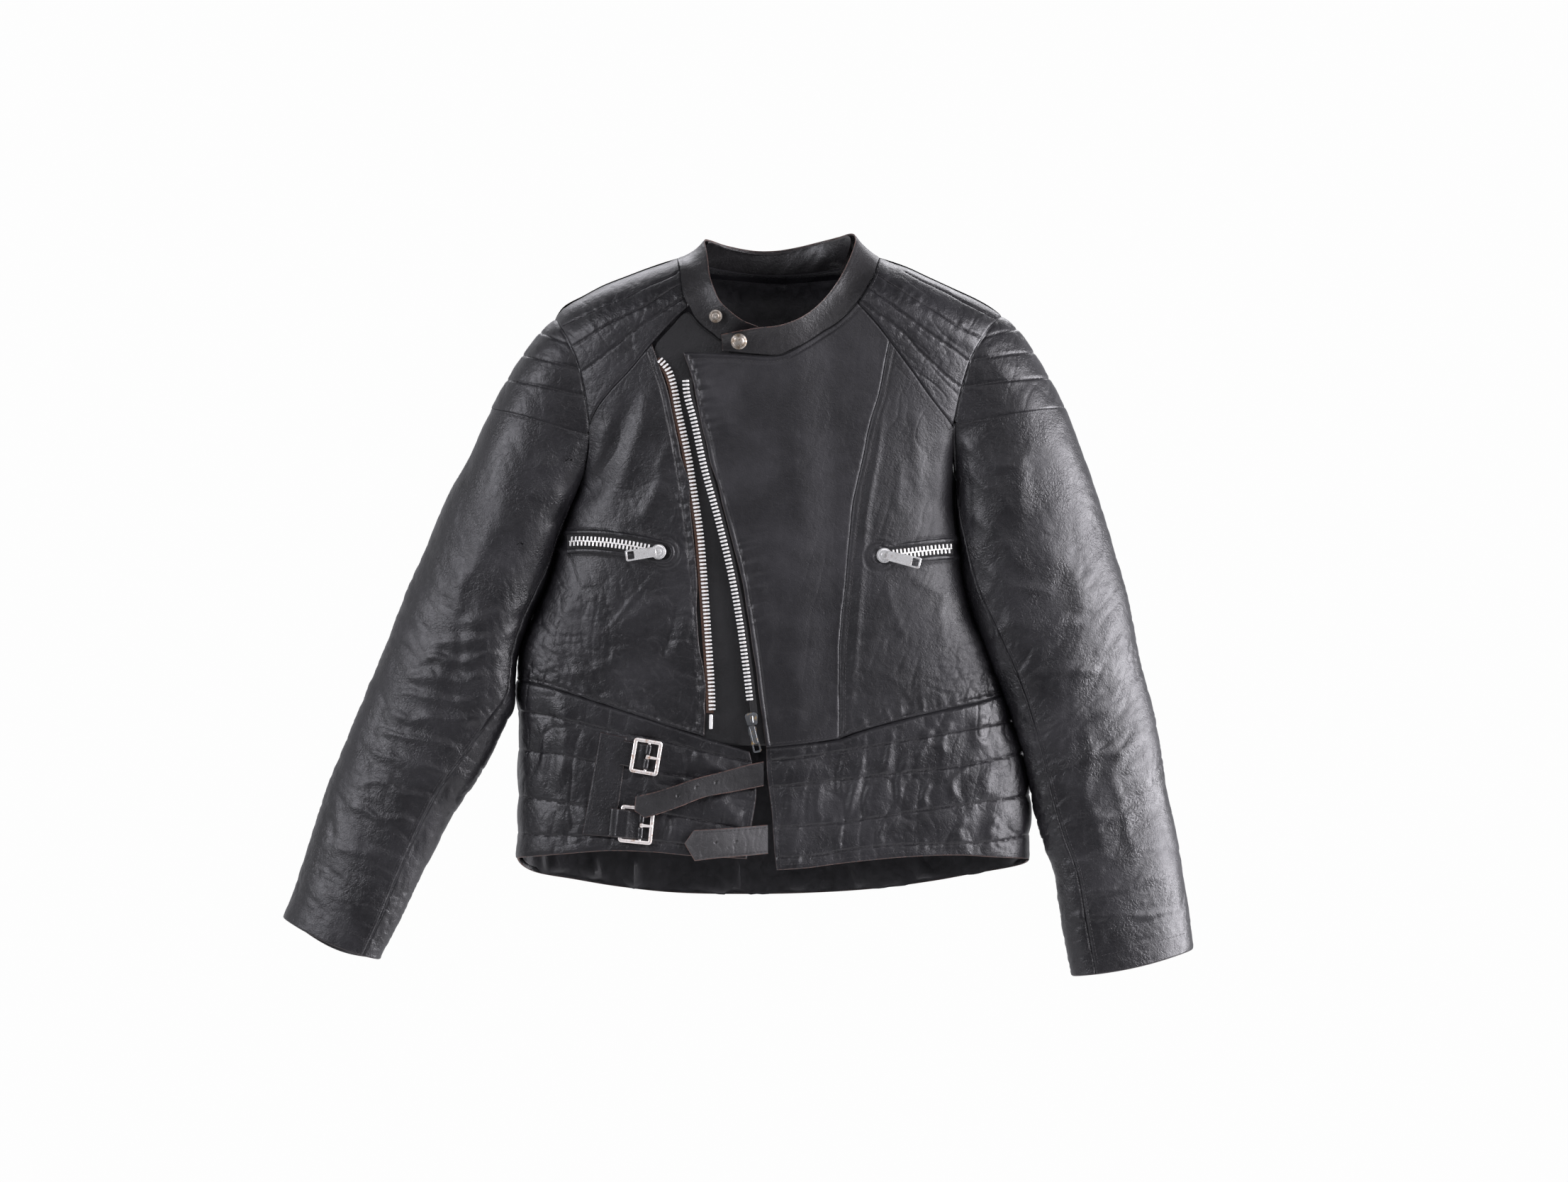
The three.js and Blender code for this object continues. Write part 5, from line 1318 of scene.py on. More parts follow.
def cap_relief(t, f):
    """Padded rows across the top of a sleeve."""
    w = (1 - np.cos(f)) / 2
    d = np.full(t.shape, 40.0)
    for end, share in CAP_LINES:
        tk = cap_line(f, end, share)
        gap = np.abs(t - tk) * SLEEVE_LENGTH * 0.75
        d = np.minimum(d, np.where(w < share + 0.02, gap, 40.0))
    c = f * 60
    pucker = noise(c / 5.5, d / 30, 71) * np.exp(-((d - 3.4) ** 2) / 14)
    s = t * SLEEVE_LENGTH
    sweep = creases(c, s, turn=50, size=24, stretch=2.6, seed=73, sharp=7)
    sweep = sweep + creases(c, s, turn=12, size=13, stretch=2.6, seed=75)
    row = 0.4 * (1 - np.exp(-((d / 8.0) ** 1.6)))
    row = row - 1.1 * np.exp(-((d / GROOVE_WIDTH) ** 1.6))
    return row + 0.35 * pucker + 0.6 * sweep


SLEEVE_FOLDS = {
    "right": [
        ([(-200, -165), (-214, -186), (-236, -205)], 7, 2.4, 0.3),
        ([(-204, -190), (-222, -212), (-246, -228)], 7, 2.0, 0.3),
        ([(-208, -212), (-232, -240), (-262, -262)], 9, 2.2, 0.2),
        ([(-214, -246), (-246, -280), (-286, -306)], 10, 2.0, 0.2),
        ([(-234, -318), (-270, -342), (-318, -352)], 6, 1.9, 0.4),
        ([(-250, -350), (-294, -366), (-346, -368)], 6, 2.2, 0.4),
        ([(-262, -376), (-304, -386), (-362, -384)], 5, 1.9, 0.5),
        ([(-266, -402), (-320, -404), (-378, -398)], 6, 2.3, 0.4),
        ([(-268, -424), (-318, -424), (-384, -414)], 5, 1.8, 0.5),
        ([(-272, -448), (-330, -444), (-396, -432)], 6, 2.3, 0.4),
        ([(-288, -474), (-340, -466), (-404, -450)], 5, 2.0, 0.5),
        ([(-304, -502), (-356, -490), (-414, -476)], 6, 2.0, 0.4),
        ([(-318, -528), (-372, -514), (-426, -500)], 5, 1.7, 0.5),
        ([(-336, -556), (-386, -540), (-436, -528)], 5, 1.5, 0.4),
        ([(-356, -592), (-404, -574), (-448, -566)], 6, 1.3, 0.3),
        ([(-372, -640), (-420, -628), (-464, -612)], 5, 1.1, 0.3),
        ([(-268, -230), (-300, -290), (-326, -352)], 12, 1.6, 0.0),
        ([(-292, -300), (-312, -380), (-332, -470)], 9, -1.6, 0.1),
    ],
    "left": [
        ([(180, -168), (204, -190), (236, -206)], 8, 2.6, 0.3),
        ([(178, -196), (206, -222), (240, -244)], 8, 2.2, 0.3),
        ([(232, -172), (236, -210), (250, -250)], 9, 1.6, 0.1),
        ([(184, -240), (214, -272), (254, -300)], 9, 2.0, 0.3),
        ([(196, -300), (232, -318), (282, -322)], 8, 2.0, 0.3),
        ([(212, -352), (250, -362), (312, -356)], 8, 2.2, 0.3),
        ([(228, -402), (270, -404), (336, -392)], 8, 2.2, 0.3),
        ([(240, -452), (282, -446), (352, -432)], 7, 2.2, 0.4),
        ([(252, -496), (292, -486), (366, -474)], 7, 2.0, 0.4),
        ([(300, -440), (304, -510), (316, -592)], 7, 1.8, 0.3),
        ([(330, -450), (336, -520), (350, -600)], 7, 1.5, 0.3),
        ([(262, -552), (312, -546), (384, -536)], 6, 1.5, 0.4),
        ([(272, -592), (322, -584), (390, -580)], 5, 1.5, 0.4),
        ([(280, -622), (336, -614), (398, -608)], 4, 1.5, 0.5),
        ([(284, -646), (340, -640), (404, -634)], 4, 1.4, 0.5),
        ([(262, -268), (292, -310), (306, -352)], 11, 1.6, 0.0),
    ],
}


def sleeve_relief(key):
    sleeve = SLEEVES[key]
    seed = 80 if key == "right" else 90

    def relief(p, t, f):
        s, c = t * SLEEVE_LENGTH, f * mix(62, 44, t)
        x, z = p[..., 0], p[..., 2]
        elbow = smooth(0.3, 0.5, t) * smooth(1.0, 0.72, t)
        h = 1.5 * rolling(c, s, size=95, seed=seed, octaves=3)
        h = h + 0.9 * creases(c, s, turn=8, size=15, stretch=4.5, seed=seed + 1) * (0.35 + elbow)
        h = h + 0.5 * creases(c, s, turn=-14, size=9, stretch=4.0, seed=seed + 3) * elbow
        h = h + 0.7 * creases(c, s, turn=80, size=24, stretch=3.0, seed=seed + 4)
        worn_in = 0.45 + 0.55 * smooth(0.15, 0.4, t)
        h = h + 0.6 * crumple(c, s, size=11, seed=seed + 14, turn=8) * worn_in
        h = h + 0.8 * creases(c, s, turn=5, size=10, stretch=3.5, seed=seed + 6) * smooth(0.86, 0.95, t)
        xw = x + 5 * noise(x / 30, z / 24, seed + 11)
        zw = z + 6 * noise(x / 26, z / 30, seed + 12)
        drawn = 0.9 * folds(xw, zw, SLEEVE_FOLDS[key])
        back = 0.72 * folds(xw + 14, zw + 9, SLEEVE_FOLDS[key])
        h = h + np.where(np.sin(f) >= 0, drawn, back * 0.8)
        for seam in (sleeve.front_seam(t), BACK_SEAM, BACK_SEAM + 2 * math.pi):
            r = np.abs(f - seam) * 44
            h = h + 0.6 * noise(s / 6, r / 20, seed + 9) * np.exp(-((r / 8) ** 2))
        return h

    return relief


def satin_ripple(p, u, v):
    return 0.8 * rolling(u * 200, v * 260, size=26, seed=95)


def sleeve_panels():
    for key, sleeve in SLEEVES.items():
        body = f"{key}_sleeve"
        put = {"body": body, "blend": body}
        edge_f = math.acos(1 - 2 * CAP_SHARE) * 0.985

        def cap_at(u, v, off, sleeve=sleeve):
            f = mix(-edge_f, edge_f, u)
            return sleeve.at(mix(-TUCK, cap_line(f), v), f, off)

        def cap_bumps(p, u, v):
            f = mix(-edge_f, edge_f, u)
            t = mix(-TUCK, cap_line(f), v)
            return (cap_relief(t, f) - seam_dip(t)) * smooth(-0.002, 0.002, t)

        u, v = stations(270, step=1.6), stations(112, step=1.2)
        sheet_piece(
            f"{key}_cap_leather", cap_at, u, v, thickness=2.0, kinds=sides(JOIN, PLAIN, JOIN, JOIN),
            relief=cap_bumps, slot="quilted_leather", finish=QUILTED, replaces=[f"{key}_sleeve_cap"],
            **put,
        )
        bumps = sleeve_relief(key)

        def upper_tf(u, v, sleeve=sleeve):
            seam = sleeve.front_seam(v)
            f = mix(BACK_SEAM, seam, u)
            start = np.where(cap_line(f) > 0, cap_line(f), -TUCK)
            return mix(start, 1.0, v), f

        def under_tf(u, v, sleeve=sleeve):
            seam = sleeve.front_seam(v)
            return mix(-TUCK, 1.0, v), mix(seam, BACK_SEAM + 2 * math.pi, u)

        for part, tf, wide in (("upper", upper_tf, 250), ("under", under_tf, 90)):

            def surface(u, v, off, sleeve=sleeve, tf=tf):
                return sleeve.at(*tf(u, v), off)

            def raised(p, u, v, tf=tf, bumps=bumps):
                t, f = tf(u, v)
                return (bumps(p, t, f) - seam_dip(t)) * smooth(-0.002, 0.002, t)

            u, v = stations(wide, step=2.1), stations(SLEEVE_LENGTH, step=2.3)
            sheet_piece(
                f"{key}_{part}_sleeve_leather", surface, u, v, thickness=1.4,
                kinds=sides(FREE, JOIN, SEAM, SEAM), relief=raised, slot="leather", finish=SLEEVE,
                replaces=[f"{key}_sleeve_{part}"], **put,
            )

        def satin_at(u, v, off, sleeve=sleeve):
            return sleeve.at(mix(0.02, 0.992, v), mix(-math.pi, math.pi, u), off)

        u, v = np.linspace(0, 1, 61), np.linspace(0, 1, 121)
        piece = sheet_piece(
            f"{key}_sleeve_satin", satin_at, u, v, thickness=0.5,
            kinds=sides(PLAIN, PLAIN, PLAIN, PLAIN), relief=satin_ripple, base=-6.4, slot="lining",
            finish=SATIN, replaces=[f"{key}_sleeve_lining"], **put,
        )


# ------------------------------------------------------------------ collar
def on_skin(points, dy):
    p = np.asarray(points, float)
    y = on_front(p[:, 0], p[:, 1])[:, 1] + dy
    return np.stack([p[:, 0], y, p[:, 1]], -1)


SEAM_FRONT = [
    (-34, -75), (-56, -72), (-62, -67), (-70, -61), (-80, -51), (-86, -40), (-91, -31), (-93.5, -18),
    (-96, -0.5),
]
SEAM_BACK = [
    (-97.6, -10, 9.5), (-92, 11, 7.5), (-75, 28, 3), (-50, 36, -3), (-20, 38, -7), (7, 38.5, -7.6),
    (35, 38, -5.6), (60, 35, -1), (82, 25, 5), (96, 9, 9.5), (100, -10, 10),
]
SEAM_LEFT = [(99, 6.6), (94.5, -8), (87, -22), (79, -35), (62, -52.5)]
RIM = [
    (-18, -85, -60.5), (-34, -85, -54), (-45, -84, -46), (-56, -81, -35), (-63, -76, -20),
    (-66.6, -68, -8), (-68, -58, 5), (-70, -44, 18), (-71.5, -22, 27), (-66, 2, 28), (-50, 20, 24),
    (-22, 31, 20), (0, 33, 20.5), (19, 32, 23.5), (45, 24, 29), (61, 10, 32), (73, -12, 34),
    (76.6, -35, 27), (72, -52, 10), (66, -64, -4), (59, -71.5, -17),
]
TIP_SEAM = [(57, -56.8), (44, -64.6), (30, -74), (12, -83), (2, -87.4), (-20, -86.6), (-53.7, -83)]
TIP_RIM = [
    (57, -73, -19), (44, -79, -35), (30, -84, -47), (17.5, -88, -54), (0, -91.5, -59.6),
    (-18, -92.5, -61.4), (-34, -93, -64), (-55, -93, -68),
]


def band(name, low, high, u, v, thickness, kinds, relief, **put):
    """A standing band between two lines in space."""

    def band_at(uu, vv, off):
        a, b = low.at(uu), high.at(uu)
        along = low.at(np.minimum(1, uu + 0.006)) - low.at(np.maximum(0, uu - 0.006))
        n = unit(np.cross(along, b - a))
        swell = 1.6 * np.sin(math.pi * np.clip(vv, 0, 1))
        return mix(a, b, vv[..., None]) + n * (off + swell)[..., None]

    sheet_piece(name, band_at, u, v, thickness=thickness, kinds=kinds, relief=relief, **put)


def collar_relief(seed):
    def relief(p, u, v):
        s = u * 430
        h = 0.45 * rolling(s, v * 30, size=24, seed=seed)
        h = h - 0.55 * np.exp(-(((v - 0.91) / 0.022) ** 2))
        h = h - 0.5 * np.exp(-(((v - 0.09) / 0.025) ** 2))
        at_edges = np.exp(-((v - 0.97) ** 2) / 0.01) + np.exp(-(v**2) / 0.012)
        return h + 0.5 * noise(s / 7, v * 2, seed + 1) * at_edges

    return relief


def collar():
    """The ring from the wearer's right end round the back, and the left end that laps over it."""
    seam = Line(np.vstack([on_skin(SEAM_FRONT, dy=-0.6), SEAM_BACK, on_skin(SEAM_LEFT, dy=-0.6)]))
    rim = Line(RIM)
    seam_end, rim_end, tip_start = 0.76, 0.755, 0.965
    ring_low, ring_high = seam.part(0, seam_end, 400), rim.part(0, rim_end, 400)
    kinds = sides(top=CUT, bottom=SEAM, left=FREE, right=PLAIN)
    band(
        "collar_ring_leather", ring_low, ring_high, stations(470, step=2.0), stations(38, step=1.6),
        thickness=1.6, kinds=kinds, relief=collar_relief(seed=101), body="shell", slot="leather",
        finish=COLLAR, replaces=["collar_band"],
    )
    tip_low = on_skin(TIP_SEAM, dy=-0.2)
    tip_low[:, 1] -= lift(tip_low[:, 0]) + 1.0
    end_low = Line(np.vstack([seam.part(seam_end, tip_start, 9).samples, tip_low]))
    end_high = Line(np.vstack([rim.part(rim_end, tip_start, 9).samples, TIP_RIM]))
    kinds = sides(top=CUT, bottom=SEAM, left=PLAIN, right=FREE)
    band(
        "collar_end_leather", end_low, end_high, stations(250, step=2.0), stations(36, step=1.6),
        thickness=1.6, kinds=kinds, relief=collar_relief(seed=103), body="left_front", slot="leather",
        finish=COLLAR, replaces=["collar_left_end"], blend="left_front",
    )
    inner_low = Line(inside(SEAM_BACK, dz=-5))
    inner_high = Line(inside(RIM[8:20], dz=-2.2))
    band(
        "collar_inside_leather", inner_low, inner_high, stations(330, step=3.0), stations(30, step=2.5),
        thickness=0.7, kinds=sides(FREE, PLAIN, PLAIN, PLAIN), relief=collar_relief(seed=105),
        base=-0.6, body="shell", slot="facing_leather", finish=COLLAR, replaces=["collar_facing"],
    )


def inside(points, dz):
    p = np.asarray(points, float)
    return np.stack([p[:, 0] * 0.95, (p[:, 1] + 10) * 0.95 - 10, p[:, 2] + dz], -1)


# ------------------------------------------------------------------ small repeated shapes
def block(length, width, height, cut=0.3):
    """A small bar with rounded corners and ends: length along X, width along Y, height along Z."""
    w, h = width / 2, height / 2
    right = [(w - cut, -h), (w, cut - h), (w, h - cut), (w - cut, h)]
    ring = right + [(cut - w, h), (-w, h - cut), (-w, cut - h), (cut - w, -h)]
    rings = []
    for x, shrink in (
        (-length / 2, cut), (cut - length / 2, 0), (length / 2 - cut, 0), (length / 2, cut),
    ):
        scale = np.array([(w - shrink) / w, (h - shrink) / h])
        rings.append([(x, *(np.array(p) * scale)) for p in ring])
    return np.array(rings, float).reshape(-1, 3), tube_faces(4, 8)


def copies(template, origins, xs, ys, zs):
    """Many copies of one small shape, each in its own frame of axes."""
    verts, faces = template
    put = origins[:, None] + verts[None, :, :1] * xs[:, None]
    put = put + verts[None, :, 1:2] * ys[:, None]
    put = put + verts[None, :, 2:] * zs[:, None]
    n = len(origins)
    shift = (np.arange(n) * len(verts))[:, None, None]
    all_faces = (faces[None] + shift).reshape(-1, faces.shape[1])
    return put.reshape(-1, 3), all_faces


def merged(*parts):
    verts, faces, shift = [], [], 0
    for v, f in parts:
        verts.append(v)
        faces.append(f + shift)
        shift += len(v)
    return np.vstack(verts), np.vstack(faces)


def skin_frames(line, s, h, off):
    """Frames on the front of the body along a line: origin, along, across and outward."""
    p, q = line.at((s - 0.5) / line.length), line.at((s + 0.5) / line.length)
    t = unit(q - p)
    m = (p + q) / 2 + np.reshape(h, (-1, 1)) * np.stack([-t[:, 1], t[:, 0]], -1)
    off = off(m[:, 0]) if callable(off) else off + 0 * m[:, 0]
    o = on_front(m[:, 0], m[:, 1], off)
    n = unit(on_front(m[:, 0], m[:, 1], off + 1.0) - o)
    ahead = on_front(m[:, 0] + t[:, 0], m[:, 1] + t[:, 1], off)
    along = unit(ahead - o)
    return o, along, unit(np.cross(n, along)), n


TOOTH_PITCH = 3.75


def teeth(line, s0, s1, way, off, reach=(-2.4, 4.3), start=0.0):
    """A row of zip teeth: a jaw clamped on the tape and a rounded head reaching out of it."""
    s = np.arange(s0 + start, s1, TOOTH_PITCH)
    head, jaw = block(length=reach[1] - 0.6, width=1.8, height=2.1, cut=0.4), block(
        length=0.8 - reach[0], width=2.1, height=2.7, cut=0.4,
    )
    frames = skin_frames(line, s, h=way * (reach[1] + 0.6) / 2, off=off)
    jaws = skin_frames(line, s, h=way * (reach[0] + 0.8) / 2, off=off)
    return merged(
        copies(head, frames[0], frames[2], frames[1], frames[3]),
        copies(jaw, jaws[0], jaws[2], jaws[1], jaws[3]),
    )


def tape(name, line, s0, s1, h0, h1, off, thickness, **put):
    """A woven strip along a line on the front of the body."""
    n = int((s1 - s0) / 3)
    s = np.linspace(s0, s1, n)
    rows = []
    for h in np.linspace(h0, h1, 7):
        rows.append(skin_frames(line, s, h=h + 0 * s, off=off)[0])
    outer = np.stack(rows)
    normal = skin_frames(line, s, h=0 * s, off=off)[3]
    verts = np.concatenate([outer.reshape(-1, 3), (outer - normal[None] * thickness).reshape(-1, 3)])
    return add_piece(name, verts, shell_faces(*outer.shape[:2]), **put)


TINY = 0.02


def lathe(profile, sides=40):
    """A turned shape: profile rows are (radius, height); it is closed at both ends by tiny rings."""
    a = np.linspace(0, 2 * math.pi, sides, endpoint=False)
    rings = []
    for radius, height in profile:
        r = max(radius, TINY)
        rings.append(np.stack([r * np.cos(a), r * np.sin(a), height + 0 * a], -1))
    return np.concatenate(rings), tube_faces(len(profile), sides)


def facing_out(shape, centre, turn=0.0):
    """Stands a shape made along +Z out of the jacket's front at a centre: its X goes right, its Y up."""
    verts, faces = shape
    c, s = math.cos(turn), math.sin(turn)
    x = np.array([c, 0, s])
    y = np.array([-s, 0, c])
    z = np.array([0, -1.0, 0])
    put = np.asarray(centre) + verts[:, :1] * x + verts[:, 1:2] * y + verts[:, 2:] * z
    return put, faces


def rounded(w, h, r, n=5):
    """A rectangle with round corners, as points in order."""
    out = []
    for k, (sx, sy) in enumerate(((1, 1), (-1, 1), (-1, -1), (1, -1))):
        for a in np.linspace(0, HALF_PI, n) + k * HALF_PI:
            x = sx * (w / 2 - r) + r * math.cos(a)
            y = sy * (h / 2 - r) + r * math.sin(a)
            out.append((x, y))
    return np.array(out)


def ring_plate(outer, inner, depth, bevel=0.25):
    """A plate with a window: outer and inner outlines of equal counts, its edges slightly rounded."""
    away = unit(outer - outer.mean(0))
    towards = unit(inner - inner.mean(0))
    loops = [
        (outer - away * bevel, 0), (outer, bevel), (outer, depth - bevel), (outer - away * bevel, depth),
        (inner + towards * bevel, depth), (inner, depth - bevel), (inner, bevel),
        (inner + towards * bevel, 0),
    ]
    verts = np.stack([np.column_stack([p, np.full(len(p), d)]) for p, d in loops])
    return verts.reshape(-1, 3), tube_faces(len(loops), len(outer), closed=True)


def solid_plate(outline, depth, bevel=0.25, dome=0.0):
    """A plate without a hole, slightly domed, its edge rounded."""
    centre = outline.mean(0)
    bottom = [(TINY, 0), (0.95, 0), (1.0, bevel)]
    top = [(1.0, depth - bevel), (0.95, depth), (0.6, depth + dome * 0.7), (TINY, depth + dome)]
    loops = bottom + top
    rings = []
    for share, level in loops:
        ring = centre + (outline - centre) * share
        rings.append(np.column_stack([ring, np.full(len(outline), level)]))
    return np.concatenate(rings), tube_faces(len(loops), len(outline))


# ------------------------------------------------------------------ sewing


def skin_of(*pieces):
    """A tree for finding the surface of finished pieces."""
    verts, faces, shift = [], [], 0
    for piece in pieces:
        mesh = piece.data
        co = np.empty(len(mesh.vertices) * 3, np.float32)
        mesh.vertices.foreach_get("co", co)
        verts.extend(map(tuple, co.reshape(-1, 3) / MM))
        faces.extend(tuple(i + shift for i in f.vertices) for f in mesh.polygons)
        shift += len(mesh.vertices)
    return BVHTree.FromPolygons(verts, faces)


def hit(tree, x, z, side):
    where, normal, _, _ = tree.ray_cast(Vector((x, side * 300, z)), Vector((0, -side, 0)))
    return (np.array(where), np.array(normal)) if where is not None else (None, None)


STITCH = 2.9
STITCH_PITCH = 3.7


def stitch_shape():
    """One stitch of unit length along X: a thread that rises out of its hole and dives into the next."""
    sides = 6
    a = np.linspace(0, 2 * math.pi, sides, endpoint=False)
    rows = ((0, 0.12, -0.35), (0.1, 0.26, 0.02), (0.5, 0.3, 0.16), (0.9, 0.26, 0.02), (1, 0.12, -0.35))
    rings = [np.stack([x + 0 * a, r * np.cos(a), z + r * np.sin(a)], -1) for x, r, z in rows]
    return np.concatenate(rings), tube_faces(len(rows), sides)


def sew(name, tree, rows, body, blend=None, side=FRONT, size=1.0, slot="leather"):
    """Stitches along (x, z) lines, each laid on the finished surface under it."""
    origins, xs, ys, zs = [], [], [], []
    for line in rows:
        for s in np.arange(2.0, line.length - STITCH, STITCH_PITCH):
            p, q = line.at(s / line.length), line.at((s + STITCH) / line.length)
            a, n = hit(tree, p[0], p[1], side)
            b, _ = hit(tree, q[0], q[1], side)
            if a is None or b is None or np.linalg.norm(a - b) > 2 * STITCH:
                continue
            along = b - a
            across = unit(np.cross(n, along))
            origins.append(a)
            xs.append(along)
            ys.append(across * size)
            zs.append(n * size)
    if not origins:
        return
    verts, faces = copies(stitch_shape(), *(np.array(v) for v in (origins, xs, ys, zs)))
    add_piece(name, verts, faces, body=body, slot=slot, finish=THREAD, blend=blend)


def by_name(name):
    return bpy.data.objects[name]


def sew_body():
    names = ("right_yoke_leather", "left_yoke_leather", "right_front_leather", "right_waist_leather")
    shell = skin_of(*(by_name(n) for n in names))
    rows = yoke_r + yoke_l + waist_r
    rows += [front_edge.shifted(6.0), waist_seam_r.shifted(4.0), Line(YOKE_RF).shifted(-5.0)]
    rows += [Line(HEM_R).shifted(5.5), Line(HEM_R).shifted(9.5), Line(BAND_EDGE_R).shifted(4.0)]
    rows += [Line(NECK_R).shifted(4.0), Line(NECK_L).shifted(4.0)]
    rows += pocket_rows(pocket_r)
    sew("right_front_stitches", shell, rows, "shell")
    names = ("left_side_leather", "left_flap_leather", "left_waist_leather")
    left = skin_of(*(by_name(n) for n in names))
    rows = waist_l + [flap_edge.shifted(-5.0), flap_top.shifted(-5.5), princess.shifted(-6.5)]
    rows += [waist_seam_l.shifted(4.0), Line(HEM_L).shifted(5.0), Line(BAND_EDGE_L).shifted(-4.5)]
    rows += [Line([(106, -84), (132, -113), (149.5, -137), (172, -163)])] + pocket_rows(pocket_l)
    sew("left_front_stitches", left, rows, "left_front", blend="left_front")
    names = ("back_yoke_leather", "back_leather", "back_waist_leather")
    back = skin_of(*(by_name(n) for n in names))
    rows = back_yoke_lines + back_waist_lines
    rows += [Line(BACK_YOKE).shifted(-4.0), Line(BACK_WAIST).shifted(4.0)]
    rows += [Line(BACK_HEM).shifted(5.0), Line([(1.5, -146), (1.5, -420)], plain=True)]
    sew("back_stitches", back, rows, "shell", side=BACK)


POCKET_STITCH = 14.0


def pocket_rows(line):
    """The stitching round a pocket's mouth."""
    above = line.shifted(POCKET_STITCH).part(0.04, 1).samples[::-1]
    below = line.shifted(-POCKET_STITCH).part(0.04, 1).samples
    return [Line(np.vstack([above, below]))]


def sew_sleeves():
    for key, sleeve in SLEEVES.items():
        body = f"{key}_sleeve"
        names = ("cap_leather", "upper_sleeve_leather", "under_sleeve_leather")
        tree = skin_of(*(by_name(f"{key}_{n}") for n in names))
        w_rows = []
        for end, share in CAP_LINES + [(CAP_END + 0.008, CAP_SHARE)]:
            w = np.linspace(0.03, share, 40)
            t = cap_line(np.arccos(1 - 2 * w), end, share)
            w_rows.append(Line(sleeve.plan(np.maximum(t, 0.004), w), plain=True))
        sew(f"{key}_cap_stitches", tree, w_rows, body, blend=body)
        sew(f"{key}_cap_back_stitches", tree, w_rows, body, blend=body, side=BACK)
        t = np.linspace(0.05, 0.99, 60)
        share = (1 - np.cos(sleeve.front_seam(t) - 0.08)) / 2
        seam = Line(sleeve.plan(t, share), plain=True)
        cuff = Line(sleeve.plan(0 * t + 0.972, np.linspace(0.04, 0.8, 60)), plain=True)
        sew(f"{key}_sleeve_stitches", tree, [seam, cuff], body, blend=body)


# ------------------------------------------------------------------ zips
ZIP_OFF = -0.1


def main_zip():
    right, left = Line(ZIP_R), Line(ZIP_L)
    verts, faces = teeth(right, s0=4, s1=right.length - 1, way=1, off=ZIP_OFF)
    add_piece(
        "right_zip_teeth", verts, faces, body="shell", slot="zip_metal", finish=NICKEL,
        replaces=["right_main_zip_teeth"],
    )

    def over(x):
        return lift(x) + ZIP_OFF

    verts, faces = teeth(left, s0=15, s1=left.length - 1, way=1, off=over)
    add_piece(
        "left_zip_teeth", verts, faces, body="left_front", slot="zip_metal", finish=NICKEL,
        replaces=["left_main_zip_teeth"],
    )
    tape(
        "right_zip_tape", right, s0=1, s1=right.length, h0=-5.0, h1=2.4, off=-1.4, thickness=0.9,
        body="shell", slot="zip_tape", finish=BROWN_TAPE, replaces=["right_main_zip_tape"],
    )
    tape(
        "left_zip_tape", left, s0=0, s1=left.length - 1, h0=-5.4, h1=1.8, off=lambda x: lift(x) - 1.3,
        thickness=0.9, body="left_front", slot="zip_tape", finish=TAPE, replaces=["left_main_zip_tape"],
    )
    o = on_front(-65.2, -448.5, 0.2)
    pin = block(length=14.5, width=3.4, height=2.8, cut=0.6)
    verts = o + pin[0][:, 1:2] * [1, 0, 0] + pin[0][:, :1] * [0.02, 0, 1] + pin[0][:, 2:] * [0, -1, 0]
    add_piece(
        "right_zip_pin", verts, pin[1], body="shell", slot="zip_metal", finish=NICKEL,
        replaces=["right_main_zip_pin"],
    )
    o = on_front(-24.5, -457.2, lift(-24) - 1.0)
    box = solid_plate(rounded(w=8.0, h=9.4, r=1.6), depth=3.4, bevel=0.5, dome=0.2)
    verts, faces = facing_out(box, o, turn=0.1)
    add_piece(
        "left_zip_box", verts, faces, body="left_front", slot="dark_metal", finish=ZINC,
        replaces=["left_main_zip_box"],
    )


def slider_shape(top, bottom, length, height):
    """A slider's front plate: shoulders above, narrow below, with a bridge for the pull."""
    w, b, n = top / 2, bottom / 2, length / 2
    outline = [(0, n)]
    outline += [
        (-w * 0.5, n), (-w * 0.85, n - 1.0), (-w, n - 3), (-w * 0.94, 0), (-b, -n + 1.2), (-b + 1.0, -n),
    ]
    outline += [(0, -n)]
    outline += [
        (b - 1.0, -n), (b, -n + 1.2), (w * 0.94, 0), (w, n - 3), (w * 0.85, n - 1.0), (w * 0.5, n),
    ]
    plate = solid_plate(np.array(outline, float), depth=height, bevel=0.5, dome=0.5)
    bridge = block(length=length * 0.62, width=3.4, height=2.0, cut=0.7)
    stood = np.column_stack([bridge[0][:, 1], bridge[0][:, 0] - 0.4, bridge[0][:, 2] + height + 0.4])
    return merged(plate, (stood, bridge[1]))


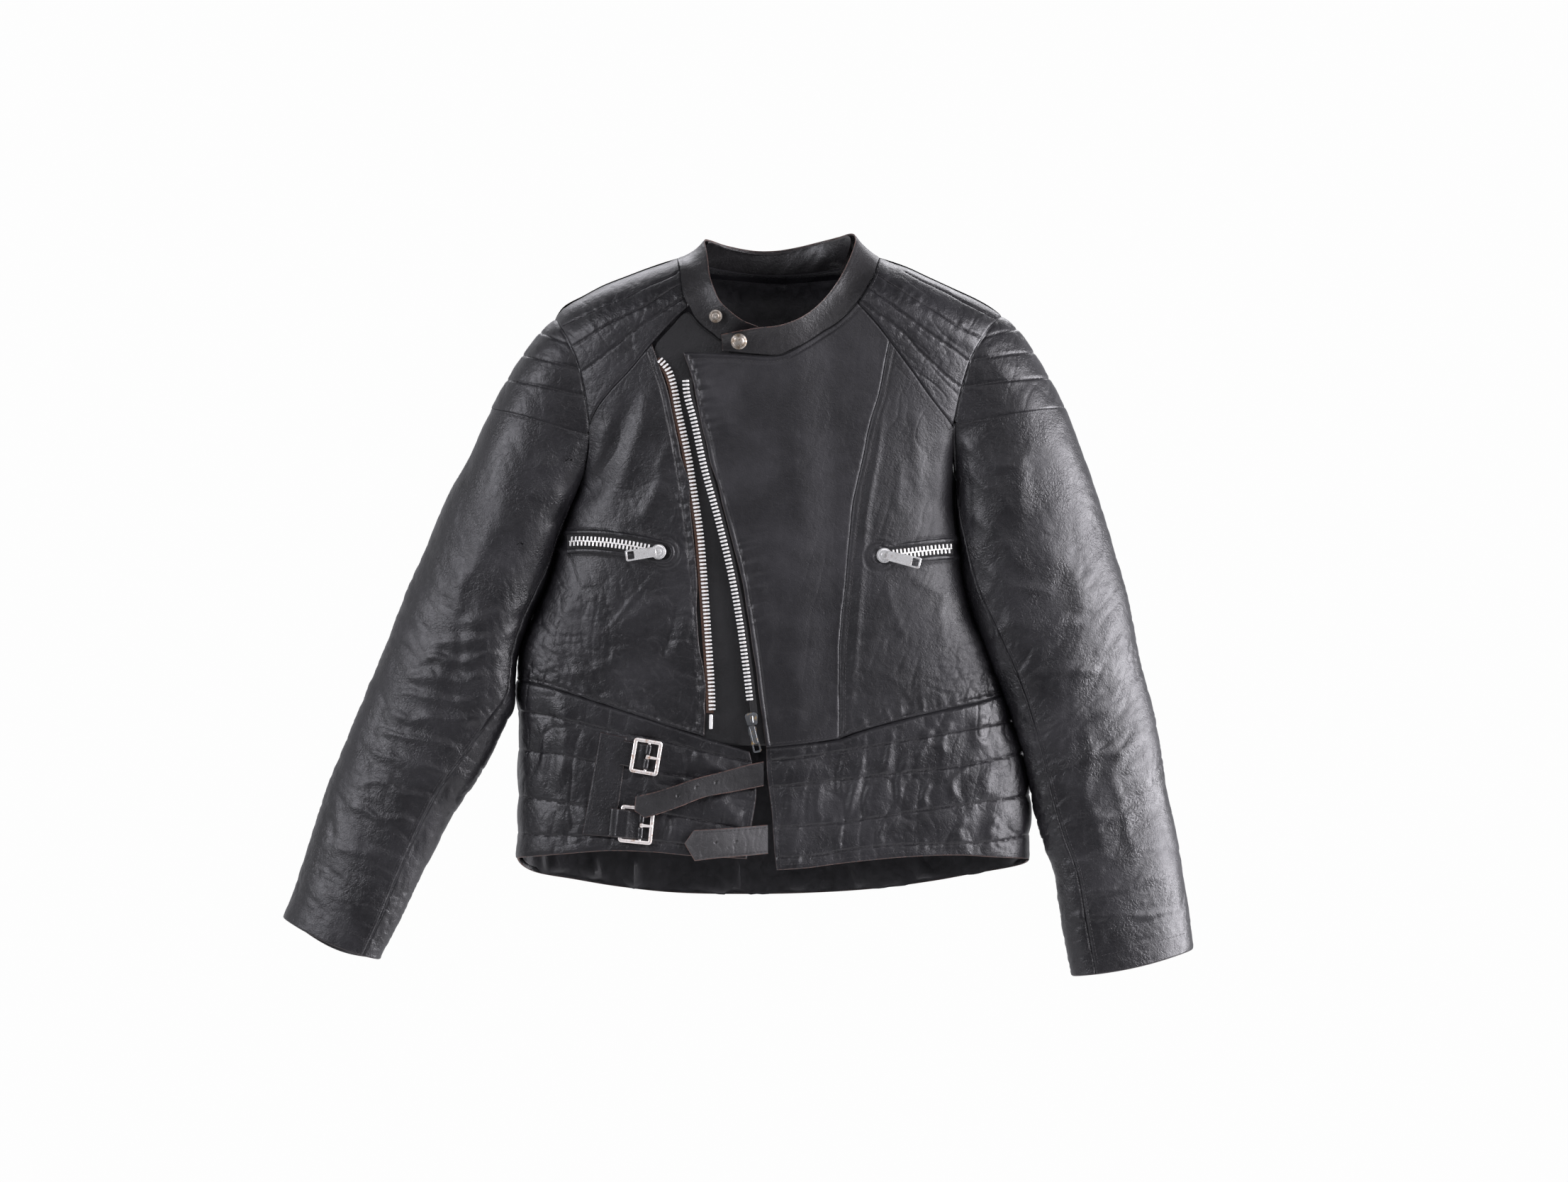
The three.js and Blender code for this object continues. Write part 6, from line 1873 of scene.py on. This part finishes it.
def pull_shape(w0, w1, length, depth):
    """A pull tab: a window at its far end and a raised rim; it hangs from the origin along -Y."""
    outer = np.array([
        (0, 0), (-w0 / 2 + 1, 0), (-w0 / 2, -1.2), (-w1 / 2, -length + 1.4), (-w1 / 2 + 1.2, -length),
        (0, -length), (w1 / 2 - 1.2, -length), (w1 / 2, -length + 1.4), (w0 / 2, -1.2), (w0 / 2 - 1, 0),
    ])
    win = 1.8
    top = -length + 8.5
    inner = np.array([
        (0, top), (-w1 / 2 + win + 0.6, top), (-w1 / 2 + win, top - 0.6),
        (-w1 / 2 + win, -length + win + 0.6),
        (-w1 / 2 + win + 0.6, -length + win), (0, -length + win), (w1 / 2 - win - 0.6, -length + win),
        (w1 / 2 - win, -length + win + 0.6), (w1 / 2 - win, top - 0.6), (w1 / 2 - win - 0.6, top),
    ])
    body = ring_plate(outer, inner, depth=depth, bevel=0.3)
    verts, faces = block(length=length - 11, width=0.9, height=0.5, cut=0.15)
    middle = (length - 11) / 2 + 1.5
    parts = [body]
    for x in (-w0 / 2 + 0.9, w0 / 2 - 0.9):
        ridge = np.column_stack([x + verts[:, 1], verts[:, 0] - middle, depth + verts[:, 2]])
        parts.append((ridge, faces))
    return merged(*parts)


def sliders():
    x, z = -25.3, -445.5
    y = on_front(x, z, lift(x))[1]
    shape = slider_shape(top=12.6, bottom=10.2, length=12.6, height=3.2)
    verts, faces = facing_out(shape, (x, y - 2.0, z), turn=0.13)
    add_piece(
        "main_slider", verts, faces, body="main_slider", slot="dark_metal", finish=ZINC,
        replaces=["main_zip_slider"],
    )
    pull = pull_shape(w0=6.4, w1=8.4, length=27, depth=1.7)
    verts, faces = facing_out(pull, (x - 0.3, y - 6.0, z - 6.5), turn=0.24)
    add_piece(
        "main_pull", verts, faces, body="main_pull", slot="dark_metal", finish=ZINC,
        replaces=["main_zip_pull"],
    )
    rim = [(0, 0), (6.9, 0), (7.4, 0.5), (7.4, 1.0), (6.7, 1.7), (6.5, 2.2)]
    face = [(5.6, 2.4), (5.2, 2.0), (3.0, 2.0), (2.6, 2.7), (0, 2.9)]
    pockets = (("right", -116.6, -281.5, HALF_PI - 0.14, 30), ("left", 105, -285, -HALF_PI + 0.24, 34))
    for key, x, z, turn, length in pockets:
        y = on_front(x, z)[1]
        verts, faces = facing_out(lathe(rim + face), (x, y - 4.4, z))
        add_piece(
            f"{key}_pocket_slider_disc", verts, faces, body=f"{key}_pocket_slider", slot="bright_metal",
            finish=PLATED, replaces=[f"{key}_pocket_slider"],
        )
        tab = pull_shape(w0=9.6, w1=11.2, length=length, depth=1.6)
        verts, faces = facing_out(tab, (x + math.copysign(2.5, x), y - 7.9, z), turn=-turn)
        add_piece(
            f"{key}_pocket_pull_tab", verts, faces, body=f"{key}_pocket_pull", slot="bright_metal",
            finish=PLATED, replaces=[f"{key}_pocket_pull"],
        )


def pocket_zips():
    for key, line, half in (("right", pocket_r, 8.0), ("left", pocket_l, 7.0)):
        s1 = line.length - 6
        a = teeth(line, s0=13, s1=s1, way=1, off=1.9, reach=(-0.7, 4.7))
        b = teeth(line, s0=13, s1=s1, way=-1, off=1.9, reach=(-0.7, 4.7), start=TOOTH_PITCH / 2)
        verts, faces = merged(a, b)
        add_piece(
            f"{key}_pocket_teeth", verts, faces, body="shell", slot="zip_metal", finish=NICKEL,
            replaces=[f"{key}_pocket_zip_teeth"],
        )
        tape(
            f"{key}_pocket_tape", line, s0=0, s1=line.length - 3, h0=-half, h1=half, off=0.7,
            thickness=0.6, body="shell", slot="zip_tape", finish=TAPE,
            replaces=[f"{key}_pocket_zip_tape"],
        )
        welt(key, line, half + 1.2)


def welt(key, line, half):
    """The turned leather lip that frames a pocket's zip, above it, round its blind end and below it."""
    top, bottom = line.shifted(half), line.shifted(-half)
    mouth = line.at(0.0)
    t = unit(line.at(0.01) - mouth)
    n = np.array([-t[1], t[0]])
    arc = [mouth + half * (math.cos(a) * n - math.sin(a) * t) for a in np.linspace(
        0.25, math.pi - 0.25, 9,
    )]
    upper, lower = (side.part(0.03, 0.97, 24).samples for side in (top, bottom))
    path = Line(np.vstack([upper[::-1], arc, lower]))
    s = np.linspace(0.5, path.length - 0.5, int(path.length / 1.6))
    o, _, across, out = skin_frames(path, s, h=0 * s, off=0.2)
    width = 2.5 + 0.3 * noise(s / 9, 0 * s, 5)
    height = 1.7 + 0.35 * noise(s / 5, 0 * s, 6)
    a = np.linspace(0, 2 * math.pi, 12, endpoint=False)
    ring = o[:, None] + across[:, None] * (np.cos(a) * width[:, None])[..., None]
    ring = ring + out[:, None] * (np.sin(a) * height[:, None])[..., None]
    add_piece(
        f"{key}_pocket_welt", ring.reshape(-1, 3), tube_faces(len(s), 12), body="shell", slot="leather",
        finish=BLACK,
    )


# ------------------------------------------------------------------ buckles, straps and snap
BUCKLES = {
    "upper": {
        "x": -129, "z": -482.8, "turn": -0.17, "w": 28.5, "h": 34.5, "bar": 1.2, "chape": (-24, 25),
        "over": False,
    },
    "lower": {
        "x": -138.3, "z": -549.5, "turn": -0.10, "w": 33.5, "h": 37, "bar": 4.5, "chape": (-27, 28),
        "over": True,
    },
}


def buckle_frame(w, h, bar, thick=3.0, rim=3.7):
    """A cast frame with rounded rim and a centre bar, lying in X and Y."""
    n = 9
    path = rounded(w=w - rim, h=h - rim, r=1.6, n=n)
    nxt, prev = np.roll(path, -1, 0), np.roll(path, 1, 0)
    t = unit(nxt - prev)
    side = np.column_stack([t[:, 1], -t[:, 0]])
    a = np.linspace(0, 2 * math.pi, 12, endpoint=False)
    cx = np.sign(np.cos(a)) * np.abs(np.cos(a)) ** 0.6
    cz = np.sign(np.sin(a)) * np.abs(np.sin(a)) ** 0.6
    rings = np.empty((len(path), 12, 3))
    rings[..., :2] = path[:, None] + side[:, None] * (cx * rim / 2)[None, :, None]
    rings[..., 2] = thick / 2 + cz * thick / 2
    frame_ring = rings.reshape(-1, 3), tube_faces(len(path), 12, closed=True)
    rod = block(length=h - rim, width=2.4, height=2.4, cut=0.7)
    stood = np.column_stack([bar + rod[0][:, 1], rod[0][:, 0], rod[0][:, 2] + thick / 2])
    return merged(frame_ring, (stood, rod[1]))


def prong_shape(length):
    """A prong: an eye round the bar, then a tapering pin with a blunt tip."""
    a = np.linspace(0, 2 * math.pi, 10, endpoint=False)
    eye = [(-0.8, 1.6, 0.9), (0, 2.2, 1.0), (1.6, 2.1, 1.0), (2.6, 1.5, 0.95)]
    pin = [(length * 0.6, 1.3, 0.9), (length - 1, 1.1, 0.8), (length - 0.2, 0.5, 0.4)]
    rows = eye + pin
    rings = [np.stack([x + 0 * a, w * np.cos(a), 1.0 + h * np.sin(a)], -1) for x, w, h in rows]
    return np.concatenate(rings), tube_faces(len(rows), 10)


def patch_relief(p, u, v):
    return broad(p[..., 0], p[..., 2], seed=57, height=0.25, size=30)


def fold_relief(p, u, v):
    return 0.15 * rolling(p[..., 0], p[..., 2], size=7, seed=118)


def buckles():
    e = edge
    patch = panel(
        "buckle_patch_leather", FRONT, e([(-174, -458.6), (-160, -461.5), (-148, -464)]),
        e([(-192, -559.5), (-176, -561), (-163.5, -561.5)]),
        e([(-192, -559.5), (-183, -510), (-174, -458.6)]),
        e([(-163.5, -561.5), (-156, -530), (-151, -494), (-148, -464)]), sides(FREE, FREE, FREE, FREE),
        thickness=1.6, relief=patch_relief, step=1.8, base=2.0, body="shell", slot="leather",
        finish=BLACK, replaces=["buckle_patch"],
    )
    rows = [
        Line([(-176, -469), (-183, -510), (-190, -555)]),
        Line([(-172, -468), (-179, -510), (-186, -555)]),
        Line([(-152, -469), (-155, -496), (-160, -530), (-166, -557)]),
        Line([(-172, -463.5), (-152, -467.5)]),
        Line([(-188, -556), (-168, -557.5)]),
    ]
    sew("buckle_patch_stitches", skin_of(patch), rows, "shell")
    for key, b in BUCKLES.items():
        y = on_front(b["x"], b["z"])[1]
        centre = (b["x"], y - 4.9, b["z"])
        verts, faces = facing_out(buckle_frame(w=b["w"], h=b["h"], bar=b["bar"]), centre, turn=b["turn"])
        add_piece(
            f"{key}_buckle_metal", verts, faces, body="shell", slot="buckle_metal", finish=BUCKLE,
            replaces=[f"{key}_buckle_frame"],
        )
        c, s = math.cos(b["turn"]), math.sin(b["turn"])
        pin_at = (b["x"] + b["bar"] * c, y - 8.5, b["z"] + b["bar"] * s)
        verts, faces = facing_out(prong_shape(length=b["w"] / 2 - b["bar"] - 0.4), pin_at, turn=b["turn"])
        add_piece(
            f"{key}_prong_metal", verts, faces, body=f"{key}_prong", slot="buckle_metal", finish=BUCKLE,
            replaces=[f"{key}_buckle_prong"],
        )
        x0, high = b["chape"]
        chape(key, b, y, x0, high)


def chape(key, b, y, x0, high):
    """The leather tab that holds a buckle: from the patch it folds round the bar, slit for the prong."""
    c, s = math.cos(b["turn"]), math.sin(b["turn"])
    x1 = b["bar"] - 2.6

    def place(lx, ly, out):
        return np.stack([b["x"] + lx * c - ly * s, y - out, b["z"] + lx * s + ly * c], -1)

    def chape_at(u, v, off):
        rise = mix(4.4, 6.2, smooth(0.55, 1.0, u))
        if b["over"]:
            rise = mix(3.6, 10.2, smooth(0.02, 0.3, u)) - 2.6 * smooth(0.5, 1.0, u)
        rise = rise + off
        return place(mix(x0, x1, u), mix(-high / 2, high / 2, v), rise)

    def bumps(p, u, v):
        h = 0.4 * np.exp(-(((u - 0.6) / 0.05) ** 2)) - 0.35 * np.exp(-(((u - 0.5) / 0.03) ** 2))
        return h + 0.4 * rolling(p[..., 0], p[..., 2], size=14, seed=117)

    sheet_piece(
        f"{key}_chape_leather", chape_at, stations(x1 - x0, step=1.2), stations(high, step=1.4),
        thickness=1.6, kinds=sides(FREE, FREE, PLAIN, PLAIN), relief=bumps, body="shell",
        slot="strap_leather", finish=POLISHED, replaces=[f"{key}_buckle_chape"],
    )
    for part, v0, v1 in (("lower", -high / 2, -1.7), ("upper", 1.7, high / 2)):

        def fold_at(u, v, off, v0=v0, v1=v1):
            turn = mix(1.12, 0.1, u) * math.pi
            r = 2.9 + off
            return place(b["bar"] + r * np.cos(turn), mix(v0, v1, v), 6.4 + r * np.sin(turn))

        sheet_piece(
            f"{key}_chape_{part}_fold", fold_at, np.linspace(0, 1, 19), stations(v1 - v0, step=1.2),
            thickness=1.3, kinds=sides(FREE, FREE, PLAIN, PLAIN), relief=fold_relief, body="shell",
            slot="strap_leather", finish=POLISHED,
        )


def strap(name, top, bottom, tip, root, offset, holes, node, stitched, finish=STRAP, cracks=0.35):
    """A leather strap with raw edges, stitched along the rows given; its root edge is left plain."""

    def bumps(p, u, v):
        x, z = p[..., 0], p[..., 2]
        h = cracks * creases(x, z, turn=86, size=5.5, stretch=4.0, seed=111)
        h = h + 0.5 * rolling(x, z, size=30, seed=113)
        for hx, hz in holes:
            r = np.hypot(x - hx, z - hz)
            h = h - 1.6 * np.exp(-((r / 1.5) ** 4)) + 0.25 * np.exp(-(((r - 2.4) / 0.7) ** 2))
        return h

    piece = panel(
        f"{name}_leather", FRONT, edge(top), edge(bottom), edge(tip, plain=True), edge(root),
        sides(CUT, CUT, CUT, PLAIN), thickness=2.0, relief=bumps, step=1.1,
        over=lambda x: offset(x) + 2.2, body=name, slot="strap_leather", finish=finish, replaces=[node],
    )
    sew(f"{name}_stitches", skin_of(piece), stitched, name, size=0.85)


def straps():
    upper_top = [
        (-138, -522), (-121, -518), (-102, -512), (-79, -504), (-56, -498), (-30, -491), (-13.5, -487.4),
    ]
    upper_bottom = [(-129, -543), (-118, -540), (-95, -532), (-72, -523), (-41, -517), (-13.5, -511.5)]
    strap(
        "upper_strap", upper_top, upper_bottom, tip=[(-129, -543), (-139, -536), (-138, -522)],
        root=[(-13.5, -511.5), (-13.5, -487.4)], offset=lambda x: mix(1.6, 12.4, smooth(-20, -118, x)),
        holes=[(-60, -508), (-79, -513), (-97, -521)], node="upper_strap",
        stitched=[Line(upper_top).shifted(-2.6), Line(upper_bottom).shifted(2.6)],
    )
    lower_top = [(-82, -555), (-50, -553), (-9.2, -549.6)]
    lower_bottom = [(-81, -585), (-56, -582), (-30, -580), (-9.2, -577.8)]
    strap(
        "lower_strap", lower_top, lower_bottom, tip=[(-81, -585), (-91, -568), (-82, -555)],
        root=[(-9.2, -577.8), (-9.2, -549.6)], offset=lambda x: mix(1.6, 3.2, smooth(-10, -60, x)),
        holes=[(-60, -567), (-40, -566)], node="lower_strap",
        stitched=[Line(lower_top).shifted(-2.6), Line(lower_bottom).shifted(2.6)], finish=OLD_STRAP,
        cracks=0.9,
    )


def snap():
    cap = [(0, 0), (7.2, 0), (7.8, 0.5), (7.85, 1.1), (7.3, 1.7)]
    cap += [(6.0, 2.1), (5.4, 1.7), (4.9, 2.1), (2.6, 2.6), (0, 2.8)]
    verts, faces = facing_out(lathe(cap), (-37.6, -96.6, -75.6))
    add_piece(
        "snap_cap", verts, faces, body="left_front", slot="brass", finish=SNAP,
        replaces=["collar_snap_cap"],
    )
    stud = [(0, 0), (6.2, 0), (6.5, 0.5), (6.3, 1.1), (5.2, 1.3), (4.6, 0.9)]
    stud += [(3.4, 0.9), (3.1, 1.6), (3.3, 2.9), (2.7, 3.3), (1.2, 3.2), (0, 2.7)]
    verts, faces = facing_out(lathe(stud), (-60.5, -87.2, -50.5))
    add_piece(
        "snap_stud", verts, faces, body="shell", slot="brass", finish=SNAP, replaces=["collar_stud"],
    )


# ------------------------------------------------------------------ stage, light and camera
def stage():
    """A pale floor out of the camera's view, so that the jacket hangs well above it."""
    size, z = 1.2, -1.4
    mesh = bpy.data.meshes.new("floor")
    mesh.from_pydata(
        [(-size, -size, z), (size, -size, z), (size, size, z), (-size, size, z)], [], [(0, 1, 2, 3)],
    )
    floor = bpy.data.objects.new("floor", mesh)
    bpy.context.scene.collection.objects.link(floor)
    pale = Graph("pale floor")
    mesh.materials.append(pale.finish(Base_Color=(0.8, 0.8, 0.79, 1), Roughness=0.7))


def area_light(name, place, aim, size, power, tone=(1, 1, 1)):
    data = bpy.data.lights.new(name, "AREA")
    data.shape = "RECTANGLE"
    data.size, data.size_y = size
    data.energy = power
    data.color = tone
    light = bpy.data.objects.new(name, data)
    light.location = place
    light.rotation_euler = (Vector(aim) - Vector(place)).to_track_quat("-Z", "Y").to_euler()
    bpy.context.scene.collection.objects.link(light)


def eased(tree, value, low, high, least, most):
    """A number that goes smoothly from least to most while value goes from low to high."""
    n = tree.nodes.new("ShaderNodeMapRange")
    n.interpolation_type = "SMOOTHSTEP"
    tree.links.new(value, n.inputs["Value"])
    for key, v in (("From Min", low), ("From Max", high), ("To Min", least), ("To Max", most)):
        n.inputs[key].default_value = v
    return n.outputs["Result"]


def room():
    """White behind the jacket for the camera; for the light, a dim room brighter aside and behind."""
    world = bpy.data.worlds.new("room")
    bpy.context.scene.world = world
    world.use_nodes = True
    tree = world.node_tree
    tree.nodes.clear()
    out = tree.nodes.new("ShaderNodeOutputWorld")
    choose = tree.nodes.new("ShaderNodeMixShader")
    seen, felt = tree.nodes.new("ShaderNodeBackground"), tree.nodes.new("ShaderNodeBackground")
    seen.inputs["Color"].default_value = (0.985, 0.985, 0.985, 1)
    felt.inputs["Color"].default_value = (0.95, 0.95, 1.0, 1)
    way, parts = tree.nodes.new("ShaderNodeTexCoord"), tree.nodes.new("ShaderNodeSeparateXYZ")
    tree.links.new(way.outputs["Generated"], parts.inputs[0])
    aside, total = tree.nodes.new("ShaderNodeMath"), tree.nodes.new("ShaderNodeMath")
    aside.operation = "ABSOLUTE"
    tree.links.new(parts.outputs["X"], aside.inputs[0])
    tree.links.new(
        eased(tree, aside.outputs[0], low=0.42, high=0.95, least=0.2, most=0.62), total.inputs[0],
    )
    tree.links.new(
        eased(tree, parts.outputs["Y"], low=0.0, high=0.8, least=0.0, most=0.35), total.inputs[1],
    )
    tree.links.new(total.outputs[0], felt.inputs["Strength"])
    path = tree.nodes.new("ShaderNodeLightPath")
    tree.links.new(path.outputs["Is Camera Ray"], choose.inputs[0])
    tree.links.new(felt.outputs[0], choose.inputs[1])
    tree.links.new(seen.outputs[0], choose.inputs[2])
    tree.links.new(choose.outputs[0], out.inputs["Surface"])


def lights():
    bpy.context.scene.view_settings.view_transform = "Standard"
    room()
    area_light(
        "window", place=(-3.1, -2.2, 1.0), aim=(0, 0, -0.3), size=(1.8, 2.2), power=78,
        tone=(0.96, 0.95, 1.03),
    )
    area_light(
        "side window", place=(3.0, -2.0, 0.75), aim=(0.1, 0, -0.35), size=(2.2, 1.8), power=92,
        tone=(0.98, 0.96, 1.02),
    )
    area_light(
        "far side", place=(3.7, -0.3, -0.3), aim=(0.1, 0, -0.35), size=(2.0, 2.4), power=235,
        tone=(0.98, 0.96, 1.02),
    )
    area_light(
        "back window", place=(-1.1, 3.4, 2.7), aim=(0, 0, -0.35), size=(1.6, 1.6), power=34,
        tone=(0.97, 0.96, 1.02),
    )
    area_light(
        "back side", place=(1.2, 3.6, 2.2), aim=(0, 0, -0.4), size=(1.4, 1.6), power=28,
        tone=(0.98, 0.97, 1.01),
    )
    area_light(
        "front", place=(0.3, -4.6, 1.9), aim=(0, 0, -0.3), size=(2.0, 1.2), power=16,
        tone=(1.0, 0.97, 1.03),
    )


CAMERA_LENS, CAMERA_SENSOR = 139.5, 36
CAMERA_PLACE = (0.0066, -6.05, -0.320)


def camera():
    data = bpy.data.cameras.new("camera")
    data.lens, data.sensor_width = CAMERA_LENS, CAMERA_SENSOR
    data.clip_end = 50
    cam = bpy.data.objects.new("camera", data)
    cam.location = CAMERA_PLACE
    cam.rotation_euler = (HALF_PI, 0, 0)
    bpy.context.scene.collection.objects.link(cam)
    bpy.context.scene.camera = cam


camera()
lights()
stage()
body_panels()
linings()
sleeve_panels()
collar()
main_zip()
pocket_zips()
sliders()
buckles()
straps()
snap()
sew_body()
sew_sleeves()
